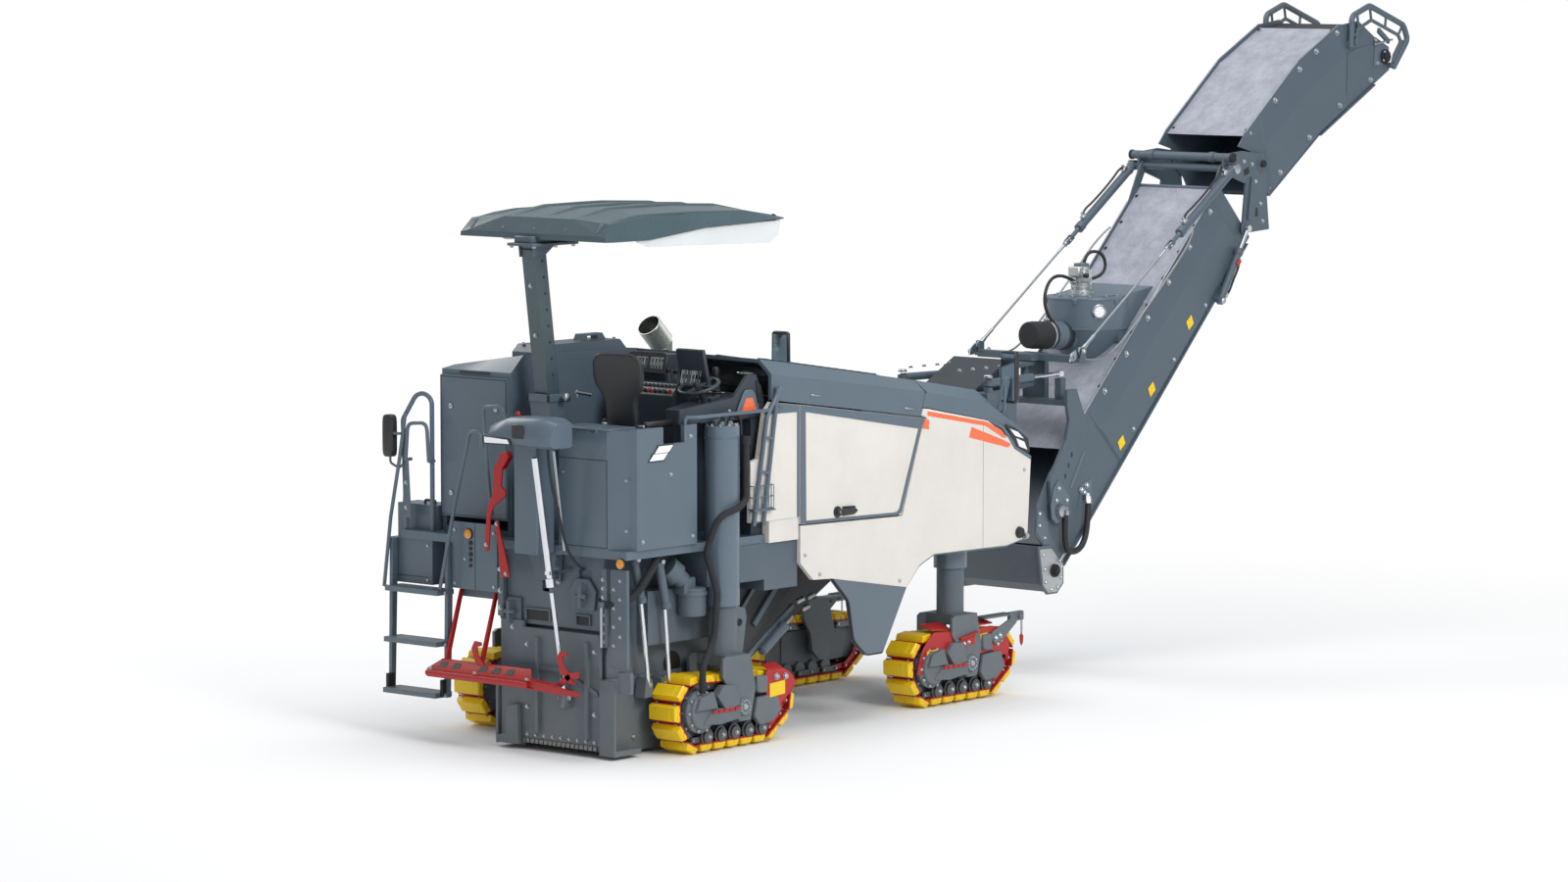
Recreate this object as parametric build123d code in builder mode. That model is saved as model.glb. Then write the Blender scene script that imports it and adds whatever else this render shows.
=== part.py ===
from build123d import *
import math
import os

# A front-loading cold planer (road milling machine) on four steered track units.
# Millimetres. +X is the direction of travel, +Y the left side, +Z up, the ground is Z = 0.
# Stations along X start at the rear right track's centre; the last section moves the origin
# to the middle of the footprint.

# ---- driving dimensions -------------------------------------------------------------------
GAP = 5.0                    # clearance between parts that move past each other
SEAT = 0.3                   # clearance at a seat between two bodies

TRACK_WIDTH = 260.0
TRACK_HEIGHT = 560.0
PAD_THICKNESS = 34.0
CHAIN_THICKNESS = 44.0
PAD_COUNT = 26

WHEELBASE = 2797.0           # rear right to front tracks
REAR_LEFT_SETBACK = 70.0     # the rear left track stands a little further forward
REAR_RIGHT_Y = -926.0
REAR_LEFT_Y = 1032.0
FRONT_TRACK_Y = 722.0

SLEEVE_DIAMETER = 250.0      # outer tube of a lifting column
LEG_DIAMETER = 204.0         # inner tube
LEG_CLEARANCE = 3.0
SLEEVE_BOTTOM = 1000.0
YOKE_TOP = 660.0
YOKE_PLATE = 26.0

BODY_HALF_WIDTH = 975.0
SKIN = 36.0                  # panel and door thickness
HOOD_REAR = 470.0            # rear end of the engine hood
HOOD_SPLIT = 2205.0          # front end of the lid
NOSE_FRONT = 3455.0
CABINET_REAR = -850.0
DECK_TOP = 1400.0
FLOOR_TOP = 1460.0

DRUM_X = -250.0
DRUM_Z = 590.0
DRUM_RADIUS = 470.0          # over the tool tips
DRUM_SHELL = 360.0
HOUSING_RIGHT = -675.0
HOUSING_LEFT = 285.0
HOUSING_WALL = 20.0
SCRAPER_X = -960.0
SCRAPER_LEAN = 9.9           # degrees, the slide of the scraper leans rearwards

SLEW_X = 4600.0              # vertical axis of the discharge conveyor's swivel
SLEW_CYLINDER_Z = 2300.0
SLEW_START = (3620.0, 420.0)  # x and half spacing of the slew cylinders' fixed eyes
SLEW_EYE = (4677.0, 287.0)   # x and half spacing of their rod eyes
TILT_X = 4480.0              # tilt pivot of the discharge conveyor
TILT_Z = 1260.0
BOOM_ANGLE = 44.5
BOOM_HALF = 400.0            # outer half width of the conveyor sections
SHEET = 12.0
BELT_HALF = 300.0            # outer half width of the primary conveyor's casing
HEAD_HALF = 262.0            # its head is narrower, between the slew cylinders
HEAD_START = 3560.0
BELT_SLOPE = 28.0
BELT_END = 4050.0

CANOPY_LEAN = 7.6            # degrees, the canopy's post leans rearwards
POST_X = -680.0              # where the post passes z = 2000
POST_Y = 50.0
POST_WIDTH = 120.0

ORIGIN_X = 3930.0
ORIGIN_Y = 150.0


# ---- helpers ------------------------------------------------------------------------------
def outline_face(plane, points):
    """Return the flat face of a closed outline drawn on a plane."""
    with BuildSketch(plane) as drawn:
        with BuildLine():
            Polyline(*points, close=True)
        make_face()
    return drawn.sketch


def side_prism(points, y_low, y_high, mode=Mode.ADD):
    """Add an outline of (x, z) points, extruded from one Y to another."""
    face = outline_face(Plane.XZ.offset(-y_high), points)
    extrude(face, amount=y_high - y_low, mode=mode)


def plan_prism(points, z_low, z_high, mode=Mode.ADD):
    """Add an outline of (x, y) points, extruded from one Z to another."""
    face = outline_face(Plane.XY.offset(z_low), points)
    extrude(face, amount=z_high - z_low, mode=mode)


def block(x_low, x_high, y_low, y_high, z_low, z_high, mode=Mode.ADD):
    """Add a box given by its six faces."""
    middle = ((x_low + x_high) / 2, (y_low + y_high) / 2, (z_low + z_high) / 2)
    with Locations(middle):
        Box(x_high - x_low, y_high - y_low, z_high - z_low, mode=mode)


def round_bar(start, end, radius, mode=Mode.ADD):
    """Add a cylinder from one point to another."""
    run = Vector(*end) - Vector(*start)
    with BuildSketch(Plane(origin=start, z_dir=run)) as section:
        Circle(radius)
    extrude(section.sketch, amount=run.length, mode=mode)


def tube(start, end, radius, bore):
    """Add a hollow cylinder from one point to another."""
    run = Vector(*end) - Vector(*start)
    with BuildSketch(Plane(origin=start, z_dir=run)) as section:
        Circle(radius)
        Circle(bore, mode=Mode.SUBTRACT)
    extrude(section.sketch, amount=run.length)


def bent_bar(points, bends, radius):
    """Add a round bar that follows straight runs joined by arcs of the given radii."""
    with BuildLine() as path:
        FilletPolyline(*points, radius=bends)
    start_plane = Plane(origin=path.line @ 0, z_dir=path.line % 0)
    with BuildSketch(start_plane) as section:
        Circle(radius)
    sweep(section.sketch, path=path.line)


def hull_face(circles, shrink):
    """Return the face wrapped round a row of circles (x, z, radius), each one shrunk."""
    with BuildSketch(Plane.XZ) as drawn:
        for x, z, radius in circles:
            with Locations((x, z)):
                Circle(radius - shrink)
        make_hull()
    return drawn.sketch


def skin_loft(sections):
    """Add a ruled loft through (x, [(y, z), ...]) sections."""
    faces = []
    for x, points in sections:
        faces.append(outline_face(Plane.YZ.offset(x), points))
    loft(faces, ruled=True)


def on_boom(u, v):
    """Return the (x, z) of a point given along and square to the discharge conveyor."""
    angle = math.radians(BOOM_ANGLE)
    x = TILT_X + u * math.cos(angle) - v * math.sin(angle)
    z = TILT_Z + u * math.sin(angle) + v * math.cos(angle)
    return (x, z)


pieces = {}


def keep(name, builder):
    """Label a finished piece and put it on the list that is written at the end."""
    builder.part.label = name
    pieces[name] = builder.part


# ---- track units --------------------------------------------------------------------------
# Wheels that the chain runs round: x, z, radius, from the unit's centre and the ground.
CHAIN_WHEELS = [
    (-388.0, 298.0, 262.0),
    (430.0, 300.0, 220.0),
    (-440.0, 90.0, 90.0),
    (360.0, 90.0, 90.0),
]
ROLLER_RADIUS = 52.0
ROLLER_STATIONS = (-290.0, -140.0, 10.0, 160.0)

# Track units: name, x, y, side of the outer face.
TRACKS = [
    ("rear_right", 0.0, REAR_RIGHT_Y, -1),
    ("rear_left", REAR_LEFT_SETBACK, REAR_LEFT_Y, 1),
    ("front_right", WHEELBASE, -FRONT_TRACK_Y, -1),
    ("front_left", WHEELBASE, FRONT_TRACK_Y, 1),
]


def build_track():
    """Build one chain of pads as a closed loop, centred on the unit."""
    inner = hull_face(CHAIN_WHEELS, PAD_THICKNESS + CHAIN_THICKNESS)
    belt = hull_face(CHAIN_WHEELS, PAD_THICKNESS)
    rim = belt.face().outer_wire()
    pitch = rim.length / PAD_COUNT
    with BuildSketch(Plane.XZ) as profile:
        add(belt.face().moved(Plane.XZ.location.inverse()))
        for number in range(PAD_COUNT):
            point = rim @ (number / PAD_COUNT)
            along = rim % (number / PAD_COUNT)
            turn = math.degrees(math.atan2(along.Z, along.X))
            with Locations(Location((point.X, point.Z), turn)):
                Rectangle(pitch * 0.84, PAD_THICKNESS * 2)
        add(inner.face().moved(Plane.XZ.location.inverse()), mode=Mode.SUBTRACT)
    with BuildPart() as track:
        extrude(profile.sketch, amount=TRACK_WIDTH / 2, both=True)
    return track


def build_track_frame(outer_side, is_rear):
    """Build a track unit's frame, wheels, yoke and inner column tube, centred on the unit."""
    inside = PAD_THICKNESS + CHAIN_THICKNESS
    fork_inner = TRACK_WIDTH / 2 + 14.0
    fork_outer = fork_inner + YOKE_PLATE
    with BuildPart() as unit:
        side_prism(
            [(-330, 160), (380, 160), (400, 380), (150, 420), (-330, 420)],
            -70.0, 70.0,
        )
        for x, z, radius in CHAIN_WHEELS[:2]:
            round_bar((x, -60, z), (x, 60, z), radius - inside - 0.4)
        for x in ROLLER_STATIONS:
            low = inside + ROLLER_RADIUS + 0.4
            round_bar((x, -95, low), (x, 95, low), ROLLER_RADIUS)
        motor_x, motor_z = CHAIN_WHEELS[0][:2]
        round_bar((motor_x, 0, motor_z), (motor_x, outer_side * 132, motor_z), 150)
        block(-110, 110, -fork_outer, fork_outer, TRACK_HEIGHT + 24, YOKE_TOP)
        for side in (-1, 1):
            low = min(side * fork_inner, side * fork_outer)
            side_prism(
                [(0, 190), (110, 190), (166, 420), (136, 540), (110, YOKE_TOP), (-150, YOKE_TOP), (-183, 640),
                 (-183, 519), (-104, 404), (-84, 270)],
                low, low + YOKE_PLATE,
            )
        round_bar((40, -fork_outer, 290), (40, fork_outer, 290), 62)
        round_bar((0, 0, YOKE_TOP), (0, 0, 1700), LEG_DIAMETER / 2)
        if is_rear:
            side_prism(
                [(90, YOKE_TOP - 1), (95, 960), (135, 985), (230, 955), (245, 895), (205, YOKE_TOP - 1),
                 (150, YOKE_TOP - 60)],
                -15, 15,
            )
            round_bar((170, -16, 860), (170, 16, 860), 28, mode=Mode.SUBTRACT)
            low = min(outer_side * 120, outer_side * 190)
            block(motor_x - 28, motor_x + 28, low, low + 70, 380, 430)
    return unit


for name, x, y, side in TRACKS:
    track_loop = build_track()
    track_loop.part = track_loop.part.moved(Location((x, y, 0)))
    keep("track_" + name, track_loop)
    track_frame = build_track_frame(side, name.startswith("rear"))
    track_frame.part = track_frame.part.moved(Location((x, y, 0)))
    keep("track_frame_" + name, track_frame)

# Hose to the rear right unit's motor: it turns with the unit, just clear of the sleeve.
HOSE_RADIUS = 24.0
with BuildPart() as track_hose:
    bent_bar([(112, -1055, 2150), (112, -1055, 1740), (-20, -1100, 1700), (-200, -1070, 1650),
              (-235, -985, 1400), (-146, -1012, 1100), (-190, -1020, 800), (-388, -1088, 610),
              (-388, -1088, 430.2)], [60, 80, 120, 150, 150, 120, 80], HOSE_RADIUS)
    round_bar((112, -1055, 2130), (112, -1055, 2190), HOSE_RADIUS + 6)
keep("track_hose", track_hose)

# Outer tubes of the lifting columns: x, y, top.
SLEEVES = [
    (0.0, REAR_RIGHT_Y, 2240.0),
    (REAR_LEFT_SETBACK, REAR_LEFT_Y, 2150.0),
    (WHEELBASE, -FRONT_TRACK_Y, 1900.0),
    (WHEELBASE, FRONT_TRACK_Y, 1900.0),
]
EYE_HEIGHT = 36.0            # lashing eye on each rear sleeve's cap: middle above the cap, plate, bore
EYE_PLATE = 30.0
EYE_BORE = 36.0
with BuildPart() as column_sleeves:
    for x, y, top in SLEEVES:
        bore = LEG_DIAMETER / 2 + LEG_CLEARANCE
        tube((x, y, SLEEVE_BOTTOM), (x, y, top), SLEEVE_DIAMETER / 2, bore)
        round_bar((x, y, top), (x, y, top + 30), SLEEVE_DIAMETER / 2)
        if x == WHEELBASE:
            continue
        eye = top + 30 + EYE_HEIGHT
        side_prism([(x - 42, top + 29), (x + 42, top + 29), (x + 42, eye), (x + 22, eye + 36),
                    (x - 22, eye + 36), (x - 42, eye)], y - EYE_PLATE / 2, y + EYE_PLATE / 2)
        round_bar((x, y - EYE_PLATE, eye), (x, y + EYE_PLATE, eye), EYE_BORE / 2, mode=Mode.SUBTRACT)
keep("column_sleeves", column_sleeves)

# ---- main frame, drum housing and engine --------------------------------------------------
HOUSING_TOP = 1140.0
RAIL = 60.0                  # width of a frame rail
BEAM = 30.0                  # width of a beam beside the primary conveyor's head


def belt_line(x, height):
    """Return the z of the primary conveyor's casing at x, counted up from its underside."""
    return 150.0 + (x - 430.0) * math.tan(math.radians(BELT_SLOPE)) + height


with BuildPart() as main_frame:
    for low in (BELT_HALF, -BELT_HALF - RAIL):
        side_prism(
            [(450, 1180), (2500, 1120), (3400, 1180), (3400, 1450), (450, 1450)],
            low, low + RAIL,
        )
    block(-930, 450, -640, 640, HOUSING_TOP, DECK_TOP)
    block(450, 700, -640, 640, 1180, DECK_TOP)
    block(700, 800, -640, -BELT_HALF, 1250, DECK_TOP)
    block(700, 800, BELT_HALF, 640, 1250, DECK_TOP)
    block(160, 800, -935, -640, HOUSING_TOP, DECK_TOP)
    block(440, 800, -935, -640, 1060, HOUSING_TOP)
    block(-160, 160, REAR_RIGHT_Y, -640, 1140, DECK_TOP)
    block(-90, 230, 640, REAR_LEFT_Y, 1140, DECK_TOP)
    block(-930, -640, 640, 730, 1020, DECK_TOP)
    block(-930, -640, 330, 640, 1020, HOUSING_TOP)
    for side in (-1, 1):
        near = side * (BELT_HALF + RAIL)
        far = side * FRONT_TRACK_Y
        edge = side * (BODY_HALF_WIDTH - SKIN)
        block(WHEELBASE - 160, WHEELBASE + 160, min(near, far), max(near, far), 1120, 1400)
        block(3200, 3380, min(near, edge), max(near, edge), 1200, 1260)
        block(1500, 1600, min(near, edge), max(near, edge), 1250, 1310)
    for x, y, top in SLEEVES:
        round_bar((x, y, SLEEVE_BOTTOM), (x, y, top), SLEEVE_DIAMETER / 2, mode=Mode.SUBTRACT)
keep("main_frame", main_frame)

# Beams from the frame up to the pivot of the discharge conveyor's swivel.
PIVOT_LOW = 2196.0           # underside of the lower pivot plate
PIVOT_HIGH = 2358.0          # underside of the upper pivot plate
PIVOT_PLATE = 30.0
PIVOT_RADIUS = 35.0
with BuildPart() as swivel_carrier:
    plate_top = PIVOT_LOW + PIVOT_PLATE
    for low in (BELT_HALF, -BELT_HALF - BEAM):
        side_prism(
            [(3200, 1450), (3400, 1450), (3560, 1620), (4080, 1940), (4080, plate_top), (3640, plate_top),
             (3200, 1960)],
            low, low + BEAM,
        )
    side = BELT_HALF + BEAM
    plan_prism(
        [(4020, -side), (4110, -side), (4280, -175), (SLEW_X, -90), (SLEW_X + 65, -60), (SLEW_X + 90, 0),
         (SLEW_X + 65, 60), (SLEW_X, 90), (4280, 175), (4110, side), (4020, side), (4020, HEAD_HALF),
         (4100, HEAD_HALF), (4270, 115), (4450, 70), (4450, -70), (4270, -115), (4100, -HEAD_HALF),
         (4020, -HEAD_HALF)],
        PIVOT_LOW, plate_top,
    )
    for low in (HEAD_HALF, -HEAD_HALF - 12):
        block(3940, 4040, low, low + 12, PIVOT_LOW, PIVOT_HIGH + PIVOT_PLATE)
        block(3940, 4040, min(low, low * 1.15), max(low + 12, low * 1.15 + 12), PIVOT_LOW, plate_top)
    side = HEAD_HALF + 12
    plan_prism(
        [(4020, -side), (4060, -side), (4420, -130), (SLEW_X, -90), (SLEW_X + 65, -60), (SLEW_X + 90, 0),
         (SLEW_X + 65, 60), (SLEW_X, 90), (4420, 130), (4060, side), (4020, side), (4020, HEAD_HALF),
         (BELT_END, HEAD_HALF), (BELT_END, -HEAD_HALF), (4020, -HEAD_HALF)],
        PIVOT_HIGH, PIVOT_HIGH + PIVOT_PLATE,
    )
    for z in (PIVOT_LOW, PIVOT_HIGH):
        round_bar((SLEW_X, 0, z - 1), (SLEW_X, 0, z + PIVOT_PLATE + 1), PIVOT_RADIUS + 2,
                  mode=Mode.SUBTRACT)
    for side in (-1, 1):
        base_x, base_y = SLEW_START[0], side * SLEW_START[1]
        near = side * (BELT_HALF + BEAM)
        far = side * (SLEW_START[1] + 40)
        block(base_x - 60, base_x + 40, min(near, far), max(near, far), 2180, plate_top)
        round_bar((base_x, base_y, plate_top), (base_x, base_y, SLEW_CYLINDER_Z - 34), 34)
        round_bar((base_x, base_y, plate_top), (base_x, base_y, SLEW_CYLINDER_Z + 30), 18)
keep("swivel_carrier", swivel_carrier)

with BuildPart() as drum_housing:
    side_prism(
        [(-930, 700), (-820, HOUSING_TOP), (330, HOUSING_TOP), (430, 700), (430, 530), (360, 530),
         (360, 700), (270, 1080), (-780, 1080), (-880, 700), (-880, 500), (-930, 500)],
        HOUSING_RIGHT, HOUSING_LEFT,
    )
    for low in (HOUSING_RIGHT, HOUSING_LEFT - HOUSING_WALL):
        side_prism(
            [(-930, 700), (-820, HOUSING_TOP), (330, HOUSING_TOP), (430, 700), (430, 260), (150, 260),
             (-650, 260), (-930, 260)],
            low, low + HOUSING_WALL,
        )
    for low in (HOUSING_RIGHT - 110, HOUSING_LEFT):
        side_prism([(-620, 760), (120, 760), (120, HOUSING_TOP), (-620, HOUSING_TOP)], low, low + 110)
    block(-950, -930, HOUSING_RIGHT, HOUSING_LEFT, 880, DECK_TOP)
    block(-951, -929, -560, -440, 1120, 1300, mode=Mode.SUBTRACT)
    block(-951, -929, -180, -90, 1120, 1300, mode=Mode.SUBTRACT)
    round_bar((DRUM_X, HOUSING_RIGHT - 1, DRUM_Z), (DRUM_X, HOUSING_LEFT + 1, DRUM_Z), 90,
              mode=Mode.SUBTRACT)
keep("drum_housing", drum_housing)

with BuildPart() as engine_block:
    block(820, 2100, -450, 600, 1450, 2250)
keep("engine_block", engine_block)

with BuildPart() as primary_conveyor:
    for x_low, x_high, half in ((431.0, HEAD_START, BELT_HALF), (HEAD_START, BELT_END, HEAD_HALF)):
        side_prism(
            [(x_low, belt_line(x_low, 0)), (x_high, belt_line(x_high, 0)),
             (x_high, belt_line(x_high, 370)), (x_low, belt_line(x_low, 370))],
            -half, half,
        )
    side_prism(
        [(400, belt_line(400, 30)), (4060, belt_line(4060, 30)), (4060, belt_line(4060, 340)),
         (400, belt_line(400, 340))],
        -HEAD_HALF + SHEET, HEAD_HALF - SHEET, mode=Mode.SUBTRACT,
    )
    side_prism(
        [(500, belt_line(500, 60)), (4000, belt_line(4000, 60)), (4000, belt_line(4000, 160)),
         (500, belt_line(500, 160))],
        -HEAD_HALF + SHEET, HEAD_HALF - SHEET,
    )
keep("primary_conveyor", primary_conveyor)

# ---- milling drum and what closes its housing ---------------------------------------------
DRUM_RIGHT = HOUSING_RIGHT + HOUSING_WALL + 12.0
DRUM_LEFT = HOUSING_LEFT - HOUSING_WALL - 12.0
TOOL_ROWS = 14
TOOLS_A_ROW = 3
with BuildPart() as milling_drum:
    round_bar((DRUM_X, DRUM_RIGHT, DRUM_Z), (DRUM_X, DRUM_LEFT, DRUM_Z), DRUM_SHELL)
    round_bar((DRUM_X, HOUSING_RIGHT + 1, DRUM_Z), (DRUM_X, HOUSING_LEFT - 1, DRUM_Z), 88)
    row_pitch = (DRUM_LEFT - DRUM_RIGHT - 90.0) / (TOOL_ROWS - 1)
    for row in range(TOOL_ROWS):
        y = DRUM_RIGHT + 45.0 + row * row_pitch
        for tool in range(TOOLS_A_ROW):
            angle = 360.0 / TOOLS_A_ROW * tool + 31.0 * row
            holder = Plane(
                origin=(DRUM_X, y, DRUM_Z),
                x_dir=(0, 1, 0),
                z_dir=(math.cos(math.radians(angle)), 0, math.sin(math.radians(angle))),
            )
            with BuildSketch(holder.offset(DRUM_SHELL - 8)) as foot:
                Rectangle(46, 90)
            extrude(foot.sketch, amount=58)
            with BuildSketch(holder.offset(DRUM_SHELL + 48)) as low:
                Circle(18)
            with BuildSketch(holder.offset(DRUM_RADIUS)) as tip:
                Circle(4)
            loft([low.sketch, tip.sketch], ruled=True)
keep("milling_drum", milling_drum)

lean = math.radians(SCRAPER_LEAN)


def on_rod(height):
    """Return x where the scraper's lift rod passes at a height."""
    return -1012.0 - (height - 398.0) * math.tan(lean)


ROD_Y = -360.0
with BuildPart() as scraper:
    side_prism(
        [(SCRAPER_X, 45), (SCRAPER_X, 860), (SCRAPER_X - 30, 860), (SCRAPER_X - 30, 45)],
        HOUSING_RIGHT + 10, 60,
    )
    side_prism(
        [(SCRAPER_X, 25), (SCRAPER_X, 905), (SCRAPER_X - 30, 905), (SCRAPER_X - 30, 25)],
        60, HOUSING_LEFT - 10,
    )
    for y in (-560, -90):
        block(SCRAPER_X - 60, SCRAPER_X - 30, y - 14, y + 14, 120, 800)
    block(-1040, SCRAPER_X - 30, ROD_Y - 40, ROD_Y - 20, 340, 440)
    block(-1040, SCRAPER_X - 30, ROD_Y + 20, ROD_Y + 40, 340, 440)
    round_bar((-1012, ROD_Y - 40, 398), (-1012, ROD_Y + 40, 398), 16)
    round_bar((-1012, ROD_Y, 398), (on_rod(1600), ROD_Y, 1600), 15)
keep("scraper", scraper)

with BuildPart() as scraper_cylinder:
    tube((on_rod(1192), ROD_Y, 1192), (on_rod(2100), ROD_Y, 2100), 24, 18)
    with BuildSketch(Plane(origin=(on_rod(1192), ROD_Y, 1192),
                           z_dir=(-math.sin(lean), 0, math.cos(lean)))) as collar:
        Circle(34)
        Circle(24, mode=Mode.SUBTRACT)
    extrude(collar.sketch, amount=60)
    block(-1190, -950, ROD_Y - 22, ROD_Y + 22, 1275, 1300)
    tube((on_rod(1192), ROD_Y, 1192), (on_rod(2100), ROD_Y, 2100), 24, 18)
    round_bar((on_rod(1100), ROD_Y, 1100), (on_rod(2100), ROD_Y, 2100), 18, mode=Mode.SUBTRACT)
keep("scraper_cylinder", scraper_cylinder)

with BuildPart() as side_plate_right:
    side_prism(
        [(-1010, 20), (350, 20), (420, 90), (420, 550), (-1010, 550)],
        HOUSING_RIGHT - GAP - 20, HOUSING_RIGHT - GAP,
    )
    block(-1010, -730, -820, HOUSING_RIGHT - GAP - 20, 20, 60)
    block(-1010, -990, -820, HOUSING_RIGHT - GAP - 20, 60, 550)
keep("side_plate_right", side_plate_right)

with BuildPart() as side_plate_left:
    side_prism(
        [(-1010, 20), (350, 20), (420, 90), (420, 550), (-1010, 550)],
        HOUSING_LEFT + GAP, HOUSING_LEFT + GAP + 20,
    )
keep("side_plate_left", side_plate_left)

# ---- body panels --------------------------------------------------------------------------
# Lower edge of a side panel from the rear forwards: x, z.
PANEL_LOW = [(790, 1225), (930, 1095), (1140, 1085), (1980, 945), (2130, 1095), (2300, 1160),
             (3150, 1150), (3400, 1190)]
PANEL_NOSE = [(3440, 1796), (2920, 2100), (2212, 2236), (2168, 2239), (2150, 2192), (2196, 2178),
              (2210, 2165)]


def build_side_panel(side):
    """Build a lower side panel; the right one is open behind the service door."""
    low = -BODY_HALF_WIDTH if side < 0 else BODY_HALF_WIDTH - SKIN
    with BuildPart() as panel:
        side_prism(PANEL_LOW + PANEL_NOSE + [(2150, 2080), (1930, 1470), (790, 1495)], low, low + SKIN)
        if side < 0:
            side_prism([(250, 1560), (778, 1560), (778, 2360), (470, 2402), (400, 2330), (335, 2010),
                        (250, 1990)], low, low + SKIN)
            block(460, 778, low + 10, low + SKIN + 40, DECK_TOP, 1560)
        else:
            side_prism(
                [(470, 1495), (1930, 1470), (2150, 2080), (2210, 2165), (2205, 2243), (470, 2428)],
                low, low + SKIN,
            )
    return panel


keep("side_panel_right", build_side_panel(-1))
keep("side_panel_left", build_side_panel(1))

with BuildPart() as service_door:
    side_prism(
        [(785, 2362), (2184, 2167), (2136, 2082), (1918, 1482), (785, 1507)],
        -BODY_HALF_WIDTH, -BODY_HALF_WIDTH + SKIN,
    )
keep("service_door", service_door)

with BuildPart() as lower_skirts:
    for low in (-BODY_HALF_WIDTH, BODY_HALF_WIDTH - SKIN):
        side_prism([(1140, 1085), (1980, 945), (1710, 490), (1520, 490), (1390, 610), (1330, 900)],
                   low, low + SKIN)
keep("lower_skirts", lower_skirts)

EXHAUST_X = 1090.0
EXHAUST_Y = 620.0
EXHAUST_RADIUS = 66.0
LID_HINGE_Z = 2728.0
LID_REACH = 1749.0           # the lid's front edge is an arc about its hinge, so that it clears the nose

# Cross sections of the engine hood's lid, from its right edge to its left: y, z.
EDGE = BODY_HALF_WIDTH
LID_LEFT = 340.0
LID_REAR = HOOD_REAR + GAP
LID_FRONT = HOOD_SPLIT - GAP
with BuildPart() as hood_lid:
    skin_loft([
        (LID_REAR, [(-EDGE, 2415), (-EDGE, 2600), (-860, 2700), (LID_LEFT, 2720),
                    (LID_LEFT, 2690), (-850, 2672), (-945, 2590), (-945, 2415)]),
        (LID_FRONT, [(-EDGE, 2178), (-EDGE, 2360), (-860, 2440), (LID_LEFT, 2460),
                     (LID_LEFT, 2430), (-850, 2412), (-945, 2350), (-945, 2178)]),
    ])
    round_bar((HOOD_REAR + GAP, -EDGE - 1, LID_HINGE_Z), (HOOD_REAR + GAP, EDGE + 1, LID_HINGE_Z), LID_REACH,
              mode=Mode.INTERSECT)
    block(1695, 1725, -60, 60, 2500, 2545)
    block(1700, 1716, -75, 75, 2545, 2770)
keep("hood_lid", hood_lid)

with BuildPart() as left_hood:
    skin_loft([
        (CABINET_REAR, [(300, 2589), (EDGE, 2589), (EDGE, 2620), (300, 2620)]),
        (CABINET_REAR + 130, [(300, 2589), (EDGE, 2589), (EDGE, 2640), (300, 2740)]),
        (HOOD_REAR - 5, [(300, 2589), (EDGE, 2589), (EDGE, 2620), (300, 2720)]),
    ])
    skin_loft([
        (HOOD_REAR - 5, [(LID_LEFT + GAP, 2640), (930, 2560), (945, 2430), (EDGE, 2430), (EDGE, 2600),
                         (860, 2700), (LID_LEFT + GAP, 2720)]),
        (HOOD_SPLIT, [(LID_LEFT + GAP, 2380), (930, 2300), (945, 2245), (EDGE, 2245), (EDGE, 2360),
                      (860, 2440), (LID_LEFT + GAP, 2460)]),
    ])
    side_prism([(-500, 2640), (-500, 2738), (-440, 2790), (350, 2790), (420, 2722), (420, 2640)], 360, 620)
    side_prism([(0, 2780), (30, 2838), (240, 2838), (285, 2780)], 430, 500)
    block(80, 190, 429, 501, 2795, 2822, mode=Mode.SUBTRACT)
    round_bar((EXHAUST_X, EXHAUST_Y, 2400), (EXHAUST_X, EXHAUST_Y, 2720), EXHAUST_RADIUS - 5 + SEAT,
              mode=Mode.SUBTRACT)
keep("left_hood", left_hood)

with BuildPart() as exhaust:
    round_bar((EXHAUST_X, EXHAUST_Y, 2560), (EXHAUST_X, EXHAUST_Y, 2720), EXHAUST_RADIUS - 5)
    with BuildSketch(Plane(origin=(EXHAUST_X, EXHAUST_Y, 2705), z_dir=(-0.72, 0, 0.69))) as outlet:
        Circle(EXHAUST_RADIUS)
    extrude(outlet.sketch, amount=200)
    with BuildSketch(Plane(origin=(EXHAUST_X - 36, EXHAUST_Y, 2739.5), z_dir=(-0.72, 0, 0.69))) as mouth:
        Circle(EXHAUST_RADIUS - 8)
    extrude(mouth.sketch, amount=160, mode=Mode.SUBTRACT)
keep("exhaust", exhaust)

with BuildPart() as nose_hood:
    skin_loft([
        (HOOD_SPLIT, [(-EDGE, 2245), (-EDGE, 2360), (-860, 2440), (860, 2440), (EDGE, 2360),
                      (EDGE, 2245)]),
        (2920, [(-EDGE, 2105), (-EDGE, 2230), (-860, 2320), (860, 2320), (EDGE, 2230),
                (EDGE, 2105)]),
        (NOSE_FRONT, [(-940, 1800), (-940, 1960), (-800, 2040), (800, 2040), (940, 1960),
                      (940, 1800)]),
    ])
    side_prism([(2212, 2245), (2212, 2350), (2189, 2350), (2162, 2245)], -EDGE, 30 - EDGE)
    round_bar((3120, -900, 2120), (3120, -970, 2400), 12)
    round_bar((3115, -970, 2395), (3190, -970, 2395), 12)
    block(2150, NOSE_FRONT + 50, -BELT_HALF - BEAM, BELT_HALF + BEAM, 1500, 2600, mode=Mode.SUBTRACT)
keep("nose_hood", nose_hood)

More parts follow.
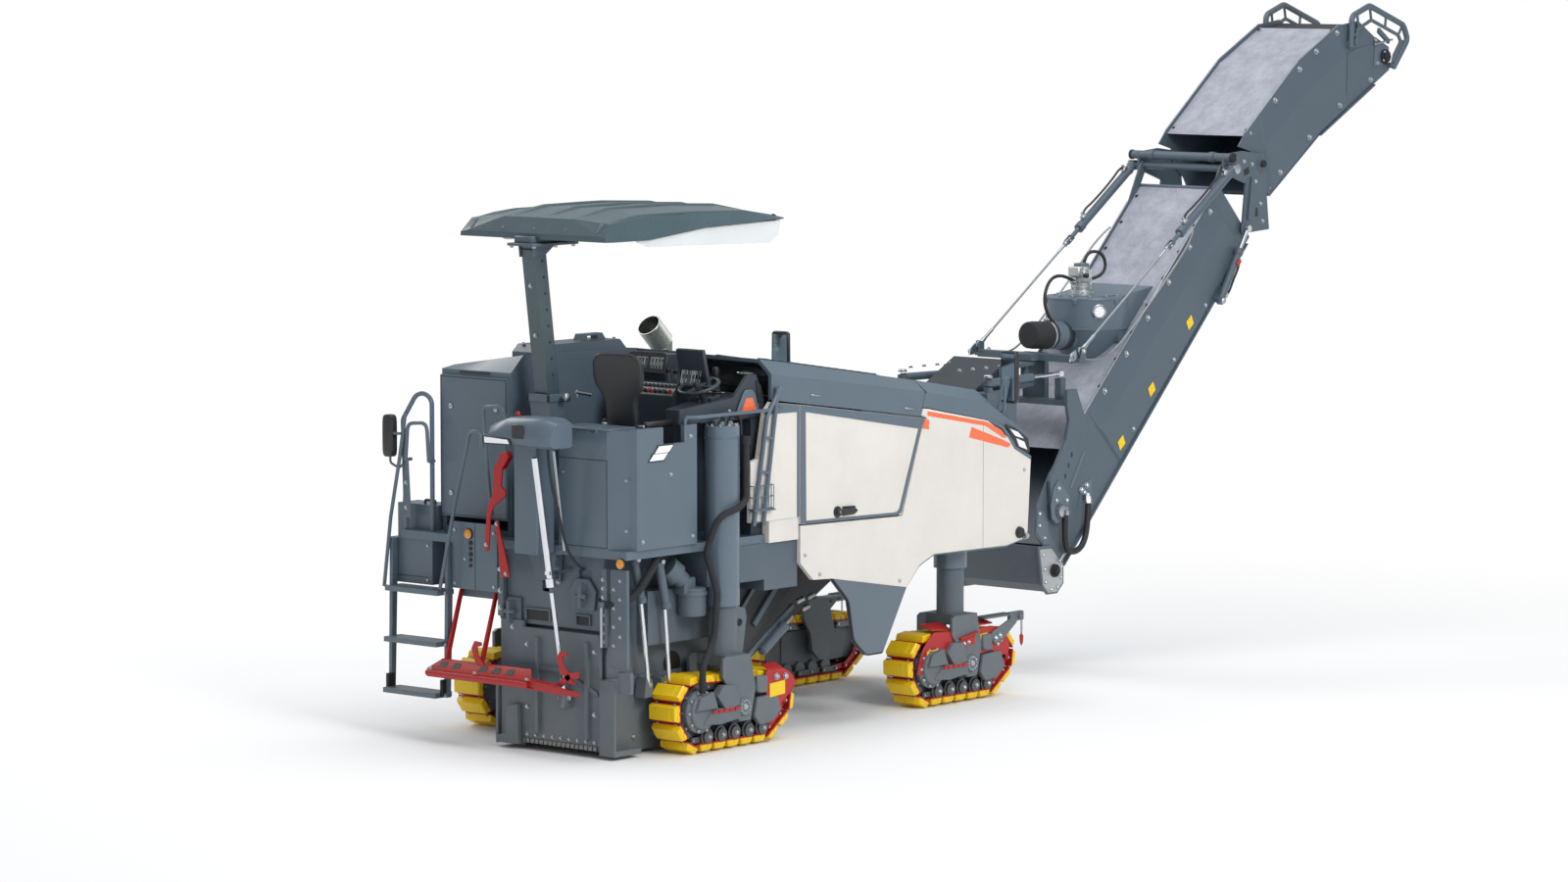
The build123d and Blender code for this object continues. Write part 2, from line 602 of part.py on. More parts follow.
with BuildPart() as cabinet:
    block(CABINET_REAR, HOOD_REAR - 5, 300, BODY_HALF_WIDTH, FLOOR_TOP, 2589)
    block(CABINET_REAR - 1, HOOD_REAR - 40, 336, BODY_HALF_WIDTH - SKIN, 1500, 2550,
          mode=Mode.SUBTRACT)
    block(-90, 230, 870, BODY_HALF_WIDTH + 1, FLOOR_TOP - 1, 2550, mode=Mode.SUBTRACT)
    block(CABINET_REAR - 30, CABINET_REAR, 310, BODY_HALF_WIDTH - 10, 1575, 2580)
keep("cabinet", cabinet)

# ---- operator's station -------------------------------------------------------------------
with BuildPart() as platform:
    block(-1000, 450, -930, 290, DECK_TOP, FLOOR_TOP)
    block(-850, 450, 290, BODY_HALF_WIDTH, DECK_TOP, FLOOR_TOP)
    block(-1000, -850, 290, 1250, DECK_TOP, FLOOR_TOP)
    for x, y, top in SLEEVES[:2]:
        round_bar((x, y, DECK_TOP - 1), (x, y, FLOOR_TOP + 1), SLEEVE_DIAMETER / 2 + GAP, mode=Mode.SUBTRACT)
keep("platform", platform)

with BuildPart() as rear_panels:
    plan_prism([(-1000, -295), (-720, -295), (-720, -890), (-930, -890), (-1000, -750)], FLOOR_TOP, 2290)
    plan_prism([(-930, -890), (-910, -950), (-290, -950), (-290, -915), (-720, -915), (-720, -890)],
               FLOOR_TOP, 2300)
    block(-640, -420, -951, -914, 2180, 2301, mode=Mode.SUBTRACT)
keep("rear_panels", rear_panels)

with BuildPart() as rear_boxes:
    block(-1000, -932, 290, 735, 1085, DECK_TOP)
    block(-1012, -1000, 290, 735, 1085, 1560)
    block(-980, -700, 955, 1370, 1080, DECK_TOP)
    block(-905, -700, 985, 1370, FLOOR_TOP, 1640)
    block(-905, -700, 1256, 1370, DECK_TOP - 1, FLOOR_TOP + 1)
keep("rear_boxes", rear_boxes)

with BuildPart() as consoles:
    side_prism([(0, FLOOR_TOP), (0, 2440), (60, 2530), (300, 2560), (330, FLOOR_TOP)], -470, 60)
    side_prism([(120, 2530), (90, 2600), (130, 2722), (290, 2722), (320, 2530)], -300, 60)
    side_prism([(-420, 2300), (-420, 2400), (150, 2450), (300, 2600), (390, 2600), (470, 2400),
                (470, 2300)], -906, -880)
    side_prism([(-180, 2290), (-180, 2370), (150, 2430), (470, 2450), (470, 2290)], -891, -560)
    block(350, 470, -891, -560, FLOOR_TOP, 2300)
keep("consoles", consoles)

# Steering wheel, its column and the display beside it.
WHEEL = (15.0, -700.0, 2530.0)
with BuildPart() as operator_controls:
    with Locations(Location(WHEEL, (0, -18, 0))):
        Torus(142, 13)
        Box(260, 30, 12)
        Box(30, 260, 12)
        Cylinder(34, 30)
    round_bar(WHEEL, (75, -700, 2405), 26)
    with Locations(Location((70, -600, 2640), (0, -14, 0))):
        Box(30, 250, 290)
    round_bar((90, -600, 2520), (90, -600, 2425), 16)
    side_prism([(75, 2418), (75, 2440), (150, 2450), (150, 2425)], -760, -565)
    side_prism([(-180, 2290), (-180, 2370), (150, 2430), (470, 2450), (470, 2290)], -891, -560,
               mode=Mode.SUBTRACT)
keep("operator_controls", operator_controls)

with BuildPart() as seat:
    block(-560, -200, -750, -330, 2020, 2130)
    side_prism([(-640, 2130), (-700, 2770), (-620, 2790), (-520, 2130)], -760, -300)
    block(-480, -280, -600, -460, FLOOR_TOP, 2020)
keep("seat", seat)

post = math.radians(CANOPY_LEAN)
POST_AXIS = (-math.sin(post), 0, math.cos(post))


def on_post(height):
    """Return x of the post's middle at a height."""
    return POST_X - (height - 2000.0) * math.tan(post)


SLEEVE_WALL = 25.0
with BuildPart() as canopy_sleeve:
    half = POST_WIDTH / 2 + GAP + SLEEVE_WALL
    side_prism([(on_post(FLOOR_TOP) - half, FLOOR_TOP), (on_post(FLOOR_TOP) + half, FLOOR_TOP),
                (on_post(2480) + half, 2480), (on_post(2480) - half, 2480)], POST_Y - half, POST_Y + half)
    with BuildSketch(Plane(origin=(POST_X, POST_Y, 2000), x_dir=(0, 1, 0), z_dir=POST_AXIS)) as slot:
        Rectangle(POST_WIDTH + 2 * GAP, POST_WIDTH + 2 * GAP)
    extrude(slot.sketch, amount=560, both=True, mode=Mode.SUBTRACT)
keep("canopy_sleeve", canopy_sleeve)

# Cross sections of the canopy's shell, rear to front: x, z of the rim, z of the shoulder, z of the
# crown, half width of the rim, of the shoulder and of the crown.
ROOF = [
    (-945, 3580, 3610, 3620, 695, 690, 640),
    (-870, 3578, 3705, 3730, 695, 655, 330),
    (-500, 3578, 3738, 3782, 695, 640, 330),
    (100, 3640, 3738, 3786, 695, 640, 330),
    (600, 3655, 3722, 3765, 695, 645, 330),
    (900, 3665, 3690, 3722, 690, 650, 330),
    (968, 3668, 3676, 3682, 670, 660, 600),
]
ROOF_SHELL = 32.0
with BuildPart() as canopy:
    for low, high in ((0.0, 0.0), (ROOF_SHELL, 60.0)):
        sections = []
        for x, rim, shoulder, crown, wide, mid, narrow in ROOF:
            near_end = abs(x - 10) > 890
            if high and near_end:
                continue
            rim_z = rim - high
            sections.append((x, [
                (-wide + low, rim_z), (wide - low, rim_z), (mid - low, shoulder - low),
                (narrow - low, crown - low), (low - narrow, crown - low), (low - mid, shoulder - low),
            ]))
        if high:
            sections[0] = (sections[0][0] + 20, sections[0][1])
            with BuildPart() as hollow:
                skin_loft(sections)
            add(hollow.part, mode=Mode.SUBTRACT)
        else:
            skin_loft(sections)
    side_prism([(on_post(3500) - 70, 3500), (on_post(3500) + 200, 3540), (-420, 3600), (-420, 3760),
                (-850, 3690), (-880, 3600)], POST_Y - 70, POST_Y + 70)
    with BuildSketch(Plane(origin=(POST_X, POST_Y, 2010), x_dir=(0, 1, 0), z_dir=POST_AXIS)) as section:
        Rectangle(POST_WIDTH, POST_WIDTH)
    extrude(section.sketch, amount=1560)
keep("canopy", canopy)

with BuildPart() as light_bar:
    side_prism([(-1400, 2170), (-1385, 2250), (-1330, 2300), (-1180, 2290), (-1150, 2200), (-1180, 2150),
                (-1380, 2130)], -560, 190)
    block(-1180, -1000, -260, -30, DECK_TOP, 2180)
    block(on_rod(2100) - 40, on_rod(2100) + 40, ROD_Y - 30, ROD_Y + 30, 2104.5, 2160)
keep("light_bar", light_bar)

# Folding bar behind the scraper, on two arms from the frame, with its two pull levers.
BAR_X = -1165.0
with BuildPart() as lock_bar:
    block(BAR_X - 32, BAR_X, -650, 830, 455, 500)
    block(BAR_X - 60, BAR_X, -650, 830, 447, 455)
    for y in (-500, -260, 200, 440):
        block(BAR_X - 55, BAR_X - 15, y, y + 130, 446, 456, mode=Mode.SUBTRACT)
    for y in (300, 640):
        side_prism([(BAR_X - 32, 500), (BAR_X - 50, 560), (BAR_X - 20, 640), (BAR_X - 5, 640),
                    (BAR_X - 22, 570), (BAR_X, 500)], y, y + 20)
    for y in (350, 690):
        side_prism([(BAR_X - 1, 460), (BAR_X - 1, 500), (-930, 1078), (-930, 1022), (-1120, 520)],
                   y, y + 20)
keep("lock_bar", lock_bar)

# ---- ladders, rails and mirrors -----------------------------------------------------------
with BuildPart() as ladder_left:
    for y in (740, 1290):
        side_prism([(-1060, 300), (-1020, 300), (-985, DECK_TOP), (-1040, DECK_TOP)], y, y + 30)
    for z, x in ((300, -1040), (665, -1028), (1030, -1014)):
        block(x - 110, x + 60, 770, 1290, z, z + 36)
keep("ladder_left", ladder_left)

LADDER_Y = -BODY_HALF_WIDTH - 25.0
with BuildPart() as ladder_right:
    for foot, knee, top in ((255, 395, 540), (358, 482, 510)):
        bent_bar([(foot, LADDER_Y, 1540), (knee, LADDER_Y, 2300), (top, LADDER_Y, 2500)], [120], 16)
    for z, x in ((1660, 280), (1920, 327), (2160, 371), (2390, 470)):
        round_bar((x, LADDER_Y, z), (x + 95, LADDER_Y, z - 15), 11)
    bent_bar([(-394, -932, 2300), (-394, -932, 2350), (-330, LADDER_Y, 2350), (425, LADDER_Y, 2350)],
             [20, 40], 13)
    block(240, 470, -1020, -BODY_HALF_WIDTH, 1640, 1650)
    for z in (1560, 1648):
        block(255, 300, LADDER_Y - 15, -BODY_HALF_WIDTH, z, z + 12)
keep("ladder_right", ladder_right)

with BuildPart() as handrails:
    bent_bar([(-960, 1230, FLOOR_TOP + 0.8), (-990, 1230, 2250), (-960, 1120, 2440), (-930, 1000, 2440),
              (-930, 1000, FLOOR_TOP)], [80, 80, 80], 17)
    round_bar((-986, 1230, 2150), (-1034, 1230, 2150), 10)
    round_bar((-1034, 1224, 2150), (-1034, 1300, 2150), 10)
keep("handrails", handrails)

with BuildPart() as mirrors:
    block(-1060, -1008, 1300, 1380, 1980, 2290)
    block(3190, 3215, -1040, -900, 2215, 2600)
keep("mirrors", mirrors)

# ---- swivel of the discharge conveyor -----------------------------------------------------
ARM_Y = BOOM_HALF + GAP + 5.0
ARM_THICKNESS = 30.0
# Outline of a swivel arm from its top down to the tilt pivot: x, z.
ARM = [(4570, 2188), (4690, 2188), (4740, 2080), (4830, 1900), (4780, 1700), (4600, 1420),
       (4570, 1190), (4390, 1190), (4360, 1500), (4560, 1800), (4600, 1950), (4570, 2080)]
ROPE_EYE = (4660.0, 500.0, 2486.0)
BEAM_LOW = PIVOT_HIGH + PIVOT_PLATE + 6.0
BEAM_HIGH = BEAM_LOW + 54.0
with BuildPart() as swivel:
    for low in (ARM_Y, -ARM_Y - ARM_THICKNESS):
        side_prism(ARM, low, low + ARM_THICKNESS)
    block(4590, 4730, -ARM_Y - 1, ARM_Y + 1, 2060, 2100)
    block(4712, 4760, -110, 110, 2060, BEAM_HIGH)
    block(SLEW_X - 60, 4712, -110, 110, BEAM_LOW, BEAM_HIGH)
    block(4620, 4700, -486, 486, BEAM_LOW, BEAM_HIGH)
    round_bar((SLEW_X, 0, PIVOT_LOW - 20), (SLEW_X, 0, BEAM_HIGH), PIVOT_RADIUS)
    for side in (-1, 1):
        y = side * SLEW_EYE[1]
        block(SLEW_EYE[0] - 30, SLEW_EYE[0] + 30, y - 30, y + 30, 2099, SLEW_CYLINDER_Z - 36)
        round_bar((TILT_X, side * (BOOM_HALF - 40), TILT_Z), (TILT_X, side * (ARM_Y + 50), TILT_Z), 60)
        block(4630, 4690, side * 480 - 6, side * 480 + 6, BEAM_HIGH, BEAM_HIGH + 66)
keep("swivel", swivel)

# Slew cylinders, right and left: name and side.
for name, side in (("right", -1), ("left", 1)):
    base = Vector(SLEW_START[0], side * SLEW_START[1], SLEW_CYLINDER_Z)
    eye = Vector(SLEW_EYE[0], side * SLEW_EYE[1], SLEW_CYLINDER_Z)
    way = (eye - base).normalized()
    with BuildPart() as slew_barrel:
        round_bar(tuple(base - Vector(0, 0, 20)), tuple(base + Vector(0, 0, 20)), 38)
        round_bar(tuple(base), tuple(base + way * 640), 31)
        round_bar(tuple(base + way * 60), tuple(base + way * 641), 21, mode=Mode.SUBTRACT)
        round_bar(tuple(base - Vector(0, 0, 40)), tuple(base + Vector(0, 0, 40)), 20, mode=Mode.SUBTRACT)
    keep("slew_barrel_" + name, slew_barrel)
    with BuildPart() as slew_rod:
        round_bar(tuple(base + way * 350), tuple(eye), 18)
        round_bar(tuple(eye - Vector(0, 0, 20)), tuple(eye + Vector(0, 0, 20)), 30)
    keep("slew_rod_" + name, slew_rod)

# ---- discharge conveyor -------------------------------------------------------------------
SHEET_LOW = -370.0
SHEET_TOP = 260.0
BOOM_END = 3190.0
PIN_A = on_boom(3330, 315)   # upper hinge, on the lower section
PIN_B = (7100.0, 3840.0)     # hinge between the fold plate and the upper section
PIN_RADIUS = 28.0
FOLD_BASE = (6520.0, 2775.0)  # hinge of the fold cylinders on the lower section
FOLD_EYE = (6885.0, 3330.0)   # their rod eyes on the fold plates
with BuildPart() as lower_conveyor:
    for low in (BOOM_HALF - SHEET, -BOOM_HALF):
        side_prism(
            [on_boom(-300, SHEET_LOW), on_boom(BOOM_END, SHEET_LOW + 35), on_boom(BOOM_END, SHEET_TOP - 20),
             on_boom(3360, 290), on_boom(3340, 360), on_boom(3270, 350), on_boom(3000, SHEET_TOP),
             on_boom(150, SHEET_TOP), on_boom(-130, 200), on_boom(-290, 60)],
            low, low + SHEET,
        )
        round_bar((TILT_X, low - 1, TILT_Z), (TILT_X, low + SHEET + 1, TILT_Z), 62, mode=Mode.SUBTRACT)
    side_prism(
        [on_boom(-300, SHEET_LOW), on_boom(BOOM_END, SHEET_LOW + 35), on_boom(BOOM_END, SHEET_LOW + 65),
         on_boom(-300, SHEET_LOW + 30)],
        -BOOM_HALF + SHEET, BOOM_HALF - SHEET,
    )
    side_prism(
        [on_boom(-290, SHEET_LOW + 200), on_boom(3150, SHEET_LOW + 200), on_boom(3150, SHEET_LOW + 300),
         on_boom(-290, SHEET_LOW + 300)],
        -BOOM_HALF + SHEET, BOOM_HALF - SHEET,
    )
    round_bar((PIN_A[0], -535, PIN_A[1]), (PIN_A[0], 535, PIN_A[1]), PIN_RADIUS)
    round_bar((FOLD_BASE[0], -BOOM_HALF - 1, FOLD_BASE[1]), (FOLD_BASE[0], BOOM_HALF + 1, FOLD_BASE[1]), 19,
              mode=Mode.SUBTRACT)
keep("lower_conveyor", lower_conveyor)

with BuildPart() as tail_hopper:
    side_prism(
        [(4260, 1000), (4300, 700), (4360, 640), (4480, 640), (4560, 700), (4560, 760), (4540, 760),
         (4540, 710), (4474, 660), (4366, 660), (4318, 710), (4280, 1000)],
        -BOOM_HALF, BOOM_HALF,
    )
    for low in (BOOM_HALF, -BOOM_HALF - 20):
        side_prism([(4240, 1000), (4290, 690), (4360, 620), (4480, 620), (4560, 690), (4560, 860),
                    (4400, 1000)], low, low + 20)
keep("tail_hopper", tail_hopper)

with BuildPart() as lower_cover:
    side_prism(
        [on_boom(420, SHEET_TOP - 30), on_boom(3180, SHEET_TOP - 30), on_boom(3180, SHEET_TOP - 22),
         on_boom(420, SHEET_TOP - 22)],
        -BOOM_HALF + SHEET, BOOM_HALF - SHEET,
    )
keep("lower_cover", lower_cover)

UNIT_X = 5390.0
with BuildPart() as suction_unit:
    round_bar((UNIT_X, 0, 2610), (UNIT_X, 0, 2850), 330)
    with BuildSketch(Plane.XY.offset(2380)) as cone_low:
        with Locations((UNIT_X, 0)):
            Circle(200)
    with BuildSketch(Plane.XY.offset(2610)) as cone_top:
        with Locations((UNIT_X, 0)):
            Circle(330)
    loft([cone_low.sketch, cone_top.sketch], ruled=True)
    side_prism([(5390, 2850), (5500, 2870), (6330, 2990), (6200, 2880), (5700, 2610), (5390, 2500)],
               -310, 310)
    side_prism([on_boom(300, SHEET_TOP - 21.7), on_boom(3100, SHEET_TOP - 21.7), on_boom(3100, 1500),
                on_boom(300, 1500)], -340, 340, mode=Mode.INTERSECT)
    round_bar((5310, 0, 2850), (5310, 0, 3110), 60)
keep("suction_unit", suction_unit)

LINK_Y = BOOM_HALF + GAP + 5.0
LINK_THICKNESS = 20.0
with BuildPart() as fold_link:
    for low in (LINK_Y, -LINK_Y - LINK_THICKNESS):
        side_prism(
            [(PIN_A[0] - 45, PIN_A[1] + 110), (6850, 3950), (7140, 3915), (7215, 3310), (6850, 3290),
             (6900, 3690), (PIN_A[0] + 20, PIN_A[1] - 50), (PIN_A[0] - 40, PIN_A[1] - 40)],
            low, low + LINK_THICKNESS,
        )
        round_bar((PIN_A[0], low - 1, PIN_A[1]), (PIN_A[0], low + LINK_THICKNESS + 1, PIN_A[1]),
                  PIN_RADIUS + 1, mode=Mode.SUBTRACT)
    round_bar((PIN_A[0] - 15, -LINK_Y - 100, PIN_A[1] + 86), (PIN_A[0] - 15, LINK_Y + 100, PIN_A[1] + 86), 34)
    for side in (-1, 1):
        near = side * (BOOM_HALF - 30)
        far = side * (LINK_Y + LINK_THICKNESS + 15)
        round_bar((PIN_B[0], near, PIN_B[1]), (PIN_B[0], far, PIN_B[1]), 30)
        round_bar((FOLD_EYE[0], side * LINK_Y, FOLD_EYE[1]), (FOLD_EYE[0], side * 437, FOLD_EYE[1]), 26)
keep("fold_link", fold_link)

fold_start = Vector(FOLD_BASE[0], 0, FOLD_BASE[1])
fold_end = Vector(FOLD_EYE[0], 0, FOLD_EYE[1])
fold_way = (fold_end - fold_start).normalized()
with BuildPart() as fold_barrels:
    for y in (-460, 460):
        shift = Vector(0, y, 0)
        base = fold_start + shift
        inside = Vector(0, -72 if y > 0 else 72, 0)
        round_bar(tuple(base - Vector(0, 18, 0)), tuple(base + Vector(0, 18, 0)), 34)
        round_bar(tuple(base), tuple(base + fold_way * 470), 30)
        round_bar(tuple(base + fold_way * 50), tuple(base + fold_way * 471), 17, mode=Mode.SUBTRACT)
        round_bar(tuple(base), tuple(base + inside), 18)
keep("fold_barrels", fold_barrels)

with BuildPart() as fold_rods:
    for y in (-460, 460):
        shift = Vector(0, y, 0)
        base = fold_start + shift
        eye = fold_end + shift
        round_bar(tuple(base + fold_way * 70), tuple(eye), 14)
        round_bar(tuple(eye - Vector(0, 18, 0)), tuple(eye + Vector(0, 18, 0)), 28)
keep("fold_rods", fold_rods)

# Outline of the upper section's sides: x, z.
UPPER = [(6830, 3985), (6930, 4095), (7640, 4647), (8195, 4926), (8480, 4960), (8927, 4700),
         (8927, 4549), (7938, 4043), (7251, 3574), (7164, 3706), (7030, 3800), (7000, 3940)]
with BuildPart() as upper_conveyor:
    for low in (BOOM_HALF - SHEET, -BOOM_HALF):
        side_prism(UPPER, low, low + SHEET)
        round_bar((PIN_B[0], low - 1, PIN_B[1]), (PIN_B[0], low + SHEET + 1, PIN_B[1]), 31,
                  mode=Mode.SUBTRACT)
    side_prism([(7251, 3574), (7938, 4043), (8927, 4549), (8927, 4580), (7930, 4075), (7251, 3606)],
               -BOOM_HALF + SHEET, BOOM_HALF - SHEET)
    round_bar((8850, -BOOM_HALF + SHEET, 4660), (8850, BOOM_HALF - SHEET, 4660), 80)
keep("upper_conveyor", upper_conveyor)

with BuildPart() as upper_cover:
    side_prism([(6930, 4070), (7640, 4622), (8195, 4901), (8195, 4893), (7642, 4614), (6933, 4062)],
               -BOOM_HALF + SHEET, BOOM_HALF - SHEET)
keep("upper_cover", upper_cover)

with BuildPart() as head_guards:
    for side in (-1, 1):
        y = side * (BOOM_HALF + 30)
        bent_bar([(8332, y, 4745), (8345, y, 5000), (8592, y, 5083), (9083, y, 4917), (9148, y, 4798),
                  (8945, y, 4569)], [60, 80, 80, 60], 24)
        low = min(side * BOOM_HALF, y)
        block(8310, 8350, low, low + 30, 4740, 4800)
        block(8910, 8965, low, low + 30, 4565, 4610)
keep("head_guards", head_guards)

STAY_Y = 500.0
STAY_TOP = Vector(PIN_A[0], 0, PIN_A[1])
STAY_FOOT = Vector(ROPE_EYE[0], 0, ROPE_EYE[2])
stay_way = (STAY_FOOT - STAY_TOP).normalized()
with BuildPart() as stay_barrels:
    for y in (-STAY_Y, STAY_Y):
        start = STAY_TOP + Vector(0, y, 0)
        round_bar(tuple(start - Vector(0, 25, 0)), tuple(start + Vector(0, 25, 0)), 40)
        round_bar(tuple(start), tuple(start + stay_way * 860), 34)
        round_bar(tuple(start + stay_way * 60), tuple(start + stay_way * 861), 19, mode=Mode.SUBTRACT)
        round_bar(tuple(start - Vector(0, 40, 0)), tuple(start + Vector(0, 40, 0)), PIN_RADIUS + 1,
                  mode=Mode.SUBTRACT)
keep("stay_barrels", stay_barrels)

with BuildPart() as stay_ropes:
    for y in (-STAY_Y, STAY_Y):
        start = STAY_TOP + Vector(0, y, 0)
        end = STAY_FOOT + Vector(0, y, 0)
        round_bar(tuple(start + stay_way * 250), tuple(start + stay_way * 930), 16)
        round_bar(tuple(start + stay_way * 930), tuple(end - stay_way * 20), 9)
        round_bar(tuple(end - Vector(0, 10, 0)), tuple(end + Vector(0, 10, 0)), 26)
keep("stay_ropes", stay_ropes)

for name, piece in pieces.items():
    placed = piece.moved(Location((-ORIGIN_X, -ORIGIN_Y, 0)))
    placed.label = name
    pieces[name] = placed

os.makedirs("parts", exist_ok=True)
for name, piece in pieces.items():
    export_step(piece, "parts/" + name + ".step")
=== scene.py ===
"""Cold planer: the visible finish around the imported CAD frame, laid out as a Blender add-on and run as a
script."""
import math

import bmesh
import bpy
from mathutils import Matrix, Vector


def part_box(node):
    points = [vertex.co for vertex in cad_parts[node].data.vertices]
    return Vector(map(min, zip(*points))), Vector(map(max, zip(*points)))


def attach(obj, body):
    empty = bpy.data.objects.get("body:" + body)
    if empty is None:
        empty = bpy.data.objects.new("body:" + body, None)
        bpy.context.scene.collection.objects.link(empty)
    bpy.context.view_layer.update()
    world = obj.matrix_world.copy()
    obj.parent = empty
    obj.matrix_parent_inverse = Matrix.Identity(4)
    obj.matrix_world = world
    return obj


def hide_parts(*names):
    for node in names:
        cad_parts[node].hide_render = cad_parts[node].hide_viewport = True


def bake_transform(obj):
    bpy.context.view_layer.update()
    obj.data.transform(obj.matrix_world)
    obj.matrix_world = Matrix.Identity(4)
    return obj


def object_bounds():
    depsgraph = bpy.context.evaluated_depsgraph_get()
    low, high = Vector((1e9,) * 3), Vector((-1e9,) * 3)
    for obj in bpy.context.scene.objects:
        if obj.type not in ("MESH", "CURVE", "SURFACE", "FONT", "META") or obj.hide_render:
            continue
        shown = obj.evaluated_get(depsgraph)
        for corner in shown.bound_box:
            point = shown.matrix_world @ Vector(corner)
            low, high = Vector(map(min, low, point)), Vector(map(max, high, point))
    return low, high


bl_info = {
    "name": "Cold Planer Finish",
    "version": (1, 0, 0),
    "blender": (4, 5, 0),
    "location": "View3D > Sidebar > Planer",
    "description": "Finishes, fittings and stage for the cold planer part",
    "category": "Object",
}

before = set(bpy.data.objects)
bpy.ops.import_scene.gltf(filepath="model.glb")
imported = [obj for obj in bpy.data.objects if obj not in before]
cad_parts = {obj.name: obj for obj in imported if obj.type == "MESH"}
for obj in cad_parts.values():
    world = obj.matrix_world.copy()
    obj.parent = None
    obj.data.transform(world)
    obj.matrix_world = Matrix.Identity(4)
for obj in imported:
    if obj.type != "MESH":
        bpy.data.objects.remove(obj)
CAD_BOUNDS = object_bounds()

# The machine's own zero is the ground under the rear right track's centre, on the machine's centreline.
ENGINE_LOW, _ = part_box("engine_block")
BOOM_LOW, BOOM_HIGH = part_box("lower_conveyor")
ENGINE_REAR = 0.82
ZERO = Vector((ENGINE_LOW.x - ENGINE_REAR, (BOOM_LOW.y + BOOM_HIGH.y) / 2, 0))

# How far the edges of plates and blocks are broken, from thin sheet to solid blocks.
SHEET_EDGE = 0.001
LIGHT_EDGE = 0.002
PLATE_EDGE = 0.003
HEAVY_EDGE = 0.004
BLOCK_EDGE = 0.006


def linear(code):
    """Turns an sRGB hex colour into the linear RGBA that shaders and colour properties take."""
    channels = [int(code[k:k + 2], 16) / 255 for k in (1, 3, 5)]
    return [c / 12.92 if c <= 0.04045 else ((c + 0.055) / 1.055) ** 2.4 for c in channels] + [1.0]


def at(x, y, z):
    """A point given from the machine's own zero, in the frame that all pieces share."""
    return ZERO + Vector((x, y, z))


# ---------------------------------------------------------------- sizes and colours


def colour(name, description, code):
    """A colour property with its default as hex."""
    return bpy.props.FloatVectorProperty(name=name, description=description, subtype="COLOR", size=4,
                                         min=0, max=1, default=linear(code))


def length(name, description, metres):
    """A length property in metres."""
    return bpy.props.FloatProperty(name=name, description=description, default=metres, min=metres / 3,
                                   max=metres * 3, unit="LENGTH")


class PlanerFinishes(bpy.types.PropertyGroup):
    """Colours of the machine's finishes."""

    slate: colour("Slate enamel", "Body panels, booms and canopy", "#5b6a76")
    graphite: colour("Graphite enamel", "Main frame, drum housing and undercarriage", "#515f6a")
    cream: colour("Cream enamel", "Side panels and service door", "#dfdad3")
    stripe: colour("Orange film", "Stripes along the nose", "#e2602c")
    pad: colour("Yellow polyurethane", "Track pads and blank plates", "#f6cc12")
    guard: colour("Red enamel", "Guards, lock bar, levers and track shoes", "#b00a0d")
    cover: colour("Belt cover", "Coated cloth over the belts", "#9a9da8")
    rubber: colour("Rubber", "Hoses, belts and seals", "#1e2023")
    plastic: colour("Black plastic", "Mirror shells, grips and consoles", "#26292c")


class PlanerSizes(bpy.types.PropertyGroup):
    """Sizes of the fittings that the scene adds to the frame."""

    bolt: length("Bolt head", "Width across flats of the common bolt", 0.030)
    rail: length("Rail tube", "Outer diameter of the handrails", 0.034)
    hose: length("Hydraulic hose", "Outer diameter of the common hose", 0.026)
    plate: length("Trim plate", "Thickness of the trim plates", 0.006)


# ---------------------------------------------------------------- materials


def add(tree, kind, wires=None, **settings):
    """Adds one shader node, sets its properties or inputs by name, and joins the given outputs to its
    inputs."""
    node = tree.nodes.new("ShaderNode" + kind)
    for name, value in settings.items():
        if hasattr(node, name):
            setattr(node, name, value)
        else:
            node.inputs[name.replace("_", " ")].default_value = value
    for socket, source in (wires or {}).items():
        tree.links.new(source, node.inputs[socket])
    return node


def blank(name):
    """A new node material with its output and principled shader, for the finish functions to fill."""
    material = bpy.data.materials.new(name)
    material.use_nodes = True
    tree = material.node_tree
    tree.nodes.clear()
    shader = add(tree, "BsdfPrincipled")
    add(tree, "OutputMaterial", {"Surface": shader.outputs["BSDF"]})
    return material, tree, shader


def blended(tree, factor, first, second):
    """Mixes two colours, each a value or another node's output."""
    mix = add(tree, "Mix", {"Factor": factor}, data_type="RGBA")
    for socket, source in (("A", first), ("B", second)):
        if isinstance(source, bpy.types.NodeSocket):
            tree.links.new(source, mix.inputs[socket])
        else:
            mix.inputs[socket].default_value = source
    return mix.outputs["Result"]


def shade(tone, factor, lift=0.0):
    """A colour made darker or lighter by a factor."""
    return [min(1, c * factor + lift) for c in tone[:3]] + [1]


